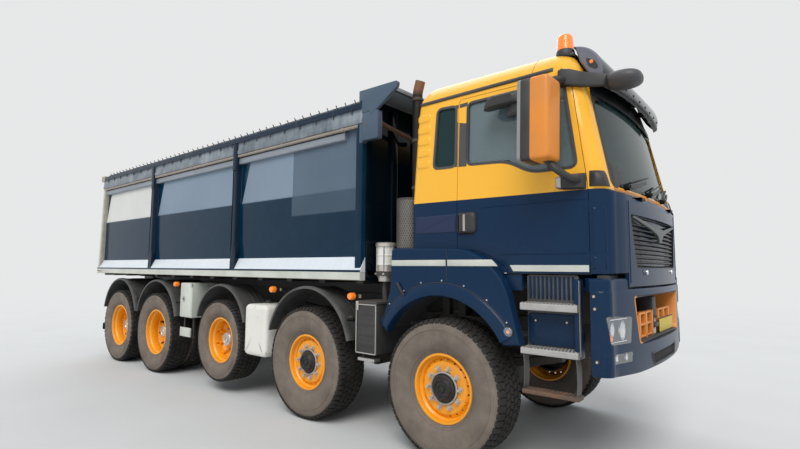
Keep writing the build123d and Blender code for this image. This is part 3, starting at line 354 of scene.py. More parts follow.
class Paint:
    def __init__(self, name, **plain):
        self.material = bpy.data.materials.new(name)
        self.material.use_nodes = True
        self.tree = self.material.node_tree
        self.tree.nodes.clear()
        self.end = self.tree.nodes.new("ShaderNodeOutputMaterial")
        self.shader = self.tree.nodes.new("ShaderNodeBsdfPrincipled")
        self.tree.links.new(self.shader.outputs[0], self.end.inputs[0])
        for key, value in plain.items():
            self.set(key, value)

    def feed(self, socket, value):
        if isinstance(value, Wire):
            self.tree.links.new(value.socket, socket)
        elif value is not None:
            if hasattr(socket.default_value, "__len__") and hasattr(value, "__len__"):
                value = tuple(value) + (1.0,) * (len(socket.default_value) - len(value))
            socket.default_value = value

    def node(self, kind, settings=None, inputs=(), out=0):
        made = self.tree.nodes.new(kind)
        for key, value in (settings or {}).items():
            if key == "stops":
                while len(made.color_ramp.elements) < len(value):
                    made.color_ramp.elements.new(0.5)
                for element, (spot, colour) in zip(made.color_ramp.elements, value):
                    element.position = spot
                    element.color = tuple(colour) + (1.0,) * (4 - len(colour))
            else:
                setattr(made, key, value)
        pairs = inputs.items() if isinstance(inputs, dict) else enumerate(inputs)
        for key, value in pairs:
            self.feed(made.inputs[key], value)
        return Wire(self, made.outputs[out])

    def set(self, key, value):
        self.feed(self.shader.inputs[{"color": "Base Color", "rough": "Roughness", "metal": "Metallic",
                                      "coat": "Coat Weight", "coatRough": "Coat Roughness", "alpha": "Alpha",
                                      "glow": "Emission Color", "glowPower": "Emission Strength",
                                      "sheen": "Sheen Weight", "ior": "IOR", "through": "Transmission Weight",
                                      "specular": "Specular IOR Level"}
                                     .get(key, key)], value)

    def spot(self):
        return self.node("ShaderNodeTexCoord", out=3)

    def axes(self, where=None):
        split = self.tree.nodes.new("ShaderNodeSeparateXYZ")
        self.feed(split.inputs[0], where or self.spot())
        return [Wire(self, s) for s in split.outputs]

    def noise(self, scale, detail=3.0, where=None, stretch=None, rough=0.5):
        where = where or self.spot()
        if stretch:
            where = self.node("ShaderNodeVectorMath", {"operation": "MULTIPLY"}, (where, stretch))
        return self.node("ShaderNodeTexNoise", None,
                         {"Vector": where, "Scale": scale, "Detail": detail, "Roughness": rough})

    def blend(self, factor, a, b, mode="MIX"):
        made = self.tree.nodes.new("ShaderNodeMix")
        made.data_type, made.blend_type = "RGBA", mode
        for key, value in ((0, factor), (6, a), (7, b)):
            self.feed(made.inputs[key], value)
        return Wire(self, made.outputs[2])

    def bump(self, height, strength=0.3, distance=0.002):
        self.set("Normal", self.node("ShaderNodeBump", None,
                                     {"Height": height, "Strength": strength, "Distance": distance}))


# Dust and grime that most of the truck's finishes share
grime = {"road": (0.23, 0.20, 0.17), "dark": (0.03, 0.028, 0.026), "rust": (0.20, 0.075, 0.03)}


def dirty(paint, colour, amount=0.5, top=1.3, fade=0.9, rough=0.35, scale=1.0):
    # Road dust that thins out with height, with fine spatter in it
    z = paint.axes()[2]
    cloud = paint.noise(2.2 * scale, 5.0, rough=0.6)
    spatter = paint.noise(38.0 * scale, 3.0, rough=0.7).above(0.52, 0.12)
    low = z.below(top, fade)
    dust = ((cloud - 0.25) * low * amount * 1.6 + spatter * low * amount * 0.35).clip()
    paint.set("color", paint.blend(dust, colour, grime["road"]))
    paint.set("rough", (dust * (0.85 - rough) + rough).clip())
    return dust


print("finishes")
tints = {
    "navy": (0.004, 0.024, 0.066), "yellow": (0.96, 0.50, 0.050), "rim": (0.92, 0.36, 0.008),
    "mirrorOrange": (0.80, 0.27, 0.03), "blackPlastic": (0.022, 0.022, 0.024), "greyPlastic": (0.055, 0.056, 0.06),
    "chassis": (0.025, 0.025, 0.027), "cast": (0.035, 0.033, 0.031), "rubber": (0.02, 0.02, 0.02),
    # tyreTread is near black partly as painted shade on the tread
    "tyreSide": (0.078, 0.066, 0.056), "tyreTread": (0.016, 0.015, 0.014), "white": (0.78, 0.77, 0.72),
    "alu": (0.60, 0.59, 0.57), "stainless": (0.55, 0.53, 0.50), "amber": (0.88, 0.20, 0.012),
}


def navyPaint(name="navyPaint", colour=tints["navy"], coat=0.14):
    p = Paint(name, coatRough=0.06, specular=0.10)
    dust = dirty(p, colour, 0.15, 1.55, 1.1, 0.30)
    p.set("coat", coat - dust * 0.1)
    p.bump(p.noise(9.0, 2.0), 0.05, 0.004)
    return p.material


def cabPaint():
    # Yellow above a border that falls slightly forward, navy below it
    p = Paint("cabPaint", coatRough=0.05, specular=0.12)
    x, _, z = p.axes()
    border = 2.243 - (x - (shift - 0.42)) * 0.0095
    upper = (z - border).above(0.0, 0.003)
    tone = p.noise(3.0, 3.0)
    yellow = p.blend(tone, tints["yellow"], (0.94, 0.47, 0.036))
    field = (x.above(shift - 0.372, 0.004) * x.below(shift + 0.082, 0.004)
             * z.above(1.952, 0.004) * z.below(2.118, 0.004))
    colour = p.blend(upper, p.blend(field * 0.55, tints["navy"], (0.042, 0.048, 0.100)), yellow)
    cloud = p.noise(2.6, 5.0, rough=0.6)
    low = z.below(2.0, 1.0)
    dust = ((cloud - 0.3) * low * 0.16).clip()
    p.set("color", p.blend(dust, colour, grime["road"]))
    p.set("rough", dust * 0.5 + 0.27)
    p.set("coat", upper * 0.33 + 0.13 - dust * 0.1)
    return p.material


def bedPaint():
    # Deep gloss navy, with a painted pale sky reflection above the crease that runs along the walls
    p = Paint("bedPaint", coatRough=0.08, specular=0.08)
    x, y, z = p.axes()
    cloud = p.noise(0.9, 4.0, rough=0.55)
    mottle = p.noise(6.0, 5.0, rough=0.65)
    front, outside = x.above(shift - 2.15, 0.008), (y * y).above(1.44, 0.01)
    # Painted sky reflection: mask above the crease, weaker and stepped in the front bay
    skyReflection = z.above(2.452, 0.018) * (1 - front) + (z.above(2.22, 0.02) * 0.25 + z.above(2.452, 0.02) * 0.25) * front
    skyReflection = skyReflection * x.below(shift - 1.055, 0.006) + outside * x.above(shift - 1.0, 0.006) * z.above(2.9, 0.02) * 0.36
    for post in (-3.231, -5.665, -7.84):  # painted shade: a dark wedge without the painted reflection in front of each post, wider towards the rail
        skyReflection = skyReflection * (1 - (x - (shift + post)).above(0, 0.004)
                       * (z * 0.30 - 0.70 + (shift + post) - x).above(0, 0.012))
    skyReflection = (skyReflection * (y * y).above(1.43, 0.004) * (0.74 + cloud * 0.4)).clip()
    base = p.blend((mottle - 0.45).clip(), (0.001, 0.021, 0.048), (0.008, 0.040, 0.080))
    # Painted shade: the front plate behind the cab, inside the walls, is turned near black
    base = p.blend(x.above(shift - 1.0, 0.006) * (1 - outside), base, (0.001, 0.005, 0.009))
    # Painted reflection colour: blue-grey, near white on the rear bay
    reflectionTone = p.blend(x.below(shift - 5.73, 0.02), (0.23, 0.295, 0.375), (0.72, 0.72, 0.70))
    reflectedPaint = p.blend(skyReflection, base, reflectionTone)
    chips = p.noise(17.0, 5.0, rough=0.75).above(0.76, 0.015)
    p.set("color", p.blend(chips, reflectedPaint, grime["rust"]))
    p.set("rough", (skyReflection * 0.30 + mottle * 0.10 + 0.14 + chips * 0.3).clip())
    p.set("coat", 0.24 - skyReflection * 0.1 - chips * 0.2)
    return p.material


def skirtPaint():
    # Slope painted pale as a sky reflection, varied by streaks and clouds
    p = Paint("skirtPaint", coatRough=0.15)
    streak = p.noise(4.0, 4.0, stretch=(6.0, 1.0, 0.8), rough=0.6)
    cloud = p.noise(1.6, 4.0)
    p.set("color", p.blend((streak * 0.7 + cloud * 0.5 - 0.05).clip(), (0.56, 0.62, 0.70), (0.78, 0.82, 0.86)))
    p.set("rough", streak * 0.3 + 0.22)
    p.set("coat", 0.3)
    return p.material


def railPaint():
    # Upper part navy, lower part painted with a silvery blue sky reflection in patches and upright streaks, which
    # also makes it slightly metallic
    p = Paint("railPaint", coatRough=0.15, specular=0.2)
    z = p.axes()[2]
    streak = p.noise(4.0, 4.0, stretch=(3.0, 1.0, 0.35), rough=0.6)
    patch = p.noise(1.6, 4.0, rough=0.6)
    reflectedSheen = (z.below(3.272, 0.05) * (0.42 + (patch - 0.45) * 1.9) * (0.7 + streak * 0.6)
              + (streak - 0.55) * 0.4).clip()
    rust = p.noise(9.0, 6.0, rough=0.75).above(0.66, 0.05)
    base = p.blend(reflectedSheen, (0.008, 0.022, 0.045), (0.40, 0.445, 0.485))
    p.set("color", p.blend(rust * 0.7, base, grime["rust"]))
    p.set("metal", reflectedSheen * 0.25)
    p.set("rough", 0.28 + reflectedSheen * 0.2)
    return p.material


def bareSteel(name, colour, rustAt=0.60, metal=0.55, under=(0.045, 0.058, 0.075)):
    # Worn top rails: painted once, now scraped to steel, with rust that runs down
    p = Paint(name)
    wear = p.noise(5.0, 6.0, stretch=(0.35, 1.0, 1.6), rough=0.7)
    rust = p.noise(9.0, 6.0, rough=0.75).above(rustAt, 0.06)
    base = p.blend(wear, under, colour)
    p.set("color", p.blend(rust, base, grime["rust"]))
    p.set("metal", (wear * metal * (1 - rust)).clip())
    p.set("rough", (0.32 + rust * 0.4 + wear * 0.15).clip())
    p.bump(wear, 0.2, 0.003)
    return p.material


def chassisPaint():
    p = Paint("chassisPaint")
    dirty(p, tints["chassis"], 0.55, 1.5, 1.0, 0.5, 1.6)
    return p.material


def castMetal():
    p = Paint("castMetal")
    grain = p.noise(70.0, 2.0)
    rust = p.noise(6.0, 5.0, rough=0.7).above(0.56, 0.1)
    p.set("color", p.blend(rust * 0.5, p.blend(grain, tints["cast"], (0.08, 0.072, 0.064)), (0.11, 0.06, 0.035)))
    p.set("rough", 0.6 + grain * 0.25)
    p.bump(grain, 0.25, 0.001)
    return p.material


def plastic(name, colour, rough=0.45, grainScale=260.0, dust=0.25, specular=0.5):
    p = Paint(name, specular=specular)
    grain = p.noise(grainScale, 2.0)
    cloud = p.noise(3.0, 4.0, rough=0.6)
    p.set("color", p.blend(((cloud - 0.35) * dust * 2).clip(), colour, (0.16, 0.15, 0.135)))
    p.set("rough", rough + grain * 0.15)
    p.bump(grain, 0.15, 0.0006)
    return p.material


def mudguardPlastic():
    # Black plastic, greyed by dry mud
    p = Paint("mudguardPlastic")
    cloud = p.noise(4.5, 6.0, rough=0.65)
    fine = p.noise(55.0, 3.0)
    p.set("color", p.blend((cloud * 0.9 + fine * 0.3 - 0.34).clip(), (0.034, 0.035, 0.037), (0.21, 0.205, 0.195)))
    p.set("rough", 0.45 + cloud * 0.3)
    p.bump(fine, 0.15, 0.001)
    return p.material


def tyreRubber(name, colour, dustColour, amount):
    # Radius from the wheel's own axis drives rings of dust; the tread finish, on the tread and shoulders, is near
    # black, partly painted shade
    p = Paint(name, specular=0.3)
    x, _, z = p.axes()
    radius = (x * x + z * z) ** 0.5
    cloud = p.noise(5.0, 5.0, rough=0.65)
    fine = p.noise(60.0, 3.0, rough=0.7)
    rings = p.node("ShaderNodeMath", {"operation": "SINE"}, (radius * 330.0,)) * 0.5 + 0.5
    dust = (cloud * 0.9 + fine * 0.25 + rings * 0.08 - 0.35 + amount).clip()
    p.set("color", p.blend(dust, colour, dustColour))
    p.set("rough", 0.72 + dust * 0.2)
    p.bump(fine, 0.3, 0.0012)
    return p.material


def rimPaint():
    p = Paint("rimPaint", coatRough=0.2)
    x, _, z = p.axes()
    radius = (x * x + z * z) ** 0.5
    cloud = p.noise(9.0, 5.0, rough=0.65)
    low = z.below(0.05, 0.5)
    dirt = ((cloud - 0.38) * 1.5 * (0.35 + low * 0.5)).clip()
    # Painted shade in the bowl: darker towards the hub
    ring = radius.below(0.19, 0.06) * cloud * 0.4
    p.set("color", p.blend((dirt * 0.7 + ring).clip(), tints["rim"], (0.26, 0.10, 0.03)))
    p.set("rough", 0.35 + dirt * 0.5)
    p.set("coat", 0.3 - dirt * 0.3)
    return p.material


def hubMetal():
    p = Paint("hubMetal")
    cloud = p.noise(26.0, 5.0, rough=0.7)
    p.set("color", p.blend(cloud, (0.005, 0.006, 0.007), (0.055, 0.052, 0.050)))
    p.set("rough", 0.3 + cloud * 0.4)
    p.set("metal", 0.35)
    p.bump(cloud, 0.2, 0.002)
    return p.material


def nutMetal():
    p = Paint("nutMetal")
    cloud = p.noise(45.0, 4.0, rough=0.7)
    p.set("color", p.blend(cloud, (0.74, 0.72, 0.69), (0.42, 0.36, 0.30)))
    p.set("rough", 0.33)
    p.set("metal", 0.6)
    return p.material


def aluminium(name, colour, dirt=0.5):
    p = Paint(name)
    brushed = p.noise(40.0, 3.0, stretch=(0.2, 1.0, 1.0))
    cloud = p.noise(7.0, 5.0, rough=0.65)
    soil = ((cloud - 0.4) * dirt * 2).clip()
    p.set("color", p.blend(soil, p.blend(brushed, colour, tuple(c * 0.8 for c in colour)), (0.16, 0.12, 0.09)))
    p.set("metal", 0.85 - soil * 0.6)
    p.set("rough", 0.28 + soil * 0.4 + brushed * 0.1)
    return p.material


def plainGlass(name, colour, alpha, rough=0.02, shine=0.9):
    return Paint(name, color=colour, rough=rough, alpha=alpha, coat=0.0, specular=shine).material


def whiteTank():
    p = Paint("whiteTank")
    cloud = p.noise(3.4, 5.0, rough=0.6)
    scuff = p.noise(14.0, 5.0, rough=0.7).above(0.6, 0.1)
    p.set("color", p.blend((cloud * 0.7 + scuff * 0.35 - 0.38).clip(), tints["white"], (0.40, 0.38, 0.34)))
    p.set("rough", 0.42 + cloud * 0.2)
    p.bump(p.noise(2.5, 2.0), 0.35, 0.02)
    return p.material


def stackSteel():
    # Sooty pipe, rust brown only towards its open tip
    p = Paint("stackSteel", metal=0.3)
    z = p.axes()[2]
    cloud = p.noise(8.0, 6.0, rough=0.7)
    tip = (z.above(3.38, 0.06) * 0.85 + cloud.above(0.60, 0.1) * 0.25).clip()
    p.set("color", p.blend(tip, (0.010, 0.009, 0.009), (0.27, 0.125, 0.07)))
    p.set("rough", 0.5 + cloud * 0.25)
    p.bump(cloud, 0.3, 0.002)
    return p.material


def rustySteel():
    p = Paint("rustySteel")
    cloud = p.noise(8.0, 6.0, rough=0.7)
    p.set("color", p.blend(cloud.above(0.4, 0.3), (0.10, 0.085, 0.075), (0.26, 0.12, 0.06)))
    p.set("metal", 0.4)
    p.set("rough", 0.55 + cloud * 0.2)
    p.bump(cloud, 0.3, 0.002)
    return p.material


def lampOrange():
    p = Paint("lampOrange", rough=0.12, coat=0.8, glowPower=0.25, glow=tints["amber"])
    ribs = p.node("ShaderNodeMath", {"operation": "SINE"}, (p.axes()[2] * 900.0,)) * 0.5 + 0.5
    p.set("color", p.blend(ribs * 0.35, tints["amber"], (1.0, 0.36, 0.04)))
    p.bump(ribs, 0.4, 0.001)
    return p.material


def seatCloth():
    p = Paint("seatCloth", sheen=0.3)
    weave = p.node("ShaderNodeTexVoronoi", None, {"Vector": p.spot(), "Scale": 260.0})
    p.set("color", p.blend(weave, (0.03, 0.032, 0.037), (0.075, 0.08, 0.09)))
    p.set("rough", 0.85)
    p.bump(weave, 0.4, 0.001)
    return p.material


def meshSteel():
    # Expanded metal, open in its diamonds
    p = Paint("meshSteel", metal=0.5, rough=0.5)
    x, y, z = p.axes()
    turn = p.node("ShaderNodeMath", {"operation": "ARCTAN2"}, (y + 0.93, x - (shift - 0.59)))
    a = (turn * 0.138 + z * 0.5) * 42.0
    b = (turn * 0.138 - z * 0.5) * 42.0
    lines = []
    for wave in (a, b):
        saw = p.node("ShaderNodeMath", {"operation": "FRACT"}, (wave,))
        lines.append((saw - 0.5).calc("ABSOLUTE").above(0.30, 0.04))
    bars = lines[0].calc("MAXIMUM", lines[1])
    tone = p.noise(12.0, 4.0)
    p.set("color", p.blend(tone, (0.16, 0.15, 0.135), (0.30, 0.28, 0.25)))
    p.set("alpha", bars)
    return p.material


finish = {
    "navy": navyPaint(), "post": navyPaint("postNavy", (0.002, 0.013, 0.031), 0.2), "cab": cabPaint(),
    "bed": bedPaint(), "skirt": skirtPaint(),
    "rail": bareSteel("railSteel", (0.34, 0.37, 0.41), 0.68, 0.2, (0.15, 0.18, 0.215)), "topRail": railPaint(),
    "tail": bareSteel("tailSteel", (0.52, 0.48, 0.40), 0.60, 0.15, (0.20, 0.19, 0.17)),
    "pole": bareSteel("poleSteel", (0.44, 0.38, 0.31), 0.60, 0.15, (0.20, 0.165, 0.135)),
    "stack": stackSteel(), "gloss": plastic("glossBlack", (0.006, 0.007, 0.008), 0.25, 40.0, 0.03, 0.12),
    "cheek": plastic("visorCheek", (0.15, 0.155, 0.20), 0.2, 60.0, 0.1),
    "wing": plastic("darkChrome", (0.075, 0.088, 0.090), 0.25, 60.0, 0.05, 0.2),
    "bezel": plastic("mirrorBezel", (0.28, 0.285, 0.29), 0.4, 200.0, 0.2),
    "chassis": chassisPaint(), "cast": castMetal(),
    "plastic": plastic("blackPlastic", tints["blackPlastic"]),
    "grey": plastic("greyPlastic", tints["greyPlastic"], 0.4, 300.0, 0.15),
    "rubber": plastic("sealRubber", tints["rubber"], 0.5, 200.0, 0.1),
    "guard": mudguardPlastic(), "rim": rimPaint(), "hub": hubMetal(), "nut": nutMetal(),
    "side": tyreRubber("tyreSidewall", tints["tyreSide"], (0.31, 0.255, 0.212), 0.14),
    # Tread: near black with little dust, partly the rubber's colour and partly painted shade
    "tread": tyreRubber("tyreTread", tints["tyreTread"], (0.085, 0.075, 0.067), -0.16),
    "alu": aluminium("stepAluminium", tints["alu"]), "stainless": aluminium("stainless", tints["stainless"], 0.2),
    # Door glass tinted light teal as a painted sky reflection
    "glass": plainGlass("windowGlass", (0.15, 0.215, 0.235), 0.66),
    "screen": plainGlass("screenGlass", (0.018, 0.044, 0.046), 0.80, 0.02, 0.13),
    "clear": plainGlass("lampGlass", (0.75, 0.78, 0.8), 0.28, 0.05),
    "mirror": Paint("mirrorGlass", color=(0.8, 0.82, 0.84), metal=1.0, rough=0.03).material,
    "reflector": Paint("reflector", color=(0.85, 0.86, 0.88), metal=1.0, rough=0.18).material,
    "white": plastic("whiteStrip", (0.62, 0.64, 0.58), 0.4, 80.0, 0.35),
    "orange": plastic("orangeFrame", tints["mirrorOrange"], 0.32, 120.0, 0.25),
    "tank": whiteTank(), "rust": rustySteel(), "amber": lampOrange(), "cloth": seatCloth(), "mesh": meshSteel(),
    "plate": plastic("blankPlate", (0.72, 0.52, 0.03), 0.4, 60.0, 0.3),
    "red": Paint("tailLamp", color=(0.45, 0.01, 0.008), rough=0.15, coat=0.6).material,
    "inside": bareSteel("bodyInside", (0.26, 0.24, 0.22), 0.5, 0.3),
    "visor": plainGlass("visorSmoke", (0.010, 0.013, 0.018), 0.97, 0.10, 0.2),
    "wood": plastic("tarpCloth", (0.02, 0.021, 0.022), 0.6, 140.0, 0.3),
}


# Wheels
print("wheels")
wheelTypes = {
    "steered": dict(r=0.600, w=0.375, bead=0.286, edge=0.060, face=0.095, hubOut=0.160, hubIn=0.025, drumIn=-0.055,
                    drumR=0.195, rows=[(-0.86, -0.55), (-0.49, -0.19), (-0.13, 0.13), (0.19, 0.49), (0.55, 0.86)],
                    pitch=62, gap=0.22, skew=0.012, holes=20),
    "lift": dict(r=0.536, w=0.385, bead=0.286, edge=-0.025, face=-0.060, hubOut=0.055, hubIn=-0.175, drumIn=-0.165,
                 drumR=0.195, rows=[(-0.86, -0.55), (-0.49, -0.19), (-0.13, 0.13), (0.19, 0.49), (0.55, 0.86)],
                 pitch=60, gap=0.2, skew=0.01, holes=10),
    "twin": dict(r=0.610, w=0.325, bead=0.335, edge=-0.040, face=-0.172, hubOut=0.010, hubIn=-0.350, drumIn=-0.440,
                 drumR=0.230, rows=[(-0.86, -0.46), (-0.38, -0.03), (0.03, 0.38), (0.46, 0.86)],
                 pitch=46, gap=0.3, skew=0.02, holes=10),
}
wheels = {1: (0.0, 0.600, "steered"), 2: (-1.808, 0.600, "steered"), 3: (-3.583, 0.665, "lift"),
          4: (-5.467, 0.610, "twin"), 5: (-6.869, 0.610, "twin")}  # axle: X, height of its middle, kind
twinStep = 0.365  # from the outer twin to the inner one


def between(table, x):
    # Smooth curve through rows of (x, value)
    n = len(table)
    i = max(0, min(n - 2, sum(1 for row in table[1:-1] if x >= row[0])))
    p = [table[max(0, min(n - 1, i + k))][1] for k in (-1, 0, 1, 2)]
    t = (x - table[i][0]) / (table[i + 1][0] - table[i][0])
    return p[1] + 0.5 * t * (p[2] - p[0] + t
                             * (2 * p[0] - 5 * p[1] + 4 * p[2] - p[3] + t * (3 * (p[1] - p[2]) + p[3] - p[0])))


def tyreSide(t):
    # One sidewall from bead to shoulder as (distance from the middle, radius), with its moulded rings
    half, low, high = t["w"] / 2, t["bead"] + 0.0005, t["r"] - 0.014
    bulge = [(0.0, 0.66), (0.07, 0.70), (0.25, 0.87), (0.42, 0.965), (0.58, 0.995), (0.74, 0.985),
             (0.87, 0.945), (1.0, 0.83)]
    ridges = [(0.10, 0.0035), (0.165, 0.002), (0.57, 0.0012), (0.60, 0.0012), (0.63, 0.0012),
              (0.66, 0.0012), (0.72, 0.003)]
    stations = {i / 18: 0.0 for i in range(19)}
    for middle, rise in ridges:
        for off, h in ((-0.013, 0), (-0.006, rise), (0.006, rise), (0.013, 0)):
            stations[middle + off] = max(stations.get(middle + off, 0), h)
    return [(min(between(bulge, f) * half + rise, half), low + f * (high - low))
            for f, rise in sorted(stations.items())]


def treadBlock(piece, t, middle, a, wide, d0, d1, skew, base, top, mat=1):
    half = t["w"] / 2
    points = []
    for r, trim in ((base, 0), (top, 0.0022)):
        for d, turn in ((d0, -1), (d1, 1)):
            for end in (-1, 1):
                angle = a + end * (wide / 2 - trim / r) + turn * skew
                dd = d * half - turn * trim
                crown = 0.006 * (d * 1.1) ** 4 if r == top else 0
                points.append(((r - crown) * cos(angle), -(dd + middle), (r - crown) * sin(angle)))
    piece.addFaces(points, [(4, 5, 7, 6), (0, 1, 5, 4), (2, 6, 7, 3), (0, 4, 6, 2), (1, 3, 7, 5)], mat)


def tyreMesh(name, t, middles):
    piece = Piece(name, None, "side tread", at=(0, 0, 0))
    for middle in middles:
        side = tyreSide(t)
        inner = [(-d, r) for d, r in reversed(side)]
        profile = side + [(0.62 * t["w"] / 2, t["r"] - 0.013), (0, t["r"] - 0.012),
                          (-0.62 * t["w"] / 2, t["r"] - 0.013)] + inner
        mats = [0] * (len(side) - 2) + [1] * 6 + [0] * (len(side) - 2)
        piece.lathe([(d + middle, r) for d, r in profile], (0, 0, 0), "y", mats[:len(profile) - 1], 96, sign=-1)
        step = 2 * pi / t["pitch"]
        for row, (d0, d1) in enumerate(t["rows"]):
            for k in range(t["pitch"]):
                a = (k + 0.5 * (row % 2)) * step
                outerRow = row in (0, len(t["rows"]) - 1)
                gap = t["gap"] if outerRow else t["gap"] * 0.55
                treadBlock(piece, t, middle, a, step * (1 - gap), d0, d1, t["skew"] * (-1) ** row, t["r"] - 0.016,
                           t["r"] - 0.0005)
        for k in range(t["pitch"]):
            # Shoulder lugs that show as notches round the tyre's edge
            for d, turn in ((0.80, 1), (-0.80, -1)):
                a = k * step
                points = [((t["r"] - dr) * cos(a + e * step * 0.37), -(dd * turn + middle),
                           (t["r"] - dr) * sin(a + e * step * 0.37))
                          for dr, dd in ((0.003, 0.80 * t["w"] / 2), (0.012, 0.905 * t["w"] / 2),
                                         (0.034, 0.965 * t["w"] / 2), (0.040, 0.935 * t["w"] / 2)) for e in (-1, 1)]
                piece.addFaces(points, [(0, 1, 3, 2), (2, 3, 5, 4), (4, 5, 7, 6), (0, 2, 4, 6), (1, 7, 5, 3)], 1)
    piece.weld()
    return piece


def rimMesh(name, t, twin):
    hubFinish = "hub" if t["holes"] == 20 and not twin else "nut"
    piece = Piece(name, None, f"rim {hubFinish} nut stainless", at=(0, 0, 0))
    half, bead, face = 0.66 * t["w"] / 2, t["bead"], t["face"]
    for middle, flip in ((0, 1), (-twinStep, -1)) if twin else ((0, 1),):
        lip = half + 0.010
        side = [(lip - 0.003, bead + 0.013), (lip, bead + 0.011), (lip + 0.0015, bead + 0.004), (lip, bead - 0.006),
                (lip - 0.006, bead - 0.010), (half - 0.018, bead - 0.011), (half - 0.026, bead - 0.014),
                (half - 0.034, bead - 0.012), (half - 0.046, bead - 0.026), (half - 0.056, bead - 0.033)]
        outline = side + [(-d, r) for d, r in reversed(side)] + [side[0]]
        piece.lathe([(d + middle, r) for d, r in outline], (0, 0, 0), "y", 0, 72, sign=-1)
        outR, edge, f = bead - 0.030, t["edge"] * flip, face * flip
        way = 1 if f > edge else -1
        knee = outR - 0.040
        disc = [(edge, outR + 0.004), (mix(edge, f, 0.15), outR - 0.006), (mix(edge, f, 0.55), outR - 0.022),
                (mix(edge, f, 0.90), knee + 0.006), (f, knee - 0.006), (f - 0.004 * way, 0.190),
                (f - 0.004 * way, 0.118)]
        back = [(d - 0.012, r) for d, r in reversed(disc)]
        disc = disc + back + [disc[0]]
        piece.lathe([(d + middle, r) for d, r in disc], (0, 0, 0), "y", 0, 72, sign=-1)
    hub = t["hubOut"]
    back = face - 0.014
    cap = [(hub - 0.004, 0.0), (hub - 0.004, 0.020), (hub - 0.010, 0.024)]
    if not twin:
        cap = [(hub - 0.012, 0.0), (hub - 0.012, 0.028), (hub - 0.004, 0.030), (hub - 0.004, 0.034),
               (hub - 0.014, 0.037)]
    body = cap + [(hub - 0.014, 0.062), (hub - 0.006, 0.066), (hub - 0.006, 0.084), (hub - 0.020, 0.094),
                  (mix(hub, face, 0.5), 0.099), (mix(hub, face, 0.6), 0.112), (face + 0.012, 0.117),
                  (face + 0.010, 0.128), (face - 0.006, 0.130), (back, 0.130)]
    piece.lathe(body, (0, 0, 0), "y", 1, 48, sign=-1)
    drum = [(back, 0.125), (back, t["drumR"] - 0.008), (back - 0.008, t["drumR"]), (t["drumIn"] + 0.03, t["drumR"]),
            (t["drumIn"] + 0.03, t["drumR"] + 0.006), (t["drumIn"], t["drumR"] + 0.006),
            (t["drumIn"], t["drumR"] - 0.013), (back - 0.013, t["drumR"] - 0.013), (back - 0.013, 0.082),
            (t["hubIn"], 0.082), (t["hubIn"], 0.0435), (hub - 0.03, 0.0435)]
    piece.lathe(drum, (0, 0, 0), "y", 1, 48, sign=-1)
    # Ten wheel nuts on washers, cap bolts on the hub and the valve
    for u, v in circle(0.1675, 10, 0.16):
        seat = 0.002 - face if twin else 0.004 - face
        piece.rod((u, seat + 0.002, v), (u, seat - 0.006, v), 0.024, 2, 14)
        piece.rod((u, seat - 0.006, v), (u, seat - 0.030, v), 0.0165, 2, 6)
        piece.rod((u, seat - 0.030, v), (u, seat - 0.044, v), 0.0095, 2, 10)
    for u, v in circle(0.075, 12 if twin else 8):
        piece.rod((u, -(hub - 0.008), v), (u, -hub, v), 0.0065, 2 if twin else 1, 6)
    if not twin and t["holes"] == 20:
        # Bright collar and four lugs between hub and nuts
        piece.lathe([(face - 0.004, 0.142), (face + 0.012, 0.140), (face + 0.016, 0.128), (face + 0.008, 0.120)],
                    (0, 0, 0), "y", 3, 48, sign=-1)
        for u, v in circle(0.135, 10, 0.16 + pi / 10):
            piece.rod((u, -(face + 0.008), v), (u, -(face + 0.020), v), 0.006, 2, 6)
    for middle in (0, -twinStep) if twin else (0,):
        flip = 1 if middle == 0 else -1
        piece.tube([(0.0, -(half * 0.2 * flip + middle), bead - 0.034),
                    (0.0, -(half * 0.45 * flip + middle), bead - 0.045),
                    (0.0, -((half - 0.01) * flip + middle), bead - 0.040)], 0.0045, 3, 8)
    return piece


def drillHand(t):
    # Hand holes through the disc's slope, or vents in the barrel's foot of the deep rims
    tool = Piece("drill", None, at=(0, 0, 0))
    count, middle = t["holes"], mix(t["edge"], t["face"], 0.60)
    for u, v in circle(t["bead"] - 0.051, count):
        tool.rod((u, -(middle + 0.05), v), (u, -(middle - 0.07), v), 0.0085 if count == 20 else 0.019, 0, 12)
    return tool


for number, (x, z, kind) in wheels.items():
    t = wheelTypes[kind]
    twin = kind == "twin"
    if number in (1, 3, 4):
        tyrePiece = tyreMesh("tyreShape", t, (0, -twinStep) if twin else (0,)).done(smooth=38)
        rimPiece = rimMesh("rimShape", t, twin)
        rimPiece = rimPiece.done(smooth=35, cut=[drillHand(t).done()])
        shapes = (tyrePiece.data, rimPiece.data)
        for old in (tyrePiece, rimPiece):
            bpy.data.objects.remove(old)
    for word, side in (("right", -1), ("left", 1)):
        for node, mesh, slot in (("tyre", shapes[0], "tyre"), ("rim", shapes[1], "rim")):
            obj = bpy.data.objects.new(f"{node}{number}{word.title()}", mesh.copy())
            scene.collection.objects.link(obj)
            obj.location = place(x, side * (halfWidth - t["w"] / 2), z)
            facing = Matrix.Rotation(0 if side < 0 else pi, 4, "Z")
            obj.data.transform(facing @ Matrix.Rotation(0.11 * number, 4, "Y"))
            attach(obj, f"wheel_{number}_{word}")
            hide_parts(f"{node}_{number}_{word}")


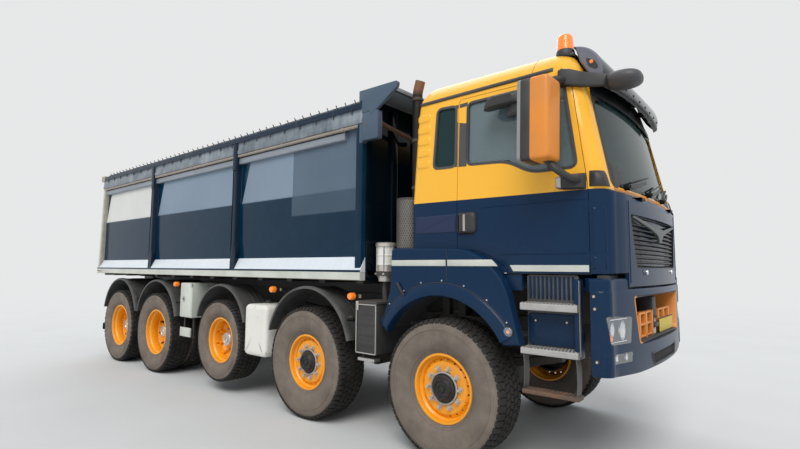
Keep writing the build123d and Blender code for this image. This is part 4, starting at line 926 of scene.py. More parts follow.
# Cab: rows of height, rear, half width, corner start, corner end x and y, front
print("cab")
cab = {
    "rows": [(1.600, -0.420, 1.120, 1.285, 1.385, 0.990, 1.445), (2.240, -0.420, 1.120, 1.285, 1.382, 0.980, 1.437),
             (3.080, -0.385, 1.082, 1.090, 1.205, 0.940, 1.275), (3.260, -0.370, 1.050, 1.040, 1.150, 0.900, 1.215),
             (3.400, -0.310, 0.930, 0.950, 1.060, 0.780, 1.120), (3.475, -0.180, 0.720, 0.760, 0.880, 0.560, 0.930)],
    "wall": 0.050, "rearRound": 0.05, "gap": 0.0055,
    "window": [(0.205, 2.562), (0.590, 2.542), (0.805, 2.420), (1.160, 2.420), (1.062, 3.112), (0.205, 3.112)],
    "quarter": [(-0.160, 2.570), (0.062, 2.562), (0.062, 3.112), (-0.130, 3.122)],
    "screen": [(-0.960, 2.262), (0.960, 2.262), (0.905, 3.072), (-0.905, 3.072)],
}


def threeArc(p, m, q, n):
    (ax, ay), (bx, by), (cx, cy) = p, m, q
    d = 2 * (ax * (by - cy) + bx * (cy - ay) + cx * (ay - by))
    ux = ((ax ** 2 + ay ** 2) * (by - cy) + (bx ** 2 + by ** 2) * (cy - ay) + (cx ** 2 + cy ** 2) * (ay - by)) / d
    uy = ((ax ** 2 + ay ** 2) * (cx - bx) + (bx ** 2 + by ** 2) * (ax - cx) + (cx ** 2 + cy ** 2) * (bx - ax)) / d
    r = hypot(ax - ux, ay - uy)
    turns = [atan2(ay - uy, ax - ux)]
    for x, y in (m, q):
        a = atan2(y - uy, x - ux)
        turns.append(a - 2 * pi * round((a - turns[-1]) / (2 * pi)))
    return [(ux + r * cos(mix(turns[0], turns[2], i / n)), uy + r * sin(mix(turns[0], turns[2], i / n)))
            for i in range(n + 1)]


def cabRow(z):
    rows = cab["rows"]
    if z > rows[2][0]:
        return [between([(row[0], row[k]) for row in rows], z) for k in range(1, 7)]
    low, high = (rows[0], rows[1]) if z <= rows[1][0] else (rows[1], rows[2])
    return [mix(low[k], high[k], (z - low[0]) / (high[0] - low[0])) for k in range(1, 7)]


def cabRing(z, inset=0.0):
    # Left half from the middle of the rear wall to the middle of the front
    rear, half, corner, sideX, sideY, front = cabRow(z)
    rear, half, corner, sideX, sideY, front = (rear + inset, half - inset, corner - inset * 0.6, sideX - inset,
                                               sideY - inset * 0.6, front - inset)
    r = cab["rearRound"]
    ring = [(rear, half * i / 4) for i in range(4)]
    ring += [(rear + r * (1 - cos(pi * i / 10)), half - r * (1 - sin(pi * i / 10))) for i in range(6)]
    ring += [(mix(rear + r, corner, i / 14), half) for i in range(1, 14)]
    ring += threeArc((corner, half), (mix(corner, sideX, 0.72), mix(sideY, half, 0.72)), (sideX, sideY), 9)
    return ring + threeArc((sideX, sideY), (front, 0), (sideX, -sideY), 28)[1:15]


def cabSide(x, z, inset=0.0):
    ring = cabRing(z, inset)[9:]
    for (x0, y0), (x1, y1) in zip(ring, ring[1:]):
        if x <= x1:
            return mix(y0, y1, max(0, (x - x0) / (x1 - x0)))
    return ring[-1][1]


def cabFront(y, z, inset=0.0):
    ring = cabRing(z, inset)[22:]
    for (x0, y0), (x1, y1) in zip(ring, ring[1:]):
        if y1 <= abs(y) <= y0:
            return mix(x1, x0, (abs(y) - y1) / (y0 - y1))
    return cabRow(z)[5] - inset


def cabHull(name, inset, low, high, finishes=""):
    levels = [low, 1.75, 1.9, 2.05, 2.15, 2.24, 2.35, 2.5, 2.65, 2.8, 2.95, 3.08, 3.14, 3.2, 3.26, 3.3, 3.34, 3.375,
              3.405, 3.43, 3.452]
    levels = [z for z in levels if z < high - 0.004] + [high]
    hull = Piece(name, None, finishes)
    rings = []
    for z in levels:
        ring = cabRing(z, inset)
        rings.append([(x, y, z) for x, y in ring] + [(x, -y, z) for x, y in reversed(ring[1:-1])])
    hull.skin(rings, closeU=True)
    hull.ends(rings)
    hull.weld(1e-5)
    return hull


def grow(points, g):
    # Outline moved outwards by g along its corners
    if not g:
        return points
    n = len(points)
    area = sum(points[i - 1][0] * points[i][1] - points[i][0] * points[i - 1][1] for i in range(n))
    way = 1 if area > 0 else -1
    out = []
    for i in range(n):
        a, b, c = (Vector(points[(i + k) % n]) for k in (-1, 0, 1))
        u, v = (b - a).normalized(), (c - b).normalized()
        nu, nv = Vector((u.y, -u.x)) * way, Vector((v.y, -v.x)) * way
        m = nu + nv
        out.append(tuple(b + m * (g / max(0.3, m.dot(nu)))))
    return out


doorEdge = ([(0.100, 3.170), (0.100, 1.800), (0.150, 1.800)]
            + threeArc((0.150, 1.800), (0.428, 1.7415), (0.590, 1.623), 12)[1:]
            + [(0.590, 1.600), (1.252, 1.600), (1.252, 2.240), (1.118, 3.170)])


def trimCorners(points, sizes):
    return roundOutline(points, [sizes.get(i, 0) for i in range(len(points))], 4)


n = len(doorEdge)
doorOutline = trimCorners(doorEdge, {0: 0.035, n - 1: 0.05, n - 2: 0.10})
windowOutline = roundOutline(cab["window"], [0.045, 0.10, 0.09, 0.05, 0.05, 0.04], 5)
quarterOutline = roundOutline(cab["quarter"], 0.04, 5)
screenOutline = roundOutline(cab["screen"], 0.07, 5)
rearOutline = roundRect(-0.48, 2.56, 0.48, 3.02, 0.06, 5)


def sideTool(outline, side):
    return cutter(outline, "y", side * 0.92, side * 1.35)


shell = cabHull("cabBody", 0.0, 1.600, 3.475, "cab rubber").done(smooth=180)
tools = [cabHull("cutter", cab["wall"], 1.650, 3.425).done(), cutter(screenOutline, "x", 0.9, 1.6),
         cutter(rearOutline, "x", -0.55, -0.25)]
for side in (-1, 1):
    tools += [sideTool(grow(doorOutline, cab["gap"]), side), sideTool(quarterOutline, side)]
carve(shell, tools)
shadeByAngle(shell.data, 35)
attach(shell, "chassis")
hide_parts("cab_shell")


def loopsOnSide(piece, outline, steps, side, mat=0, cap=True):
    # Rings that follow an outline on the cab's side: each step is how far in it lies, and how proud of the skin
    rows = []
    for inward, rise in steps:
        ring = grow(outline, -inward)
        rows.append([(x, side * (cabSide(x, z) + rise), z) for x, z in ring])
    piece.skin(rows, mat, closeU=True, flip=side < 0)
    if cap:
        piece.cap(rows[-1], mat)


def cornerPath(z, out, start, reach, count):
    # Points round the cab's front corner from x = start, evenly spaced over the length reach
    ring = cabRing(z, -out)[18:]
    k = next(i for i in range(len(ring) - 1) if ring[i + 1][0] > start)
    t = (start - ring[k][0]) / (ring[k + 1][0] - ring[k][0])
    here = Vector((start, mix(ring[k][1], ring[k + 1][1], t)))
    points, step = [tuple(here)], reach / (count - 1)
    left = step
    while len(points) < count:
        ahead = Vector(ring[k + 1]) - here
        if ahead.length < left:
            left -= ahead.length
            k += 1
            here = Vector(ring[k])
        else:
            here = here + ahead.normalized() * left
            points.append(tuple(here))
            left = step
    return points


def softPad(piece, outline, rise, side, mat=0, soft=0.02):
    loopsOnSide(piece, outline, [(0, -0.002), (soft * 0.25, rise * 0.35), (soft * 0.6, rise * 0.85), (soft, rise)],
                side, mat)


trims = {
    "ribs": [3.116, 3.002, 2.890, 2.776, 2.664], "ribHeight": 0.094, "ribX": (-0.372, -0.212), "frame": 0.024,
    "quarterPanel": (-0.372, 1.952, 0.082, 2.118),
    "facets": [(1.272, 1.75, 1.372, 2.092, 0.015), (1.272, 1.632, 1.372, 1.728, 0.012)],
    "fairingX": 1.264,  # fairing: height, step out, length
    "fairing": [(2.2445, 0.002, 0.175), (2.247, 0.020, 0.175), (2.262, 0.030, 0.172), (2.300, 0.034, 0.160),
                (2.335, 0.031, 0.145), (2.356, 0.020, 0.130), (2.366, 0.002, 0.118)],
    "cornerY": (0.840, 1.075),  # corner: height, share of the step out
    "corner": [(1.602, 0.0), (1.606, 0.8), (1.616, 1.0), (1.70, 1.0), (1.80, 1.0), (1.90, 1.0), (2.00, 1.0),
               (2.10, 1.0), (2.200, 1.0), (2.214, 0.85), (2.222, 0.0)],
    "header": [(3.020, 1.02, 0.001), (3.022, 1.018, 0.009), (3.08, 1.015, 0.010), (3.14, 1.0, 0.010),
               (3.20, 0.985, 0.010), (3.26, 0.965, 0.010), (3.30, 0.945, 0.010), (3.34, 0.92, 0.010),
               (3.375, 0.885, 0.009), (3.380, 0.880, 0.001)],
}
cabTrim = Piece("cabTrim", "chassis", "cab rubber grey plastic white gloss", "navy")
for side in (-1, 1):
    for top in trims["ribs"]:
        x0, x1 = trims["ribX"]
        rib = roundRect(x0, top - trims["ribHeight"], x1, top, 0.0455, 7)
        softPad(cabTrim, rib, 0.0085, side, 0, 0.026)
    # Quarter window frame and the dark band up to the door
    loopsOnSide(cabTrim, grow(quarterOutline, trims["frame"]),
                [(0, -0.002), (0.002, 0.003), (trims["frame"], 0.003), (trims["frame"] + 0.004, -0.022)],
                side, 2, cap=False)
    loopsOnSide(cabTrim, [(0.060, 2.548), (0.0935, 2.546), (0.0935, 3.128), (0.060, 3.130)],
                [(0, -0.002), (0.001, 0.0032)], side, 2)
    # Recessed-looking panel and lines on the rear quarter
    softPad(cabTrim, roundRect(*trims["quarterPanel"], 0.012, 3), 0.0045, side, 0, 0.012)
    # Rubber round the doorway
    ringOut = grow(doorOutline, cab["gap"])
    loopsOnSide(cabTrim, ringOut, [(-0.001, -0.012), (0.016, -0.014), (0.018, -0.026)], side, 1, cap=False)
    # Facet on the corner panel with a line below it
    for facet in trims["facets"]:
        loopsOnSide(cabTrim, roundRect(*facet, 3), [(0, -0.002), (0.006, 0.004), (0.014, 0.005)], side, 0)
    # Dark fairing round the pillar's foot, in line with the mirror's own foot
    rows = []
    hingeX, last = trims["fairingX"], 13
    for z, out, reach in trims["fairing"]:
        base, outer = cornerPath(z, 0.0, hingeX, reach, last + 1), cornerPath(z, out, hingeX, reach, last + 1)
        row = []
        for k, (p, q) in enumerate(zip(base, outer)):
            # Low beside the hinge, so that the mirror's foot swings past
            swell = min(1, (last - k) / 4) ** 0.6 * min(1, 0.12 + 0.20 * k)
            row.append((mix(p[0], q[0], swell), side * mix(p[1], q[1], swell), z))
        rows.append(row)
    cabTrim.skin(rows, 3, flip=side > 0)
    edge = [row[0] for row in rows]
    cabTrim.skin([edge, [(hingeX, side * (cabSide(hingeX, z) - 0.002), z) for x, y, z in edge]], 3, flip=side > 0)
    # Corner panel, flush with the front flap's edge, with a shallow inset field
    rows = []
    for z, lift in trims["corner"]:
        row = []
        for k in range(15):
            y = mix(*trims["cornerY"], k / 14)
            ease = 1 - (k / 14) ** 1.5
            proud = max(0.0, 1.4405 - cabFront(0.84, z)) * ease * lift + (0.003 if k < 14 else -0.002)
            row.append((cabFront(y, z) + proud, side * y, z))
        rows.append(row)
    cabTrim.skin(rows, 0, flip=side < 0)
    edge = [row[0] for row in rows]
    cabTrim.skin([edge, [(1.392, side * trims["cornerY"][0], z) for x, y, z in edge]], 0, flip=side > 0)
    # Closing block between the fender's corner, the door and the step box
    cabTrim.block(0.46, 0.70, side * 0.90, side * 1.100, 1.46, 1.5945, 0, 0.003)
# Windscreen: rubber and the printed black border, deep at the top and above the scuttle
inner = roundOutline([(-0.925, 2.435), (0.925, 2.435), (0.882, 2.985), (-0.882, 2.985)], 0.06, 5)
rings = [(grow(screenOutline, g), rise) for g, rise in ((0.012, 0.003), (0.002, 0.004),
                                                        (-0.012, 0.0035))] + [(inner, 0.003)]
rows = [[(cabFront(y, z) + rise, y, z) for y, z in ring] for ring, rise in rings]
cabTrim.skin(rows[:3], 1, closeU=True)
cabTrim.skin(rows[2:], 5, closeU=True)
# Black header from the windscreen up to the roof's edge, behind the visor
ys = [0.895 * (2 * k / 26 - 1) for k in range(27)]
header = [[(cabFront(y * w, z) + rise, y * w, z) for y in ys] for z, w, rise in trims["header"]]
cabTrim.skin(header, 5, flip=True)
cabTrim.skin([[row[k] for row in header] for k in (0, -1)], 5)
# Rear window rubber
ring = grow(rearOutline, 0.018)
rows = [[(cabRow(z)[0] - rise, y, z) for y, z in grow(ring, -inward)]
        for inward, rise in ((0, -0.002), (0.003, 0.006), (0.018, 0.006), (0.022, -0.02))]
cabTrim.skin(rows, 1, closeU=True, flip=True)
cabTrim.done(smooth=40)

# Roof seam near the front, as a dark joint that goes over the roof
seam = Piece("roofSeam", "chassis", "rubber", "yellow")
rows = []
for z in [3.255 + 0.01 * i for i in range(21)] + [3.466, 3.4735]:
    side = cabSide(0.80, min(z, 3.4735))
    rows.append([(x, side + 0.0004, z + 0.0004) for x in (0.7985, 0.8015)])
seam.skin(rows, 0)
seam.mirror()
seam.done()

# Doors
handle = {"x": (0.108, 0.298), "z": (1.932, 2.128)}
hinge = {"x": 1.2585, "y": 1.114, "z": (1.700, 2.080), "high": 0.046, "r": 0.0085}
for word, side in (("right", -1), ("left", 1)):
    body = f"{word}_door"
    panel = cabHull(f"doorPanel{word.title()}", 0.0, 1.600, 3.475, "cab grey").done(smooth=180)
    carve(panel, [sideTool(doorOutline, side)], "INTERSECT")
    carve(panel, [cabHull("cutter", cab["wall"], 1.500, 3.425).done(), sideTool(windowOutline, side)])
    shadeByAngle(panel.data, 35)
    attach(panel, body)
    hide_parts(f"door_{word}")
    trim = Piece(f"doorTrim{word.title()}", body, "cab rubber grey plastic white stainless", "black_plastic")
    f = trims["frame"]
    loopsOnSide(trim, grow(windowOutline, f), [(0, -0.002), (0.002, 0.003), (f * 0.55, 0.0035), (f * 0.6, 0.006),
                                               (f, 0.006), (f + 0.005, -0.022)], side, 2, cap=False)
    loopsOnSide(trim, [(0.1055, 2.544), (0.190, 2.540), (0.190, 3.134), (0.1055, 3.130)],
                [(0, -0.002), (0.001, 0.0032)], side, 2)
    loopsOnSide(trim, roundRect(0.184, 2.60, 0.199, 3.08, 0.005, 2), [(0, 0.003), (0.002, 0.008), (0.005, 0.009)],
                side, 3)
    # White strip along the foot, its rear end cut on the slant
    loopsOnSide(trim, [(0.636, 1.613), (1.246, 1.613), (1.246, 1.664), (0.606, 1.664)],
                [(0, -0.001), (0.001, 0.0022)], side, 4)
    # Press lines: one low across the door, one along the waist
    for low, high, a, b in ((1.745, 1.758, 0.50, 1.243), (2.150, 2.162, 0.33, 1.243)):
        loopsOnSide(trim, roundRect(a, low, b, high, 0.004, 2), [(0, -0.002), (0.004, 0.0035)], side, 0)
    # Handle: rounded housing, dark cup and the bright grip
    (hx0, hx1), (hz0, hz1) = handle["x"], handle["z"]
    loopsOnSide(trim, roundRect(hx0, hz0, hx1, hz1, [0.02, 0.05, 0.05, 0.02], 5),
                [(0, -0.002), (0.002, 0.012), (0.014, 0.030), (0.030, 0.036)], side, 3)
    cup = roundRect(hx0 + 0.012, hz0 + 0.024, hx0 + 0.100, hz1 - 0.024, 0.012, 3)
    loopsOnSide(trim, cup, [(0, 0.0345), (0.003, 0.0385), (0.006, 0.0365), (0.010, 0.022)], side, 1)
    grip = roundRect(hx0 + 0.070, hz0 + 0.020, hx0 + 0.098, hz1 - 0.020, 0.01, 3)
    loopsOnSide(trim, grip, [(0, 0.030), (0.003, 0.043), (0.008, 0.047)], side, 5)
    # Lock below the handle and hinge leaves at the front edge
    loopsOnSide(trim, roundRect(hx0 + 0.035, hz0 + 0.030, hx0 + 0.058, hz0 + 0.052, 0.009, 4),
                [(0, 0.020), (0.002, 0.030), (0.005, 0.031)], side, 5)
    for z in hinge["z"]:
        x, y, top = hinge["x"], side * hinge["y"], z + hinge["high"]
        trim.block(1.212, 1.250, y, side * 1.1215, z, top, 0, 0.003)
        trim.rod((x, y, z), (x, y, top), hinge["r"], 0, 12)
    # Grip bar and panel inside
    trim.block(0.25, 1.12, side * 1.045, side * 1.068, 1.75, 2.36, 3, 0.012)
    trim.tube([(1.10, side * 1.05, 2.46), (1.10, side * 1.01, 2.46), (1.06, side * 1.01, 2.62),
               (1.06, side * 1.05, 2.62)], 0.012, 3, 8, 0.03)
    trim.done(smooth=40)
hinges = Piece("doorHingePosts", "chassis", "plastic cab", "black_plastic")
for z in hinge["z"]:
    for low, high in ((z - 0.018, z - 0.004), (z + 0.050, z + 0.064)):
        hinges.block(1.264, 1.296, -1.1205, -1.112, low, high, 1, 0.002)
        hinges.rod((hinge["x"], -hinge["y"], low), (hinge["x"], -hinge["y"], high), hinge["r"], 1, 12)
for y in (-0.52, 0.52):
    for off in (-0.038, 0.038):
        hinges.block(1.42, 1.488, y + off - 0.007, y + off + 0.007, 2.186, 2.210, 0, 0.002)
hinges.mirror()
hinges.done()

# Front flap: bowed panel with the grille, its slats and a winged trim
print("front")
flap = {"front": 1.488, "half": 0.830, "sag": 0.045, "low": 1.500, "high": 2.188, "thick": 0.030,
        "grille": [(-0.665, 1.645), (0.665, 1.645), (0.765, 2.060), (-0.765, 2.060)],
        "slats": 9, "slatZ": (1.690, 1.985), "slat": ((-0.026, 0.010), (-0.013, 0.007), (-0.010, 0.002),
                                                      (-0.013, -0.005), (-0.026, -0.009))}


def bow(front, sag, half, y):
    return front - sag * (y / half) ** 2


def flapX(y, out=0.0):
    return bow(flap["front"] + out, flap["sag"], flap["half"], y)


def bowedPanel(name, half, low, high, thick, front, sag, soft, finishes, body="chassis", steps=24):
    # Curved sheet with rounded rims, thick towards the rear
    piece = Piece(name, body, finishes)
    rows = []
    for z, x in ((low, -thick), (low, -soft), (low + soft * 0.3, -soft * 0.3), (low + soft, 0), (high - soft, 0),
                 (high - soft * 0.3, -soft * 0.3), (high, -soft), (high, -thick)):
        rows.append([(bow(front, sag, half, half * (2 * i / steps - 1)) + x, half * (2 * i / steps - 1), z)
                     for i in range(steps + 1)])
    piece.skin(rows + [rows[0]], 0)
    piece.ends(list(zip(*rows)))
    piece.weld(1e-5)
    return piece


grilleOutline = roundOutline(flap["grille"], 0.03, 4)
panel = bowedPanel("frontFlap", flap["half"], flap["low"], flap["high"], flap["thick"], flap["front"], flap["sag"],
                   0.010, "cab", "front_flap")
panel = panel.done(smooth=180, cut=[cutter(grilleOutline, "x", 1.3, 1.6)], replaces=["front_flap"])
shadeByAngle(panel.data, 35)
grilleParts = Piece("frontGrille", "front_flap", "grey plastic wing clear reflector cab gloss", "black_plastic")


def flapLoops(outline, steps, mat, cap=True):
    rows = [[(flapX(y, out), y, z) for y, z in grow(outline, -inward)] for inward, out in steps]
    grilleParts.skin(rows, mat, closeU=True)
    if cap:
        grilleParts.cap(rows[-1], mat)


flapLoops(grilleOutline, [(0.002, -0.002), (0.008, -0.006), (0.016, -0.018), (0.020, -0.026)], 6)
for k in range(flap["slats"]):
    z = mix(*flap["slatZ"], k / (flap["slats"] - 1))
    half = mix(0.665, 0.765, (z - 1.645) / 0.415) - 0.022
    ys = [half * (2 * i / 16 - 1) for i in range(17)]
    grilleParts.skin([[(flapX(y, out), y, z + dz) for y in ys] for out, dz in flap["slat"]], 6, flip=True)
# Winged trim: long blades that meet in a low middle
half = [(0.700, 2.052), (0.725, 2.036), (0.30, 1.968), (0.115, 1.930), (0.062, 1.905), (0.038, 1.862)]
wing = [(-y, z) for y, z in half] + [(y, z) for y, z in reversed(half)] + [(0.42, 2.022), (0.16, 1.985),
                                                                           (0.05, 1.990), (-0.05, 1.990),
                                                                           (-0.16, 1.985), (-0.42, 2.022)]
flapLoops(wing, [(0, -0.016), (0.001, 0.002), (0.006, 0.007)], 2)
# Strip with two small round lights below the grille
flapLoops(roundOutline([(-0.530, 1.586), (0.530, 1.586), (0.548, 1.636), (-0.548, 1.636)], 0.01, 3),
          [(0, -0.002), (0.004, 0.003), (0.010, 0.001)], 1)
for y in (-0.45, 0.45):
    grilleParts.rod((flapX(y) - 0.004, y, 1.611), (flapX(y) + 0.010, y, 1.611), 0.021, 4, 20, 0.003)
    grilleParts.rod((flapX(y) + 0.004, y, 1.611), (flapX(y) + 0.012, y, 1.611), 0.016, 3, 20, 0.003)
# Press lines at the panel's sides and the pull edge at its foot
for y in (-0.800, 0.800):
    rows = [[(flapX(y + dy, out), y + dy, z) for dy, out in ((-0.006, -0.001), (-0.002, 0.004), (0.002, 0.004),
                                                             (0.006, -0.001))] for z in (1.53, 1.75, 2.0, 2.16)]
    grilleParts.skin(rows, 5)
grilleParts.block(1.445, 1.476, -0.30, 0.30, 1.500, 1.512, 1, 0.003)
for y in (-0.52, 0.52):
    grilleParts.rod((1.478, y - 0.025, 2.198), (1.478, y + 0.025, 2.198), 0.012, 1, 14, 0.002)
grilleParts.done(smooth=35)

# Scuttle: orange line below the windscreen, vents and the wipers
scuttle = Piece("scuttleAndWipers", "chassis", "gloss orange rubber grey", "black_plastic")
ys = [0.93 * (2 * i / 30 - 1) for i in range(31)]
scuttle.skin([[(cabFront(y, z) + rise, y, z) for y in ys] for z, rise in ((2.232, 0), (2.234, 0.004), (2.250, 0.004),
                                                                          (2.252, 0))], 1)


def onScreen(y, z, rise=0.0):
    return (cabFront(y, z) + rise, y, z)


wipers = ((-0.72, -0.14), (-0.16, 0.38), (0.36, 0.76))  # Y of the pivot and of the arm's end
for y0, y1 in wipers:
    scuttle.rod(onScreen(y0, 2.275, -0.01), onScreen(y0, 2.275, 0.044), 0.024, 0, 16, 0.004)
    arm = [onScreen(mix(y0, y1, t), mix(2.278, 2.395, t ** 1.3), 0.042 - 0.012 * t)
           for t in (0, 0.12, 0.3, 0.5, 0.7, 0.85)]
    for dz in (-0.006, 0.006):
        scuttle.tube([(x, y, z + dz) for x, y, z in arm], 0.0095, 0, 8, 0.04)
    blade = [onScreen(mix(y0 + 0.08, y1 + 0.08, k / 10), mix(2.318, 2.440, k / 10), 0.016) for k in range(11)]
    for rise, r, mat in ((0.0, 0.0075, 2), (0.011, 0.0060, 0)):
        scuttle.tube([(x + rise, y, z + rise * 0.4) for x, y, z in blade], r, mat, 6)
for k in range(14):
    y = -0.78 + 0.12 * k
    scuttle.skin([[onScreen(y + dy, 2.270, 0.003), onScreen(y + dy, 2.292, 0.006)] for dy in (0, 0.09)], 3)
scuttle.done(smooth=40)

# Bumper
bumper = {"half": 1.200, "rear": 1.272, "corner": (1.400, 1.090), "front": 1.500, "low": 0.850,
          "high": 1.490, "thick": 0.060, "opening": [(-0.670, 1.060), (0.670, 1.060), (0.760, 1.435),
                                                     (-0.760, 1.435)],
          "lamp": [(-1.180, 1.302), (-0.800, 1.282), (-0.830, 1.090), (-1.150, 1.100)],
          "fog": [(-1.120, 1.032), (-0.805, 1.028), (-0.820, 0.955), (-1.095, 0.960)]}


def bumperRing(inset=0.0):
    half = bumper["half"] - inset
    cx, cy = bumper["corner"][0] - inset * 0.7, bumper["corner"][1] - inset * 0.7
    ring = [(bumper["rear"], half), (mix(bumper["rear"], cx - 0.075, 0.5), half)]
    ring += threeArc((cx - 0.075, half), (cx - 0.022, half - 0.026), (cx, cy), 10)
    return ring + threeArc((cx, cy), (bumper["front"] - inset, 0), (cx, -cy), 32)[1:17]


def bumperFoot(y):
    return bumper["low"] + 0.030 * max(0, (abs(y) - 0.7) / 0.56)


def bumperX(y, inset=0.0):
    ring = bumperRing(inset)
    for (x0, y0), (x1, y1) in zip(ring, ring[1:]):
        if y1 <= abs(y) <= y0 and y0 > y1:
            return mix(x1, x0, (abs(y) - y1) / (y0 - y1))
    return ring[0][0]


def bumperLoop(inset, z, foot=False):
    ring = bumperRing(inset)
    ring = ring + [(x, -y) for x, y in reversed(ring[:-1])]
    return [(x, y, bumperFoot(y) + z if foot else z) for x, y in ring]


shell = Piece("bumperShell", "chassis", "navy", "navy")
t = bumper["thick"]
levels = [bumperLoop(t, 0, True), bumperLoop(0.016, 0, True), bumperLoop(0.005, 0.004, True),
          bumperLoop(0, 0.016, True), bumperLoop(0, 1.10), bumperLoop(0, 1.46),
          bumperLoop(0.003, 1.474), bumperLoop(0.010, 1.485), bumperLoop(0.024, 1.490), bumperLoop(t, 1.490)]
shell.skin(levels + [levels[0]], 0)
shell.ends(list(zip(*levels)))
shell.weld(1e-5)
tools = [cutter(roundOutline(bumper["opening"], 0.05, 5), "x", 1.2, 1.6)]
lampOutline = roundOutline(bumper["lamp"], 0.022, 4)
fogOutline = roundOutline(bumper["fog"], [0.03, 0.02, 0.012, 0.02], 4)
for outline in (lampOutline, fogOutline):
    tools += [cutter(outline, "x", 1.2, 1.6), cutter([(-y, z) for y, z in outline], "x", 1.2, 1.6)]
tools.append(cutter(roundOutline([(-0.36, 0.878), (0.36, 0.878), (0.42, 0.965), (-0.42, 0.965)], 0.03, 4),
                    "x", 1.2, 1.6))
shell = shell.done(smooth=180, cut=tools, replaces=["bumper"])
shadeByAngle(shell.data, 35)

coupling = {"x": 1.405, "rod": (0.985, 1.215), "cap": 1.235, "jaws": ((1.135, 1.180), (1.000, 1.040))}
raised = {"from": 0.93, "rows": ((0.005, 1.470), (0.005, 1.540), (0.008, 1.556), (0.018, 1.566), (0.070, 1.568))}
parts = Piece("bumperParts", "chassis", "plastic orange chassis plate nut grey rubber navy", "black_plastic")
# Frame round the opening, in depth: orange at the sides, black plastic along the bottom and along the top, the top as
# painted shade
opening = roundOutline(bumper["opening"], 0.05, 5)
rows = [[(bumperX(y) + x, y, z) for y, z in grow(opening, g)] for g, x in ((-0.001, -0.002), (-0.014, 0.001),
                                                                           (-0.020, -0.010), (-0.020, -0.20))]
per = len(opening) // 4
for start, stop, mat in ((per - 1, per, 0), (per, 3 * per - 1, 1), (3 * per - 1, 3 * per, 0),
                         (3 * per, 5 * per - 1, 1)):
    parts.skin([[row[k % len(row)] for k in range(start, stop + 1)] for row in rows], mat)
parts.skin([[(bumperX(y) - 0.20, y, z) for y, z in grow(opening, -0.02)],
            [(1.250, y, z) for y, z in grow(opening, -0.06)]], 0, closeU=True)
# Coupling: column, jaw, pin and its beam
parts.block(1.310, 1.380, -0.62, 0.62, 0.960, 1.120, 2, 0.008)
parts.block(1.310, 1.420, -0.065, 0.065, 1.120, 1.400, 0, 0.012)
for low, high in coupling["jaws"]:
    parts.block(1.330, 1.440, -0.070, 0.070, low, high, 2, 0.012)
x, (low, high) = coupling["x"], coupling["rod"]
parts.rod((x, 0, low), (x, 0, high), 0.020, 4, 20, 0.004)
parts.rod((x, 0, high), (x, 0, coupling["cap"]), 0.034, 0, 20, 0.004)
# Orange stiffener with its windows behind the plate side
for y0, y1 in ((-0.53, -0.49), (-0.33, -0.29), (-0.13, -0.10), (0.10, 0.13), (0.29, 0.33), (0.49, 0.53)):
    parts.block(1.384, 1.430, y0, y1, 1.075, 1.290, 1, 0.004)
for z in (1.085, 1.180, 1.270):
    for y in (-0.53, 0.11):
        parts.block(1.384, 1.424, y, y + 0.42, z, z + 0.018, 1, 0.003)
# Blank plate in a holder
plate = roundRect(0.075, 1.085, 0.595, 1.195, 0.010, 3)
parts.prism(plate, "x", 1.438, 1.443, 3, 0.001)
parts.prism(grow(plate, 0.008), "x", 1.430, 1.438, 0, 0.002)
# Dark lower lip with its inset vent, and bolts at the corners
vent = roundOutline([(-0.36, 0.878), (0.36, 0.878), (0.42, 0.965), (-0.42, 0.965)], 0.03, 4)
rows = [[(bumperX(y) + x, y, z) for y, z in grow(vent, g)] for g, x in ((0.016, -0.002), (0.008, 0.006),
                                                                        (-0.004, 0.004), (-0.010, -0.05))]
parts.skin(rows, 0, closeU=True)
parts.cap([(bumperX(y) - 0.05, y, z) for y, z in grow(vent, -0.010)], 6)
for k in range(5):
    z = 0.892 + 0.015 * k
    parts.block(1.446, 1.482, -0.36, 0.36, z, z + 0.005, 5, 0.002)
for side in (-1, 1):
    for x, z in ((1.305, 1.352), (1.310, 0.983), (1.300, 1.440)):
        parts.rod((x, side * 1.197, z), (x, side * 1.204, z), 0.017, 6, 20, 0.002)
        parts.rod((x, side * 1.203, z), (x, side * 1.209, z), 0.010, 4, 6, 0.001)
    # Raised corner of the bumper, up to the joint below the corner panel
    corner = [p for p in bumperRing() if p[1] > raised["from"]] + [(bumperX(0.852), 0.852)]
    rows = [[(x - inset * 0.8, side * (y - inset * (y > raised["from"])), z) for x, y in corner]
            for inset, z in raised["rows"]]
    parts.skin(rows, 7, flip=side > 0)
    for end in (0, -1):
        parts.cap([row[end] for row in rows] + [(*rows[-1][end][:2], raised["rows"][0][1])], 7)
    # Dark filler between bumper and cab: a black block standing in for the shade in the gap
    parts.block(1.300, 1.372, side * 0.86, side * 1.13, 1.492, 1.590, 6, 0.01)
# Black filler across the middle, standing in for the shade below the flap
parts.block(1.300, 1.425, -0.86, 0.86, 1.455, 1.500, 6, 0.006)
for y0, y1 in ((-0.425, -0.345), (0.345, 0.425)):
    parts.block(1.250, 1.440, y0, y1, 0.890, 1.050, 2, 0.006)
parts.done(smooth=35)


def bumperLoops(piece, outline, steps, mat, flip=False):
    rows = [[(bumperX(y, 0) - depth, y, z) for y, z in grow(outline, -inward)] for inward, depth in steps]
    piece.skin(rows, mat, closeU=True, flip=flip)
    piece.cap(rows[-1], mat)


lampParts = Piece("frontLamps", "chassis", "grey reflector clear plastic amber", "lamp")
for outline in (lampOutline, fogOutline):
    bumperLoops(lampParts, outline, [(0, 0.004), (0.003, 0.006), (0.006, 0.052)], 0)
    bumperLoops(lampParts, outline, [(0.0005, 0.001), (0.003, 0.0)], 2)


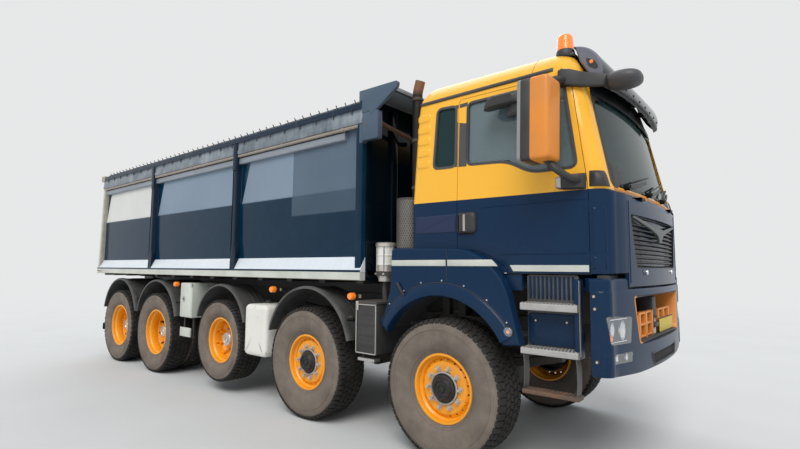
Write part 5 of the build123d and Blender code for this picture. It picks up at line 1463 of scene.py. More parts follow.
def reflectorCup(y, z, r, depth, front=0.014):
    x = bumperX(y) - front
    for profile in ([(0, 1), (-depth * 0.35, 0.82), (-depth * 0.8, 0.45), (-depth, 0.12)],
                    [(0.002, 1), (0.002, 1.08), (-0.01, 1.09)]):
        lampParts.lathe([(along, r * part) for along, part in profile], (x, y, z), "x", 1, 28)
    lampParts.rod((x - depth, y, z), (x - depth * 0.3, y, z), r * 0.16, 2, 12, 0.003)


for cup in ((-0.935, 1.190, 0.066, 0.046), (-1.078, 1.200, 0.046, 0.038, 0.020), (-0.885, 0.992, 0.029, 0.028),
            (-1.030, 0.995, 0.029, 0.028, 0.018)):
    reflectorCup(*cup)
for k in range(8):
    y = mix(-1.140, -1.080, k / 8)
    lampParts.block(bumperX(y) - 0.040, bumperX(y) - 0.016, y, y + 0.005, 1.120, 1.150, 4, 0.001)
for z in (1.106, 1.268):
    ys, section = [mix(-1.130, -0.850, k / 12) for k in range(13)], ((0.040, 0.0), (0.018, 0.001),
                                                                     (0.018, 0.008), (0.040, 0.009))
    lampParts.skin([[(bumperX(y) - depth, y, z + dz) for y in ys] for depth, dz in section], 1)
lampParts.mirror()

# Rear lamps: four coloured fields in a black housing
for side in (-1, 1):
    lampParts.block(-7.653, -7.595, side * 0.822, side * 1.118, 0.822, 0.983, 3, 0.010)
lampParts.done(smooth=35, replaces=["lamps"])
tail = Piece("rearLampFields", "chassis", "red amber clear reflector", "lamp")
for side in (-1, 1):
    for k, mat in enumerate((1, 0, 0, 2)):
        tail.block(-7.661, -7.650, side * (1.110 - 0.071 * k), side * (1.046 - 0.071 * k), 0.835, 0.970, mat, 0.005)
tail.done()

# Cab fenders: flat top, bulged arch lip with bolts, white strip and marker lamp
fender = {"in": 1.130, "out": 1.225, "arch": (-0.025, 0.700, 0.692)}
ax, az, ar = fender["arch"]


def archPoint(r, angle):
    return ax + r * cos(radians(angle)), az + r * sin(radians(angle))


def archRows(section, count):
    # Section of (radius beyond the arch, y), carried round the lip
    rows = []
    for k in range(count + 1):
        spots = [(*archPoint(ar + r, mix(30, 148, k / count)), y) for r, y in section]
        rows.append([(x, y, z) for x, z, y in spots])
    return rows


fenderEdge = ([(-0.600, 1.430), (-0.585, 1.800), (-0.560, 1.825), (0.120, 1.810)]
              + threeArc((0.120, 1.810), (0.450, 1.690), (0.640, 1.420), 12)[1:]
              + [(0.735, 1.040)] + [archPoint(ar, 28 + 124 * k / 40) for k in range(41)] + [(-0.715, 1.085)])
fenders = Piece("cabFenders", "chassis", "navy rubber white nut plastic clear amber stainless", "navy")
loops = [(0, fender["in"]), (0, fender["out"] - 0.020), (0.005, fender["out"] - 0.006), (0.018, fender["out"])]
rows = [[(x, y, z) for x, z in grow(fenderEdge, -g)] for g, y in loops]
fenders.skin(rows, 0, closeU=True, flip=True)
fenders.cap(rows[-1], 0)
fenders.cap(rows[0], 0)
# Arch lip: a rounded band
profile = [(0.0, 1.190), (0.0, 1.238), (0.006, 1.247), (0.020, 1.250), (0.060, 1.244), (0.088, 1.236),
           (0.104, 1.230), (0.110, 1.222)]
rows = archRows(profile, 48)
fenders.skin(rows, 0)
fenders.ends(rows, 0)
# Dark joint along the band and the liner behind it
fenders.skin(archRows([(0.1105, 1.2245), (0.1145, 1.2268), (0.1185, 1.2252)], 48), 1)
fenders.skin(archRows([(0.002, 1.20), (0.002, 0.852), (0.013, 0.850), (0.013, 1.20)], 40), 4)
for a in (33, 145):
    x, z = archPoint(ar + 0.007, a)
    fenders.block(x - 0.02, x + 0.02, railSide, 0.90, z - 0.025, z + 0.025, 4, 0.006)
# Seam between the two panels
fenders.prism(rect(0.0505, 1.520, 0.0555, 1.808), "y", 1.220, 1.2263, 1)
fenders.prism(rect(-0.610, 1.512, -0.605, 1.516), "y", 1.220, 1.2263, 1)
# White strip in two lengths, the front end on the slant
for x0, x1, slant in ((-0.578, 0.044, 0.0), (0.062, 0.500, 0.055)):
    fenders.prism([(x0, 1.654), (x1 + slant, 1.654), (x1, 1.708), (x0, 1.708)], "y", 1.2235, 1.2268, 2, 0.001)
for a in (38, 55, 72, 88, 104, 119, 134):
    x, z = archPoint(ar + 0.135, a)
    fenders.rod((x, 1.222, z), (x, 1.229, z), 0.0075, 3, 12, 0.002)
# Round marker lamp with its collar
fenders.lathe([(1.222, 0.045), (1.231, 0.043), (1.232, 0.038)], (0.639, 0, 1.137), "y", 4, 28)
fenders.lathe([(1.226, 0.038), (1.236, 0.036), (1.243, 0.026), (1.246, 0.0)], (0.639, 0, 1.137), "y", 5, 28)
fenders.lathe([(1.230, 0.014), (1.238, 0.012), (1.240, 0.0)], (0.639, 0, 1.137), "y", 6, 16)
# Clip at the lip's rear foot
fenders.block(-0.47, -0.44, 1.232, 1.250, 1.38, 1.50, 4, 0.006, turn=lambda x, y, z: (x - (z - 1.44) * 0.7, y, z))
fenders.mirror()
fenders.done(smooth=35, replaces=["cab_fenders"])

# Entry steps: serrated aluminium treads, navy back panel, hanging step
print("steps and mirrors")
steps = {"x": (0.742, 1.175), "treads": [(1.318, 1.374), (0.985, 1.035)], "out": 1.225}
entry = Piece("entrySteps", "chassis", "alu navy plastic rust nut guard", "step")
x0, x1 = steps["x"]
entry.prism(roundRect(x0, 0.985, x1 - 0.02, 1.588, 0.02, 3), "y", 1.070, 1.090, 5, 0.003)
# Navy riser between the treads with its two bolts, and the ribbed dark recess above
entry.prism(roundRect(x0 + 0.01, 1.045, x1 - 0.045, 1.290, 0.025, 4), "y", 1.088, 1.102, 1, 0.005)
for x in (x0 + 0.075, x1 - 0.11):
    entry.rod((x, 1.100, 1.232), (x, 1.107, 1.232), 0.014, 2, 18, 0.002)
    entry.rod((x, 1.106, 1.232), (x, 1.113, 1.232), 0.008, 4, 6, 0.001)
for k in range(11):
    x = mix(x0 + 0.02, x1 - 0.07, k / 10)
    entry.block(x, x + 0.016, 1.088, 1.100, 1.40, 1.575, 1, 0.004)
for z0, z1 in steps["treads"]:
    # Folded tread: a lipped tray whose top carries rows of pressed teeth
    entry.prism(roundRect(1.088, z0, steps["out"], z1, [0.002, 0.008, 0.012, 0.002], 4), "x", x0, x1 + 0.012, 0, 0.0)
    n = 16
    for k in range(n):
        x = mix(x0 + 0.012, x1 - 0.012, k / (n - 1))
        for dx, y in ((0, 1.110), (0.012, 1.160), (0, 1.205)):
            entry.rod((x + dx, y, z1), (x + dx, y, z1 + 0.004), 0.0085, 0, 8)
        entry.block(x - 0.006, x + 0.006, steps["out"] - 0.002, steps["out"] + 0.0008, z0 + 0.012, z1 - 0.010, 0, 0.0)
# Pillar at the front of the steps with a light edge
pillar = rect(1.150, 0.985, 1.190, 1.560)
entry.prism(pillar, "y", 1.085, 1.190, 1, 0.012, 3)
entry.block(1.1885, 1.1915, 1.160, 1.188, 1.00, 1.55, 0, 0.0)
# Hanging step: side plates that bow forwards, and the rusty tread with its holes
for x in (x0 + 0.010, x1 - 0.015):
    path = [(x + 0.012 * sin(pi * k / 8), 1.03 - 0.34 * k / 8) for k in range(9)]
    rows = [[(px + dx, y, z) for px, z in path] for dx, y in ((0, 1.130), (0, 1.215), (0.006, 1.215), (0.006, 1.130))]
    entry.skin(rows + [rows[0]], 5)
entry.prism(roundRect(1.112, 0.690, 1.225, 0.722, 0.008, 3), "x", x0 + 0.008, x1 + 0.004, 3, 0.0)
for k in range(13):
    x = mix(x0 + 0.03, x1 - 0.02, k / 12)
    for y in (1.135, 1.168, 1.200):
        entry.rod((x, y, 0.721), (x, y, 0.7265), 0.0095, 3, 8, r2=0.006)
entry.block(0.90, 0.96, railSide, 1.075, 1.000, 1.060, 2, 0.005)
entry.mirror()
entry.done(smooth=30, replaces=["entry_steps"])

# Door mirrors: orange cover with a black rear rim and glass, arms and the foot
mirror = {"x": (0.858, 1.122), "y": (1.250, 1.490), "z": (2.425, 3.045), "footZ": 2.292,
          "cap": [(1.030, 0.044, 0.070), (1.042, 0.052, 0.080), (1.078, 0.056, 0.088)],
          "foot": [(1.080, 0.055, 0.086), (1.150, 0.060, 0.084), (1.200, 0.062, 0.066), (1.226, 0.062, 0.046),
                   (1.242, 0.060, 0.026)],
          "pods": [(0.620, 3.005, 0.190, 0.060, 0.190), (0.795, 2.945, 0.165, 0.090, 0.150)],
          "podForm": [(0, 0.55), (0.12, 0.80), (0.35, 1.0), (0.7, 1.0), (0.92, 0.86), (1.0, 0.6)]}
for word, side in (("right", -1), ("left", 1)):
    piece = Piece(f"mirror{word.title()}", f"{word}_door", "orange plastic mirror stainless grey bezel", "yellow")
    (x0, x1), (y0, y1), (z0, z1) = mirror["x"], mirror["y"], mirror["z"]

    def shellRow(x, shrink):
        ring = roundRect(y0 + shrink, z0 + shrink, y1 - shrink, z1 - shrink, 0.030, 5)
        return [(x + 0.016 * (z - z0) / (z1 - z0), side * y, z) for y, z in ring]

    top = 0.016
    front = x1 - top
    rows = [shellRow(x0 + 0.104, 0.004), shellRow(x0 + 0.116, 0.0)]
    rows += [shellRow(front - back, shrink) for back, shrink in ((0.036, 0.0), (0.018, 0.004), (0.007, 0.012),
                                                                 (0.002, 0.026), (0, 0.050))]
    piece.skin(rows, 0, closeU=True, flip=side > 0)
    piece.cap(rows[-1], 0)
    band = [shellRow(x0 + dx, shrink) for dx, shrink in ((0.105, 0.004), (0.100, 0.001), (0.034, 0.001),
                                                         (0.030, 0.004))]
    piece.skin(band, 1, closeU=True, flip=side < 0)
    rim = [shellRow(x0 + dx, shrink) for dx, shrink in ((0.031, 0.005), (0.026, 0.0005), (0.006, 0.003), (0, 0.010),
                                                        (0.002, 0.020), (0.018, 0.026))]
    piece.skin(rim, 5, closeU=True, flip=side < 0)
    piece.cap(rim[-1], 1)
    # Two glasses, one above the other
    for low, high in ((z0 + 0.035, z0 + 0.20), (z0 + 0.215, z1 - 0.035)):
        ring = roundRect(y0 + 0.034, low, y1 - 0.034, high, 0.03, 5)
        rows = [[(x, side * y, z) for y, z in grow(ring, -g)] for x, g in ((x0 + 0.015, 0), (x0 + 0.011, 0.001),
                                                                           (x0 + 0.009, 0.005))]
        piece.skin(rows, 1, closeU=True)
        piece.cap(rows[-1], 2)
    # Lower arm from the foot, swept out and back under the housing, and the upper arm
    y = mirror["y"][0] + 0.035
    for dy, r in ((0, 0.027), (0.036, 0.027), (0.070, 0.024)):
        piece.tube([(1.195, side * 1.165, 2.292), (1.170, side * (1.235 + dy * 0.6), 2.300),
                    (1.105, side * (y + dy), 2.352), (1.030, side * (y + dy), 2.440)], r, 1, 12, 0.07)
    piece.tube([(1.085, side * 1.085, 3.100), (1.075, side * 1.170, 3.098), (1.055, side * 1.270, 3.062),
                (1.045, side * 1.285, 3.030)], 0.029, 1, 14, 0.06)
    piece.lathe([(1.060, 0.050), (1.085, 0.048), (1.102, 0.040), (1.112, 0.030)], (1.085, 0, 3.100),
                "y", 1, 20, sign=side)
    # Foot: long dark block at the waist, with a light cap at its rear
    def footRow(x, h, out):
        low, high = mirror["footZ"] - h, mirror["footZ"] + h
        base = cabSide(x, 2.29) - 0.004
        ring = roundOutline([(base, low), (base + out, low + 0.004), (base + out, high - 0.010), (base, high)],
                            [0.002, 0.018, 0.02, 0.002], 4)
        return [(x, side * yy, z) for yy, z in ring]

    rows = [footRow(*row) for row in mirror["cap"]]
    piece.skin(rows, 3, closeU=True, flip=side < 0)
    piece.cap(rows[0], 3)
    rows = [footRow(*row) for row in mirror["foot"]]
    piece.skin(rows, 1, closeU=True, flip=side < 0)
    piece.ends(rows, 1)
    # Kerb and wide-angle pods above the door window
    for cx, cz, w, h, out in mirror["pods"]:
        rows = []
        for t, s in mirror["podForm"]:
            ring = roundOutline([(-w * s, -h * s), (w * s, -h * s * 0.8), (w * s * 0.86, h * s),
                                 (-w * s * 0.72, h * s)], 0.03, 4)
            rows.append([(cx + u, side * (1.092 + out * t), cz + v + 0.03 * (1 - t)) for u, v in ring])
        piece.skin(rows, 1, closeU=True, flip=side < 0)
        piece.ends(rows, 1)
    piece.tube([(0.66, side * 1.150, 3.035), (0.88, side * 1.170, 3.040), (1.030, side * 1.235, 3.052)],
               0.015, 1, 10, 0.05)
    piece.tube([(0.84, side * 1.120, 3.000), (0.84, side * 1.088, 3.010)], 0.020, 1, 10)
    piece.weld()
    piece.done(smooth=38, replaces=[f"mirror_{word}"])

# Roof: side rails, beacon, front mirror, visor
print("roof")
beacon = {"x": 1.015, "y": -0.870}
frontMirror = {"at": (1.482, -0.945, 3.062), "round": (0.132, 0.118, 0.072),
               "arm": [(1.020, 1.060, 3.090, 3.205, 0.030), (1.060, 1.092, 3.066, 3.200, 0.040),
                       (1.130, 1.090, 3.050, 3.182, 0.036), (1.200, 1.052, 3.044, 3.160, 0.026),
                       (1.280, 1.004, 3.040, 3.148, 0.020), (1.360, 0.962, 3.036, 3.134, 0.018),
                       (1.440, 0.945, 3.030, 3.112, 0.018)]}  # X, distance from the middle, low, high, half thickness
roof = Piece("roofFittings", "chassis", "grey plastic amber rubber orange", "black_plastic")
railZ = lambda x: mix(3.205, 3.222, (x + 0.36) / 1.40)
for side in (-1, 1):
    xs = [mix(-0.352, 0.984, k / 30) for k in range(31)]
    rows = []
    for dz, out in ((-0.004, -0.004), (0.000, 0.012), (0.010, 0.017), (0.020, 0.013), (0.026, 0.010),
                    (0.030, -0.004)):
        rows.append([(x, side * (cabSide(x, railZ(x)) + out * min(1, (0.988 - x) / 0.06, (x + 0.358) / 0.02)),
                      railZ(x) + dz) for x in xs])
    roof.skin(rows, 0, flip=side > 0)
    groove = [[(x, side * (cabSide(x, 3.23) + 0.0155), railZ(x) + dz) for x in xs[:-2]] for dz in (0.0095, 0.0125)]
    roof.skin(groove, 3, flip=side > 0)
bx, by = beacon["x"], beacon["y"]
roof.lathe([(3.250, 0.060), (3.330, 0.060), (3.345, 0.066), (3.372, 0.066), (3.378, 0.062)], (bx, by, 0), "z", 0, 36)
roof.lathe([(3.376, 0.074), (3.384, 0.078), (3.404, 0.078), (3.436, 0.073), (3.444, 0.070)], (bx, by, 0), "z", 1, 36)
dome = [(3.442, 0.0690)] + [(3.448 + 0.008 * k, 0.0690 - 0.0006 * k + (0.0009 if k % 2 else 0)) for k in range(14)]
dome += [(3.566, 0.056), (3.577, 0.046), (3.583, 0.030), (3.585, 0.0)]
roof.lathe(dome, (bx, by, 0), "z", 2, 36)
roof.rod((bx, by, 3.41), (bx, by, 3.50), 0.018, 1, 12, 0.003)
# Front mirror on its flat arm: root on the pillar, egg-shaped pod
rows = []
for x, y, low, high, thick in frontMirror["arm"]:
    ring = roundRect(-thick, low, thick, high, 0.012, 3)
    rows.append([(x + u * 0.35, -(y + u * 0.94), z) for u, z in ring])
roof.skin(rows, 1, closeU=True)
roof.ends(rows, 1)
(cx, cy, cz), (long, wide, tall) = frontMirror["at"], frontMirror["round"]
rows = []
for k in range(17):
    a = pi * k / 16
    s = max(0.02, sin(a)) ** 0.62
    rows.append([(cx - long * cos(a), cy + wide * s * u * (1 - 0.10 * cos(a)), cz + 0.006 * cos(a) + tall * s * v)
                 for u, v in circle(1, 28)])
roof.skin(rows, 0, closeU=True)
roof.skin([[(cx - 0.100, cy + 0.100 * u, cz + 0.060 * v) for u, v in circle(g, 24)] for g in (1.0, 0.6, 0.01)],
          1, closeU=True)
# Small lug at the joint
roof.rod((0.955, -1.008, 3.245), (0.955, -1.008, 3.265), 0.012, 4, 12, 0.003)
roof.done(smooth=35, replaces=["roof_fittings"])

# Sun visor: smoked blade that curls back to the roof, closed cheeks with lamps, a bolted lower edge
visor = {"middle": [(1.090, 3.440), (1.165, 3.412), (1.240, 3.372), (1.300, 3.318), (1.340, 3.256), (1.362, 3.190),
                    (1.372, 3.120)],
         "end": [(1.105, 3.448), (1.155, 3.434), (1.215, 3.404), (1.272, 3.350), (1.306, 3.286), (1.322, 3.200),
                 (1.306, 3.104)],
         "half": 0.900, "thick": 0.012, "rearEdge": [(1.286, 3.108), (1.248, 3.146), (1.210, 3.193), (1.144, 3.307)],
         "slot": [(1.196, 3.322), (1.262, 3.286), (1.290, 3.226), (1.268, 3.214), (1.214, 3.250)],
         "lip": [(5.60, -0.001), (5.64, -0.004), (5.96, -0.004), (6.0, 0.002), (6.0, 0.030),
                 (5.93, 0.030), (5.90, 0.014)]}
smoke = Piece("sunVisor", "chassis", "visor plastic grey rubber reflector amber nut cheek", "black_plastic")


def visorPoint(y, v, back=0.0):
    # v from 0 at the roof to 6 at the lower edge; back is how far inside the outer face
    w = (abs(y) / visor["half"]) ** 2.2
    middle, end = ([between(list(enumerate(p[i] for p in visor[key])), v) for i in (0, 1)]
                   for key in ("middle", "end"))
    return (mix(middle[0], end[0], w) - back, y, mix(middle[1], end[1], w) - back * 0.4)


ys = [visor["half"] * (2 * k / 36 - 1) for k in range(37)]
vs = [k / 4 for k in range(25)]
front = [[visorPoint(y, v) for y in ys] for v in vs]
rear = [[visorPoint(y, v, visor["thick"]) for y in ys] for v in reversed(vs)]
smoke.skin(front + rear + [front[0]], 0)
# Cheeks: rounded out from the blade's end to a dark rear edge, with a slot and its lamp
for side in (-1, 1):
    edge = [visorPoint(side * visor["half"], v) for v in vs]
    loop = [(x, z) for x, y, z in edge] + visor["rearEdge"]
    rows = [[(x, side * (visor["half"] + rise), z) for x, z in grow(loop, -inward)]
            for inward, rise in ((0, 0), (0.004, 0.008), (0.012, 0.013))]
    smoke.skin(rows, 7, closeU=True)
    smoke.cap(rows[-1], 7)
    smoke.cap([(x, side * (visor["half"] - 0.004), z) for x, z in loop], 1)
    slot = roundOutline(visor["slot"], 0.014, 4)
    rows = [[(x, side * (visor["half"] + rise), z) for x, z in grow(slot, -g)]
            for g, rise in ((-0.003, 0.0125), (0, 0.0155), (0.004, 0.0140))]
    smoke.skin(rows, 3, closeU=True)
    smoke.cap(rows[-1], 3)
    smoke.rod((1.238, side * (visor["half"] + 0.010), 3.282), (1.238, side * (visor["half"] + 0.018), 3.282),
              0.016, 5, 16, 0.003)
# Lower edge: a turned-in lip with bolt heads and their light washers
smoke.skin([[visorPoint(y, v, back) for y in ys] for v, back in visor["lip"]], 1)
for k in range(9):
    y = mix(-0.80, 0.80, k / 8)
    x, _, z = visorPoint(y, 5.30)
    smoke.rod((x - 0.002, y, z), (x + 0.0045, y, z), 0.011, 3, 16)
    if k % 2:
        smoke.block(x - 0.055, x - 0.012, y - 0.040, y + 0.040, z - 0.034, z - 0.026, 6, 0.003)
# Brackets back to the header
for y in (-0.62, -0.21, 0.21, 0.62):
    x, _, z = visorPoint(y, 4.6, 0.012)
    smoke.prism(roundOutline([(1.150, 3.258), (x, z + 0.030), (x, z - 0.030), (1.150, 3.205)], 0.008, 3),
                "y", y - 0.016, y + 0.016, 1, 0.004)
smoke.weld()
smoke.done(smooth=35, replaces=["sun_visor"])

# Tipper body
print("tipper body")
bed = {"bottom": 1.505, "in": 1.155, "out": 1.200, "posts": [-3.283, -5.717], "footX": -7.954, "lean": radians(2.9),
       "front": -0.950, "wall": [(1.505, 0), (1.60, 0), (1.75, 0.001), (2.0, 0.005), (2.3, 0.010), (2.444, 0.012),
                                 (2.456, 0.011), (2.462, 0.003),
                (2.6, 0.002), (2.9, 0), (3.1, 0), (3.34, 0)],  # height, step out: a crease a little above the middle
       "stiffeners": (-0.8, -0.4, 0.0, 0.4, 0.8), "gateRibs": (1.510, 2.405, 3.225),
       "gatePosts": (-1.2, -0.63, -0.03, 0.57, 1.14)}


def tailAt(z):
    return bed["footX"] + (z - bed["bottom"]) * tan(bed["lean"])


walls = Piece("bedWalls", "bed", "bed inside rail grey chassis", "navy")
for side in (-1, 1):
    # Side wall as a plate with a slight outward crown between its posts
    xs = [tailAt(2.4) + 0.02] + [mix(-7.9, -0.955, k / 44) for k in range(1, 44)] + [bed["front"]]
    outer, inner = [], []
    for z, out in bed["wall"]:
        outer.append([(x if k else tailAt(z), side * (bed["out"] + out), z) for k, x in enumerate(xs)])
        inner.append([(x if k else tailAt(z), side * bed["in"], z) for k, x in enumerate(xs)])
    walls.skin(outer, 0, flip=side > 0)
    walls.skin(inner, 1, flip=side < 0)
    walls.skin([outer[-1], inner[-1]], 2)
    walls.skin([[row[0] for row in outer], [row[0] for row in inner]], 2)
    walls.skin([outer[0], inner[0]], 4)
walls.prism(rect(-7.952, -bed["in"], -0.950, bed["in"]), "z", 1.560, 1.600, 1)
# Front plate with its stiffeners
walls.block(-0.995, -0.950, -1.2, 1.2, 1.505, 3.400, 0, 0.006)
for y in bed["stiffeners"]:
    walls.prism(roundRect(y - 0.045, 1.60, y + 0.045, 3.34, 0.012, 2), "x", -0.951, -0.905, 0, 0.008)
walls.done(smooth=35, replaces=["bed_tub"])

# Headboard: visor plate over the gap, cheeks and the blocks below them
head = Piece("headboardPlate", "bed", "rail bed grey rust rubber", "navy")
head.block(-0.952, -0.600, -1.2355, 1.2355, 3.405, 3.450, 0, 0.010)
head.block(-0.992, -0.950, -1.2355, 1.2355, 3.400, 3.450, 0, 0.008)
cheek = roundOutline([(-0.992, 3.450), (-0.992, 3.342), (-0.952, 3.342), (-0.952, 3.213), (-0.842, 3.213),
                      (-0.842, 3.160), (-0.480, 3.390), (-0.480, 3.445)],
                     [0.006, 0.006, 0, 0, 0.006, 0.006, 0.03, 0.02], 3)
for side in (-1, 1):
    head.prism(cheek, "y", side * 1.237, side * 1.2745, 1, 0.006)
    head.prism(roundRect(-0.948, 2.925, -0.735, 3.211, 0.014, 3), "y", side * 1.202, side * 1.273, 1, 0.006)
    head.rod((-0.892, side * 1.272, 3.075), (-0.892, side * 1.2748, 3.075), 0.014, 3, 14, 0.001)
    head.tube([(-0.850, side * 1.215, 3.165), (-0.835, side * 1.02, 3.110), (-0.845, side * 0.60, 3.060),
               (-0.900, side * 0.50, 3.055)], 0.024, 3, 12, 0.08)
head.prism([(-1.230, 3.398), (-1.230, 3.404), (1.230, 3.404), (1.230, 3.398)], "x", -0.62, -0.60, 4)
head.done(smooth=35)

rails = Piece("bedSides", "bed", "bed rail skirt white tail rust plastic post wood pole topRail", "navy")


def alongWall(profile, mat, x1=-0.952, mats=None):
    # Section of (y, z) run the length of the wall, its rear end cut to the tail's lean
    closed = profile + [profile[0]]
    xs = [None] + [mix(-7.85, x1, k / 24) for k in range(1, 24)] + [x1]
    rows = [[(tailAt(z) if x is None else x, y, z) for x in xs] for y, z in closed]
    for i in range(len(rows) - 1):
        rails.skin(rows[i:i + 2], mats[i] if mats else mat)
    rails.ends(list(zip(*rows[:-1])), mat)


# Top rail: two flanges and a shallow channel between them, its lower part bright with a painted sky reflection
alongWall(roundOutline([(1.200, 3.110), (1.272, 3.110), (1.275, 3.160), (1.266, 3.168), (1.266, 3.262),
                        (1.275, 3.270), (1.272, 3.338), (1.200, 3.338)],
                       [0, 0.012, 0.004, 0.004, 0.004, 0.004, 0.014, 0], 3), 10)
alongWall(roundRect(1.200, 2.986, 1.243, 3.070, [0, 0.018, 0.018, 0], 4), 1, x1=-1.235)
# Sloping skirt, edge line and the cream strip below it
alongWall([(1.200, 1.747), (1.272, 1.612), (1.275, 1.606), (1.275, 1.592), (1.200, 1.592)], 2, mats=[2, 0, 0, 0, 0])
alongWall(roundRect(1.200, 1.590, 1.2745, 1.507, [0, 0.003, 0.006, 0], 2), 3)
for z, mat in ((1.5905, 7), (1.508, 5)):
    rails.skin([[(x, 1.2752, z + dz) for x in (tailAt(z), -0.955)] for dz in (0, 0.004)], mat)
# Rust-brown pole clipped below the top rail
rails.tube([(tailAt(3.09) + 0.05, 1.252, 3.092), (-4.4, 1.252, 3.092), (-1.02, 1.252, 3.092)], 0.0185, 9, 14)
for k in range(7):
    x = mix(-7.5, -1.25, k / 6)
    rails.block(x - 0.012, x + 0.012, 1.234, 1.2735, 3.070, 3.113, 9, 0.004)
# Posts: folded channels, tapered gusset to the skirt, weld strips
for x in bed["posts"]:
    rails.prism(roundOutline([(x - 0.052, 1.200), (x - 0.038, 1.268), (x + 0.038, 1.268), (x + 0.052, 1.200)],
                             [0, 0.010, 0.010, 0], 3), "z", 1.640, 3.115, 7)
    for dx in (-0.052, 0.046):
        rails.prism([(1.201, 1.755), (1.271, 1.618), (1.271, 1.70), (1.201, 1.90)], "x", x + dx, x + dx + 0.006, 7)
    rows = [[(x + u, y, z) for u in (-0.054, 0.054)] for y, z in ((1.2735, 1.612), (1.2725, 1.690), (1.262, 1.90))]
    rails.skin(rows, 7)
    rails.skin([[(x - 0.0545, 1.268, 1.64), (x - 0.0545, 1.201, 1.76)],
                [(x - 0.0545, 1.268, 3.10), (x - 0.0545, 1.201, 3.10)]], 7)
    # Head of the post, in front of both rails, with its bolts
    rails.prism(roundOutline([(x - 0.050, 1.262), (x - 0.044, 1.2835), (x + 0.044, 1.2835), (x + 0.050, 1.262)],
                             [0, 0.008, 0.008, 0], 3), "z", 2.905, 3.258, 7)
    for z in (2.95, 3.21):
        rails.rod((x, 1.282, z), (x, 1.2885, z), 0.011, 6, 6, 0.002)
# Front post and the rear post with its worn reflective face
rails.prism(roundOutline([(-1.050, 1.200), (-1.046, 1.262), (-0.960, 1.262), (-0.952, 1.200)], [0, 0.012, 0.012, 0],
                         3), "z", 1.626, 3.112, 0)
turn = lambda x, y, z: (x + (z - 2.5) * tan(bed["lean"]), y, z)
x = tailAt(2.5)
rails.prism(roundOutline([(x + 0.004, 1.200), (x + 0.004, 1.266), (x + 0.104, 1.266), (x + 0.112, 1.200)],
                         [0, 0.010, 0.012, 0], 3), "z", 1.598, 3.112, 4, turn=turn)
rails.prism([(x + 0.018, 1.2655), (x + 0.018, 1.2675), (x + 0.060, 1.2675), (x + 0.060, 1.2655)],
            "z", 1.66, 3.08, 3, turn=turn)
rails.prism(roundRect(-7.985, 3.255, -7.826, 3.360, 0.02, 3), "y", 1.212, 1.275, 4, 0.008)
rails.rod((-7.906, 1.262, 3.300), (-7.906, 1.2745, 3.300), 0.030, 5, 20, 0.003)
rails.rod((-7.906, 1.266, 3.300), (-7.906, 1.2748, 3.300), 0.019, 1, 6, 0.002)
# Rear latch linkage along the strip's end
rails.tube([(-7.930, 1.268, 1.56), (-7.86, 1.270, 1.545), (-7.70, 1.268, 1.545)], 0.010, 5, 8, 0.03)
rails.block(-7.938, -7.886, 1.205, 1.270, 1.520, 1.600, 4, 0.008)
# Hooks along the top edge for the cover, with the cover rolled along the wall
for k in range(24):
    x = mix(-7.65, -1.10, k / 23)
    rails.tube([(x, 1.268, 3.290), (x, 1.2745, 3.275), (x, 1.2748, 3.235), (x, 1.272, 3.222)], 0.0055, 6, 6, 0.01)
    rails.block(x - 0.014, x + 0.014, 1.205, 1.262, 3.338, 3.350, 6, 0.003)
    for dx in (0, 0.14):
        rails.tube([(x + dx, 1.215, 3.340), (x + dx, 1.225, 3.372), (x + dx + 0.012, 1.248, 3.386)],
                   0.006, 6, 6, 0.01)
rails.mirror()
rails.done(smooth=32, replaces=["bed_side_rails"])

# Cover rolled up along the right wall's top edge, strapped at intervals
roll = {"x": (-7.80, -1.00), "y": -1.180, "z": 3.362, "r": 0.024, "strapR": 0.0215, "rows": 120, "sides": 20}
cover = Piece("rolledCover", "bed", "wood plastic", "black_plastic")
rows = []
for k in range(roll["rows"] + 1):
    x = mix(*roll["x"], k / roll["rows"])
    strap = 1 - 0.16 * max(0, 1 - abs((k % 10) - 5) / 1.2)
    ring = []
    for j in range(roll["sides"]):
        a = 2 * pi * j / roll["sides"]
        r = roll["r"] * strap * (1 + 0.05 * sin(3 * a + 0.9 * k) + 0.03 * sin(7 * a - 0.37 * k))
        ring.append((x, roll["y"] + r * 1.25 * cos(a), roll["z"] + r * 0.92 * sin(a)))
    rows.append(ring)
cover.skin(rows, 0, closeU=True)
cover.ends(rows, 0)
for k in range(12):
    x = mix(*roll["x"], (10 * k + 5) / roll["rows"])
    loop = circle(roll["strapR"], roll["sides"])
    cover.skin([[(x + dx, roll["y"] + 1.26 * u, roll["z"] + 0.95 * v) for u, v in loop] for dx in (-0.014, 0.014)],
               1, closeU=True)
cover.weld()
cover.done(smooth=60)

# Tailgate: ribbed steel panel hung from its pins
gate = Piece("tailgatePanel", "tailgate", "bed tail rust chassis", "navy")
gx, gz, cosLean, sinLean = -7.90607, 3.300, cos(bed["lean"]), sin(bed["lean"])  # pins that the gate hangs from
lean = lambda x, y, z: (gx + (x - gx) * cosLean + (z - gz) * sinLean, y, gz + (z - gz) * cosLean - (x - gx) * sinLean)
gate.prism(rect(gx - 0.013, -1.2, gx + 0.031, 1.2), "z", 1.510, 3.315, 0, turn=lean)
for z in bed["gateRibs"]:
    gate.prism(roundRect(gx - 0.031, z, gx - 0.010, z + 0.090, [0.012, 0, 0, 0.012], 3), "y", -1.2, 1.2, 0, turn=lean)
for y in bed["gatePosts"]:
    gate.prism(roundRect(gx - 0.031, y, gx - 0.010, y + 0.06, [0.010, 0, 0, 0.010], 3),
               "z", 1.512, 3.313, 1, turn=lean)
gate.rod((gx, -1.261, gz), (gx, 1.261, gz), 0.020, 2, 20, 0.003)
for y in (-1.18, -0.60, 0.0, 0.60, 1.18):
    gate.prism(roundRect(gx - 0.028, 3.255, gx + 0.026, 3.327, 0.012, 3), "y", y - 0.015, y + 0.015, 2, turn=lean)
gate.done(smooth=35, replaces=["tailgate"])

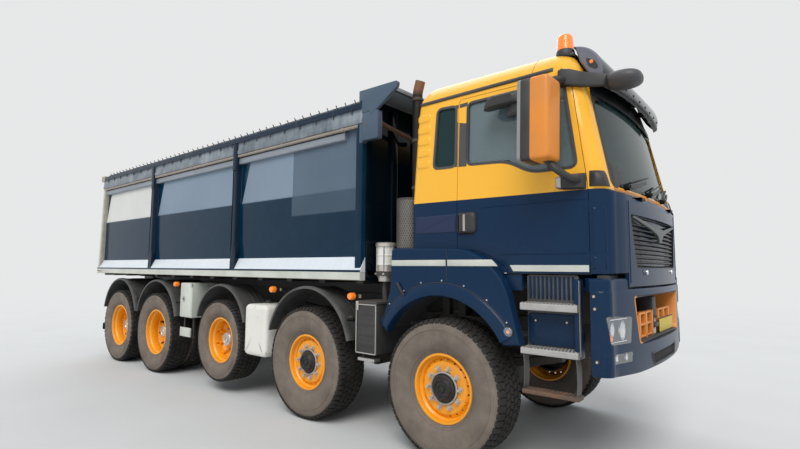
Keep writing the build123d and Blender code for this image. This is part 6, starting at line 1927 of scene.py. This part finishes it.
# Mudguards: plastic arches with rolled lips, stays and side marker lamps
print("mudguards and side fittings")
guards = ((-1.783, 0.735, 0.685, 0.880), (-3.558, 0.800, 0.600, 0.880), (-5.442, 0.735, 0.685, 0.590),
          (-6.844, 0.735, 0.685, 0.590))  # X and height of the middle, radius, inner edge
sideLamps = ((-1.110, 1.345), (-2.440, 1.372), (-4.850, 1.372))
arches = Piece("mudguardArches", "chassis", "guard plastic cast amber nut", "black_plastic")
for x, z, r, inner in guards:
    section = [(-0.004, 1.2740), (-0.016, 1.2740), (-0.020, 1.2690), (-0.014, 1.2655), (-0.013, 1.232),
               (-0.013, inner), (0.0, inner), (0.0, 1.178), (0.0045, 1.190), (0.010, 1.212), (0.0115, 1.240),
               (0.009, 1.262), (0.003, 1.2735)]
    rows = []
    for k in range(57):
        a = radians(mix(14, 166, k / 56))
        rows.append([(x + (r + dr) * cos(a), y, z + (r + dr) * sin(a)) for dr, y in section])
    arches.skin(rows, 0, closeU=True)
    arches.ends(rows, 0)
    for off in (1.05, 0.98, 0.91):
        section = [(off, 0), (off - 0.006, 0.004), (off - 0.020, 0.004), (off - 0.026, 0)]
        turns = [radians(a) for a in range(16, 166, 3)]
        arches.skin([[(x + (r + dr) * cos(a), y, z + (r + dr) * sin(a)) for y, dr in section] for a in turns], 0)
    for angle in (40, 140):
        bx, bz = x + (r + 0.008) * cos(radians(angle)), z + (r + 0.008) * sin(radians(angle))
        if bz > 1.130:
            bz = 1.110
            bx = x + (1 if angle < 90 else -1) * sqrt((r + 0.008) ** 2 - (bz - z) ** 2)
        arches.tube([(bx, railSide, bz), (bx, 1.215, bz)], 0.020, 2, 14)
        arches.rod((bx, 1.214, bz), (bx, 1.224, bz), 0.026, 1, 16, 0.003)
        arches.prism(roundRect(bx - 0.030, bz - 0.012, bx + 0.030, bz + 0.030, 0.008, 2), "y", 1.130, 1.150, 1, 0.003)
        arches.rod((bx, 1.150, bz + 0.016), (bx, 1.160, bz + 0.016), 0.010, 4, 6)
# Amber lamps on bent arms between the wheels
for x, z in sideLamps:
    arches.lathe([(1.196, 0.030), (1.204, 0.036), (1.252, 0.036), (1.262, 0.030), (1.265, 0.0)],
                 (x, 0, z), "y", 3, 28)
    arches.lathe([(1.150, 0.0), (1.150, 0.026), (1.196, 0.032)], (x, 0, z), "y", 1, 24)
    arches.tube([(x, 1.160, z), (x, 1.060, z - 0.02), (x, 0.960, 1.250), (x, railSide, 1.120)], 0.013, 2, 8, 0.06)
    arches.block(x - 0.05, x + 0.05, 1.130, 1.150, z - 0.020, z + 0.014, 4, 0.004)
arches.mirror()
arches.done(smooth=35, replaces=["mudguards"])

# Boxes: battery box, light box, lubrication unit
battery = {"x": (-1.006, -0.735), "y": 1.262, "z": (0.800, 1.282)}
lightBox = {"x": (-4.646, -4.313), "y": 1.262, "z": (0.905, 1.400)}
boxes = Piece("sideBoxes", "chassis", "plastic cast alu white nut stainless chassis tank", "black_plastic")
(x0, x1), y1, (z0, z1) = battery["x"], battery["y"], battery["z"]
boxes.block(x0, x1, 0.700, y1, z0, z1, 0, 0.018, 3)
boxes.block(x0 - 0.004, x1 + 0.004, 0.696, y1 + 0.006, z1 - 0.004, z1 + 0.028, 1, 0.010, 3)
for x in (x0 + 0.002, x1 - 0.008):
    boxes.block(x - 0.004, x + 0.008, y1 - 0.003, y1 + 0.008, z0, z1, 2, 0.003)
for z in (z0, 1.268):
    boxes.block(x0, x1, y1 - 0.003, y1 + 0.008, z, z + 0.012, 2, 0.003)
for z in (0.90, 1.0, 1.1, 1.2):
    boxes.prism(roundRect(-0.985, z - 0.030, -0.756, z + 0.025, 0.02, 3), "y", 1.258, 1.2655, 0, 0.003)
boxes.prism(roundRect(-1.004, 1.215, -0.970, 1.305, 0.006, 2), "y", 1.266, 1.2745, 4, 0.002)
boxes.tube([(-0.992, 1.272, 1.225), (-0.992, 1.2745, 1.26), (-0.985, 1.272, 1.295)], 0.006, 5, 8)
boxes.block(-0.976, -0.755, 1.180, 1.268, 0.730, 0.760, 2, 0.006)
boxes.block(-0.966, -0.946, 1.190, 1.210, 0.755, 0.805, 1, 0.004)
boxes.rod((-0.800, 0.980, 1.305), (-0.800, 0.980, 1.345), 0.022, 4, 16, 0.004)
boxes.block(-0.900, -0.830, railSide, 0.705, 0.960, 1.020, 6, 0.005)
(x0, x1), y1, (z0, z1) = lightBox["x"], lightBox["y"], lightBox["z"]
boxes.block(x0, x1, 0.880, y1, z0, z1, 3, 0.014, 3)
boxes.prism(roundRect(x0 + 0.012, z0 + 0.012, x1 - 0.012, z1 - 0.012, 0.016, 3), "y", 1.260, 1.2655, 3, 0.002)
boxes.lathe([(1.2645, 0.046), (1.269, 0.044), (1.270, 0.034), (1.267, 0.031), (1.266, 0.0)],
            (-4.535, 0, 1.168), "y", 5, 28)
boxes.lathe([(1.266, 0.013), (1.272, 0.012), (1.272, 0.0)], (-4.535, 0, 1.168), "y", 1, 16)
for x in (-4.352, -4.322):
    boxes.block(x, x + 0.012, 1.255, 1.2695, 1.34, 1.40, 4, 0.003)
for x in (-4.630, -4.370):
    boxes.block(x, x + 0.018, 1.180, 1.200, 0.60, 0.91, 1, 0.004)
boxes.block(-4.646, -4.350, 1.225, 1.250, 0.630, 0.760, 3, 0.006)
boxes.block(-4.520, -4.450, railSide, 0.885, 0.960, 1.020, 6, 0.005)
boxes.mirror()
lx, ly = -0.815, -1.045  # lubrication unit: jar, tie rods and foot
jar = [(1.498, 0.030), (1.500, 0.070), (1.552, 0.080), (1.556, 0.100), (1.602, 0.100), (1.606, 0.090), (1.660, 0.088),
       (1.664, 0.093), (1.672, 0.093), (1.676, 0.088), (1.752, 0.088), (1.756, 0.093), (1.764, 0.093), (1.768, 0.088),
       (1.846, 0.088), (1.850, 0.102), (1.880, 0.102), (1.890, 0.090), (1.892, 0.0)]
boxes.lathe(jar, (lx, ly, 0), "z", [4, 4, 4, 1, 4, 4] + [7] * 8 + [4] * 4, 36)
for u, v in circle(1, 6):
    boxes.rod((lx + 0.094 * u, ly + 0.094 * v, 1.60), (lx + 0.094 * u, ly + 0.094 * v, 1.855), 0.006, 5, 8)
    boxes.rod((lx + 0.098 * u, ly + 0.098 * v, 1.575), (lx + 0.112 * u, ly + 0.112 * v, 1.575), 0.010, 4, 6)
boxes.tube([(lx, ly, 1.50), (lx - 0.01, ly, 1.42), (lx, ly, 1.31)], 0.025, 1, 10)
boxes.block(lx - 0.08, lx + 0.05, ly + 0.05, ly + 0.11, 1.50, 1.70, 1, 0.006)
boxes.done(smooth=35, replaces=["side_boxes"])

# Tanks: moulded white tank with its dents, air tanks on straps
whiteCan = {"low": (-2.955, 0.560), "high": (-2.500, 1.180), "round": 0.075, "middle": (-2.73, 0.87),
            "dent": (-2.66, 0.98), "dentR": 0.22, "dentDeep": 0.010}
airTank = (-4.240, 0.700, 0.720)
tanks = Piece("sideTanks", "chassis", "tank cast plastic nut chassis stainless", "steel")
outline = roundRect(*whiteCan["low"], *whiteCan["high"], whiteCan["round"], 7)
rows = []
for y, g in ((0.760, 0.03), (0.775, 0.004), (0.79, 0.0), (1.0, 0.0), (1.222, 0.0), (1.246, 0.006), (1.262, 0.020),
             (1.2685, 0.040), (1.270, 0.070)):
    ring = grow(outline, -g)
    rows.append([(x + 0.006 * sin(9 * z + 5 * y), y, z) for x, z in ring])
tanks.skin(rows, 0, closeU=True, flip=True)
# Face with a shallow dent
ring = rows[-1]
(cx, cz), (dx, dz), reach, deep = whiteCan["middle"], whiteCan["dent"], whiteCan["dentR"], whiteCan["dentDeep"]
rings = [ring]
for s in (0.8, 0.6, 0.4, 0.2):
    inner = [(mix(cx, x, s), mix(cz, z, s)) for x, y, z in ring]
    rings.append([(x, 1.270 - deep * (1 - s) * max(0, 1 - hypot(x - dx, z - dz) / reach), z) for x, z in inner])
tanks.skin(rings, 0, closeU=True, flip=True)
tanks.cap(rings[-1], 0)
tanks.cap(rows[0], 0)
tanks.lathe([(1.172, 0.050), (1.190, 0.048), (1.214, 0.046), (1.222, 0.036), (1.222, 0.0)],
            (-2.86, 0.98, 0), "z", 2, 24)
for x in (-2.940, -2.515):
    tanks.rod((x + 0.02, 1.262, 0.62), (x + 0.02, 1.272, 0.62), 0.010, 3, 12)
tanks.block(-2.770, -2.700, railSide, 0.765, 0.960, 1.020, 4, 0.005)
tanks.lathe([(-0.400, 0.0), (-0.397, 0.060), (-0.380, 0.100), (-0.355, 0.119), (-0.345, 0.120), (-0.055, 0.120),
             (-0.045, 0.119), (-0.020, 0.100), (-0.003, 0.060), (0.0, 0.0)], airTank, "x", 1, 32)
for x in (-4.56, -4.33):
    tanks.lathe([(-0.014, 0.1205), (-0.014, 0.1235), (0.014, 0.1235), (0.014, 0.1205)], (x, *airTank[1:]), "x", 5, 32)
tanks.block(-4.500, -4.430, railSide, 0.760, 0.880, 0.910, 4, 0.004)
tanks.block(-4.500, -4.430, 0.640, 0.760, 0.780, 0.910, 4, 0.004)
tanks.mirror()
tanks.done(smooth=40, replaces=["side_tanks"])

# Exhaust: stack with a slanted rusty tip, clamps and the expanded-metal guard
exhaust = {"at": (-0.500, -0.930), "r": 0.051, "guard": (-0.590, -0.930, 0), "guardR": 0.136, "lean": 22,
           "clamps": (1.72, 2.42, 2.9, 3.33)}
stack = Piece("exhaustStack", "chassis", "stack cast stainless plastic", "chrome_tube")
(sx, sy), tipX, guardR = exhaust["at"], sin(radians(exhaust["lean"])), exhaust["guardR"]
path = [(sx, sy, 1.40), (sx, sy, 2.2), (sx, sy, 3.0), (sx, sy, 3.36), (sx + 0.004, sy, 3.42), (sx + 0.018, sy, 3.47),
        (sx + tipX * 0.100, sy, 3.44 + 0.090)]
stack.tube(path, exhaust["r"], 0, 28, 0.04)
for z in exhaust["clamps"]:
    stack.lathe([(z, 0.0515), (z, 0.057), (z + 0.030, 0.057), (z + 0.030, 0.0515)], (sx, sy, 0), "z", 1, 28)
    stack.block(sx - 0.015, sx + 0.015, sy + 0.05, sy + 0.10, z, z + 0.03, 1, 0.004)
for z in (1.790, 2.314):
    ring = [(z, guardR), (z, guardR + 0.0025), (z + 0.016, guardR + 0.0025), (z + 0.016, guardR)]
    stack.lathe(ring, exhaust["guard"], "z", 1, 40)
stack.lathe([(1.82, 0.0), (1.82, 0.10), (1.84, 0.108), (2.28, 0.108), (2.30, 0.10), (2.30, 0.0)],
            exhaust["guard"], "z", 1, 32)
stack.block(-0.550, -0.460, -0.930, -0.345, 1.400, 1.460, 1, 0.008)
stack.block(-0.550, -0.460, -0.425, -0.345, 1.150, 1.460, 1, 0.008)
stack.done(smooth=40, replaces=["exhaust_stack"])
guard = Piece("exhaustGuard", "chassis", "mesh", "steel")
guard.lathe([(1.795, guardR + 0.0018), (2.325, guardR + 0.0018)], exhaust["guard"], "z", 0, 48)
guard.done(smooth=60)

# Rear bar: lamp beam, underrun bar with its brackets, and the rubber flaps
rear = Piece("rearBar", "chassis", "chassis plastic rubber nut red plate", "chassis")
rear.block(-7.595, -7.540, -1.2, 1.2, 0.880, 0.945, 0, 0.006)
rear.prism(roundRect(-7.870, 0.450, -7.770, 0.570, 0.016, 4), "y", -1.150, 1.150, 0, 0.008)
for y in (-1.150, 1.118):
    rear.prism(roundRect(-7.869, 0.452, -7.772, 0.568, 0.014, 4), "y", y, y + 0.032, 1, 0.006)
for side in (-1, 1):
    rear.prism([(-7.772, 0.470), (-7.772, 0.550), (-7.560, 0.900), (-7.480, 0.900), (-7.480, 0.820)],
               "y", side * 0.372, side * 0.388, 0, 0.004)
    for y in (0.62, 0.93):
        rear.block(-7.565, -7.535, side * y, side * (y + 0.27), 0.925, 0.950, 3, 0.003)
    # Flap hangs with a faint wave and two moulded ribs
    rows = []
    for k in range(13):
        z = mix(0.950, 0.380, k / 12)
        rows.append([(-7.546 + 0.004 * sin(2.4 * pi * j / 24 + 1.2 * side) * (k / 12),
                      side * mix(0.620, 1.200, j / 24), z) for j in range(25)])
    rear.skin(rows, 2, thick=0.004)
    for z in (0.47, 0.50):
        rear.block(-7.5505, -7.543, side * 0.64, side * 1.18, z, z + 0.008, 2, 0.002)
for side in (-1, 1):
    for y in (0.66, 0.80, 0.94, 1.08, 1.17):
        rear.rod((-7.552, side * y, 0.937), (-7.560, side * y, 0.937), 0.010, 3, 6)
rear.done(smooth=35, replaces=["rear_bar"])

# Cab interior: fascia, steering wheel, console, and the seats as separate padded pieces
print("cab interior")
seatY = 0.52
room = Piece("cabInterior", "chassis", "grey plastic rubber nut stainless clear", "interior")
fascia = roundOutline([(1.000, 1.960), (1.030, 2.170), (1.330, 2.215), (1.330, 1.700), (1.240, 1.700)],
                      [0.05, 0.06, 0.02, 0.01, 0.02], 5)
room.prism(fascia, "y", -0.930, 0.930, 0, 0.02, 3)
# Driver's instrument hood, vents and shelves
room.prism(roundOutline([(1.030, 2.165), (1.080, 2.250), (1.230, 2.235), (1.240, 2.190)], [0.02, 0.03, 0.02, 0], 4),
           "y", 0.270, 0.770, 1, 0.015, 3)
for y in (0.42, 0.62):
    room.lathe([(0.0, 0.0), (0.0, 0.052), (-0.008, 0.058), (-0.012, 0.052)], (1.052, y, 2.190), "x", 4, 28)
for y in (-0.82, -0.30, 0.05, 0.86):
    room.prism(roundRect(y - 0.055, 2.085, y + 0.055, 2.145, 0.012, 3), "x", 1.012, 1.022, 1, 0.003)
    for k in range(4):
        room.block(1.006, 1.012, y - 0.045, y + 0.045, 2.094 + 0.012 * k, 2.098 + 0.012 * k, 4, 0.001)
room.prism(roundRect(-0.20, 1.98, 0.17, 2.07, 0.01, 3), "x", 1.000, 1.012, 1, 0.004)
room.prism(roundRect(-0.78, 2.215, -0.22, 2.238, 0.01, 3), "x", 1.06, 1.30, 1, 0.004)
# Steering wheel
steering = {"centre": (0.900, 0.480, 2.080), "lean": radians(32), "r": 0.209}
centre = Vector(steering["centre"])
u, v = Vector((0, 1, 0)), Vector((cos(steering["lean"]), 0, sin(steering["lean"])))
room.tube([centre + u * a + v * b for a, b in circle(steering["r"], 48) + [(steering["r"], 0)]], 0.0155, 1, 12)
for a in (-25, 90, 205):
    room.rod(centre, centre + u * (0.205 * cos(radians(a))) + v * (0.205 * sin(radians(a))),
             0.026, 1, 10, 0.004, 0.014)
room.rod(centre - u.cross(v) * 0.012, centre + u.cross(v) * 0.020, 0.075, 0, 28, 0.010)
room.rod(centre, (1.15, 0.480, 1.82), 0.038, 1, 18, 0.006)
# Console, gear lever, floor mat, seat pedestals, grab handles
room.prism(roundOutline([(0.32, 1.652), (1.18, 1.652), (1.12, 1.90), (0.55, 1.86), (0.36, 1.80)],
                        [0.01, 0.01, 0.06, 0.05, 0.05], 4), "y", -0.17, 0.17, 0, 0.03, 3)
room.tube([(0.76, 0.05, 1.86), (0.74, 0.08, 2.0), (0.73, 0.10, 2.09)], 0.009, 3, 8)
room.lathe([(2.085, 0.0), (2.088, 0.020), (2.105, 0.026), (2.125, 0.022), (2.132, 0.0)],
           (0.728, 0.102, 0), "z", 1, 18)
room.block(-0.30, 1.25, -0.98, 0.98, 1.650, 1.662, 2, 0.004)
for side in (-1, 1):
    room.prism(roundOutline([(0.40, 1.660), (0.74, 1.660), (0.70, 1.885), (0.44, 1.885)], 0.03, 4),
               "y", side * seatY - 0.17, side * seatY + 0.17, 1, 0.02)
    for x in (0.37, 0.79):
        room.rod((x, side * seatY - 0.20, 1.895), (x, side * seatY + 0.20, 1.895), 0.010, 3, 8)
    room.tube([(1.06, side * 0.93, 2.35), (1.03, side * 0.90, 2.45), (1.02, side * 0.90, 2.80),
               (1.04, side * 0.93, 2.90)], 0.012, 1, 8, 0.03)
    for y in (side * seatY - 0.05, side * seatY + 0.05):
        room.tube([(0.275, y, 2.70), (0.295, y, 2.76)], 0.006, 3, 8)
    room.block(-0.30, 1.10, side * 0.20, side * 0.92, 3.380, 3.400, 0, 0.006)
room = room.done(smooth=38, replaces=["cab_interior"])


def cushion(name, centre, size, tilt, channels=(), crown=0.30, belly=0.06):
    # Crowned block of foam: sides drawn in between the corners, sewn channels across it
    pad = Piece(name, "chassis", "cloth plastic", "interior")
    steps = 16
    half = [s / 2 for s in size]
    c, s = cos(radians(tilt)), sin(radians(tilt))

    def spot(a, b, t):
        # a, b across the face from -1 to 1, t through the thickness
        round2 = lambda w: w * (1 - 0.04 * (1 - min(1, abs(w)) ** 2))
        edge = max(abs(a), abs(b)) ** 5
        thick = 1 - crown * edge
        pull = 1 - belly * (1 - abs(t)) * 0.4
        x = half[0] * round2(a) * (1 - 0.035 * (1 - b * b)) * pull
        y = half[1] * round2(b) * (1 - 0.035 * (1 - a * a)) * pull
        z = half[2] * t * thick
        if t > 0:
            for line in channels:
                z -= 0.012 * t * exp(-((a - line) / 0.045) ** 2) * (1 - edge)
            z -= 0.010 * t * exp(-((abs(b) - 0.66) / 0.05) ** 2) * (1 - edge)
        return (centre[0] + x * c - z * s, centre[1] + y, centre[2] + x * s + z * c)

    grid = [-1 + 2 * k / steps for k in range(steps + 1)]
    for t, flip in ((1, False), (-1, True)):
        pad.skin([[spot(a, b, t) for b in grid] for a in grid], 0, flip=not flip)
    border = ([(a, -1) for a in grid] + [(1, b) for b in grid[1:]]
              + [(a, 1) for a in reversed(grid[:-1])] + [(-1, b) for b in reversed(grid[1:-1])])
    pad.skin([[spot(a, b, t) for a, b in border] for t in (-1, -0.55, 0, 0.55, 1)], 0, closeU=True)
    pad.weld(0.0006)
    pad = pad.done(smooth=80, replaces=["cab_interior"])
    smooth = pad.modifiers.new("subdivision", "SUBSURF")
    smooth.levels = smooth.render_levels = 1
    return pad


for side, word in ((-1, "Right"), (1, "Left")):
    y = side * seatY
    cushion(f"seatCushion{word}", (0.575, y, 1.960), (0.490, 0.480, 0.116), -2, (-0.35, 0.30))
    cushion(f"seatBack{word}", (0.350, y, 2.310), (0.800, 0.460, 0.120), 98, (-0.45, -0.05, 0.40))
    cushion(f"headrest{word}", (0.300, y, 2.800), (0.150, 0.255, 0.070), 98)

# CAD nodes that keep their shape
print("chassis finishes")
keptNodes = {"cab_glass": "screen", "door_glass_right": "glass", "door_glass_left": "glass",
             "axle_beams_and_shafts": "cast", "springs": "chassis", "engine_block": "cast", "ladder_frame": "chassis",
             "tipping_subframe": "chassis", "bed_frame": "chassis", "hoist_barrel": "cast"}
keptNodes.update({f"knuckle_{n}_{word}": "cast" for n in (1, 2) for word in ("right", "left")})
keptNodes.update({f"hoist_stage_{n}": "stainless" for n in (1, 2, 3, 4)})
for name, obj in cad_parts.items():
    if name in keptNodes:
        obj.data.materials.clear()
        obj.data.materials.append(finish[keptNodes[name]])

# Camera, floor and light
print("camera, floor and light")
view = {"x": 2.49126, "y": -4.78075, "z": 1.63682, "yaw": 2.26639, "pitch": 0.088026, "roll": 0.005647, "lens": 22.05}
eye = bpy.data.cameras.new("photoCamera")
eye.sensor_fit = "HORIZONTAL"
eye.sensor_width = 36.0
eye.lens = view["lens"]
eye.clip_end = 500.0
camera = bpy.data.objects.new("photoCamera", eye)
scene.collection.objects.link(camera)
ahead = Vector((cos(view["pitch"]) * cos(view["yaw"]), cos(view["pitch"]) * sin(view["yaw"]), sin(view["pitch"])))
right = Vector((sin(view["yaw"]), -cos(view["yaw"]), 0))
top = right.cross(ahead)
right, top = right * cos(view["roll"]) + top * sin(view["roll"]), top * cos(view["roll"]) - right * sin(view["roll"])
turned = Matrix((right, top, -ahead)).transposed().to_4x4()
camera.matrix_world = Matrix.Translation(place(view["x"], view["y"], view["z"])) @ turned
scene.camera = camera

floorMesh = bpy.data.meshes.new("floor")
floorForm = bmesh.new()
bmesh.ops.create_circle(floorForm, cap_ends=True, segments=64, radius=150.0)
floorForm.to_mesh(floorMesh)
floorForm.free()
floor = bpy.data.objects.new("floor", floorMesh)
scene.collection.objects.link(floor)
floor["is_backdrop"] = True
stageTone = (0.80, 0.805, 0.81)
floorPaint = Paint("floorPaint", rough=0.9)
grain = floorPaint.noise(0.8, 5.0)
floorPaint.set("color", floorPaint.blend(grain, (0.60, 0.605, 0.61), (0.66, 0.665, 0.67)))
away = floorPaint.node("ShaderNodeVectorMath", {"operation": "LENGTH"}, (floorPaint.spot(),), 1).above(10.0, 16.0)
glow = floorPaint.tree.nodes.new("ShaderNodeEmission")
glow.inputs["Color"].default_value = (*stageTone, 1)
path = floorPaint.tree.nodes.new("ShaderNodeLightPath")
looks, shines, passes = (Wire(floorPaint, path.outputs[f"Is {kind} Ray"])
                         for kind in ("Camera", "Glossy", "Transmission"))
blend = floorPaint.tree.nodes.new("ShaderNodeMixShader")
sources = ((away * (looks + shines + passes).clip()).socket, floorPaint.shader.outputs[0], glow.outputs[0])
for key, socket in enumerate(sources):
    floorPaint.tree.links.new(socket, blend.inputs[key])
floorPaint.tree.links.new(blend.outputs[0], floorPaint.end.inputs[0])
floorMesh.materials.append(floorPaint.material)

world = bpy.data.worlds.new("studio")
scene.world = world
world.use_nodes = True
tree = world.node_tree
tree.nodes.clear()
lit, shown = (tree.nodes.new("ShaderNodeBackground") for _ in range(2))
lit.inputs["Color"].default_value = (0.93, 0.97, 1.0, 1)
lit.inputs["Strength"].default_value = 0.62
shown.inputs["Color"].default_value = (*stageTone, 1)
path = tree.nodes.new("ShaderNodeLightPath")
addA, addB = (tree.nodes.new("ShaderNodeMath") for _ in range(2))
addA.operation = addB.operation = "ADD"
addB.use_clamp = True
tree.links.new(path.outputs["Is Camera Ray"], addA.inputs[0])
tree.links.new(path.outputs["Is Glossy Ray"], addA.inputs[1])
tree.links.new(addA.outputs[0], addB.inputs[0])
tree.links.new(path.outputs["Is Transmission Ray"], addB.inputs[1])
blend = tree.nodes.new("ShaderNodeMixShader")
for key, node in enumerate((addB, lit, shown)):
    tree.links.new(node.outputs[0], blend.inputs[key])
tree.links.new(blend.outputs[0], tree.nodes.new("ShaderNodeOutputWorld").inputs[0])


def softSun(name, power, azimuth, height, spread, colour):
    lamp = bpy.data.lights.new(name, "SUN")
    lamp.energy = power
    lamp.angle = radians(spread)
    lamp.color = colour
    obj = bpy.data.objects.new(name, lamp)
    scene.collection.objects.link(obj)
    a, e = radians(azimuth), radians(height)
    toward = Vector((cos(a) * cos(e), sin(a) * cos(e), sin(e)))
    obj.rotation_euler = toward.to_track_quat("Z", "Y").to_euler()
    obj.location = toward * 20


softSun("keyLight", 1.95, -62, 48, 35, (1.0, 0.985, 0.955))
softSun("fillLight", 0.7, 140, 40, 50, (0.95, 0.98, 1.0))
scene.view_settings.view_transform = "Standard"

corner = lambda box: [list(map(float, p)) for p in box] if isinstance(box, (list, tuple)) else box
sizes = {"cad": corner(startBounds), "visual": corner(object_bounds())}
print(sizes)
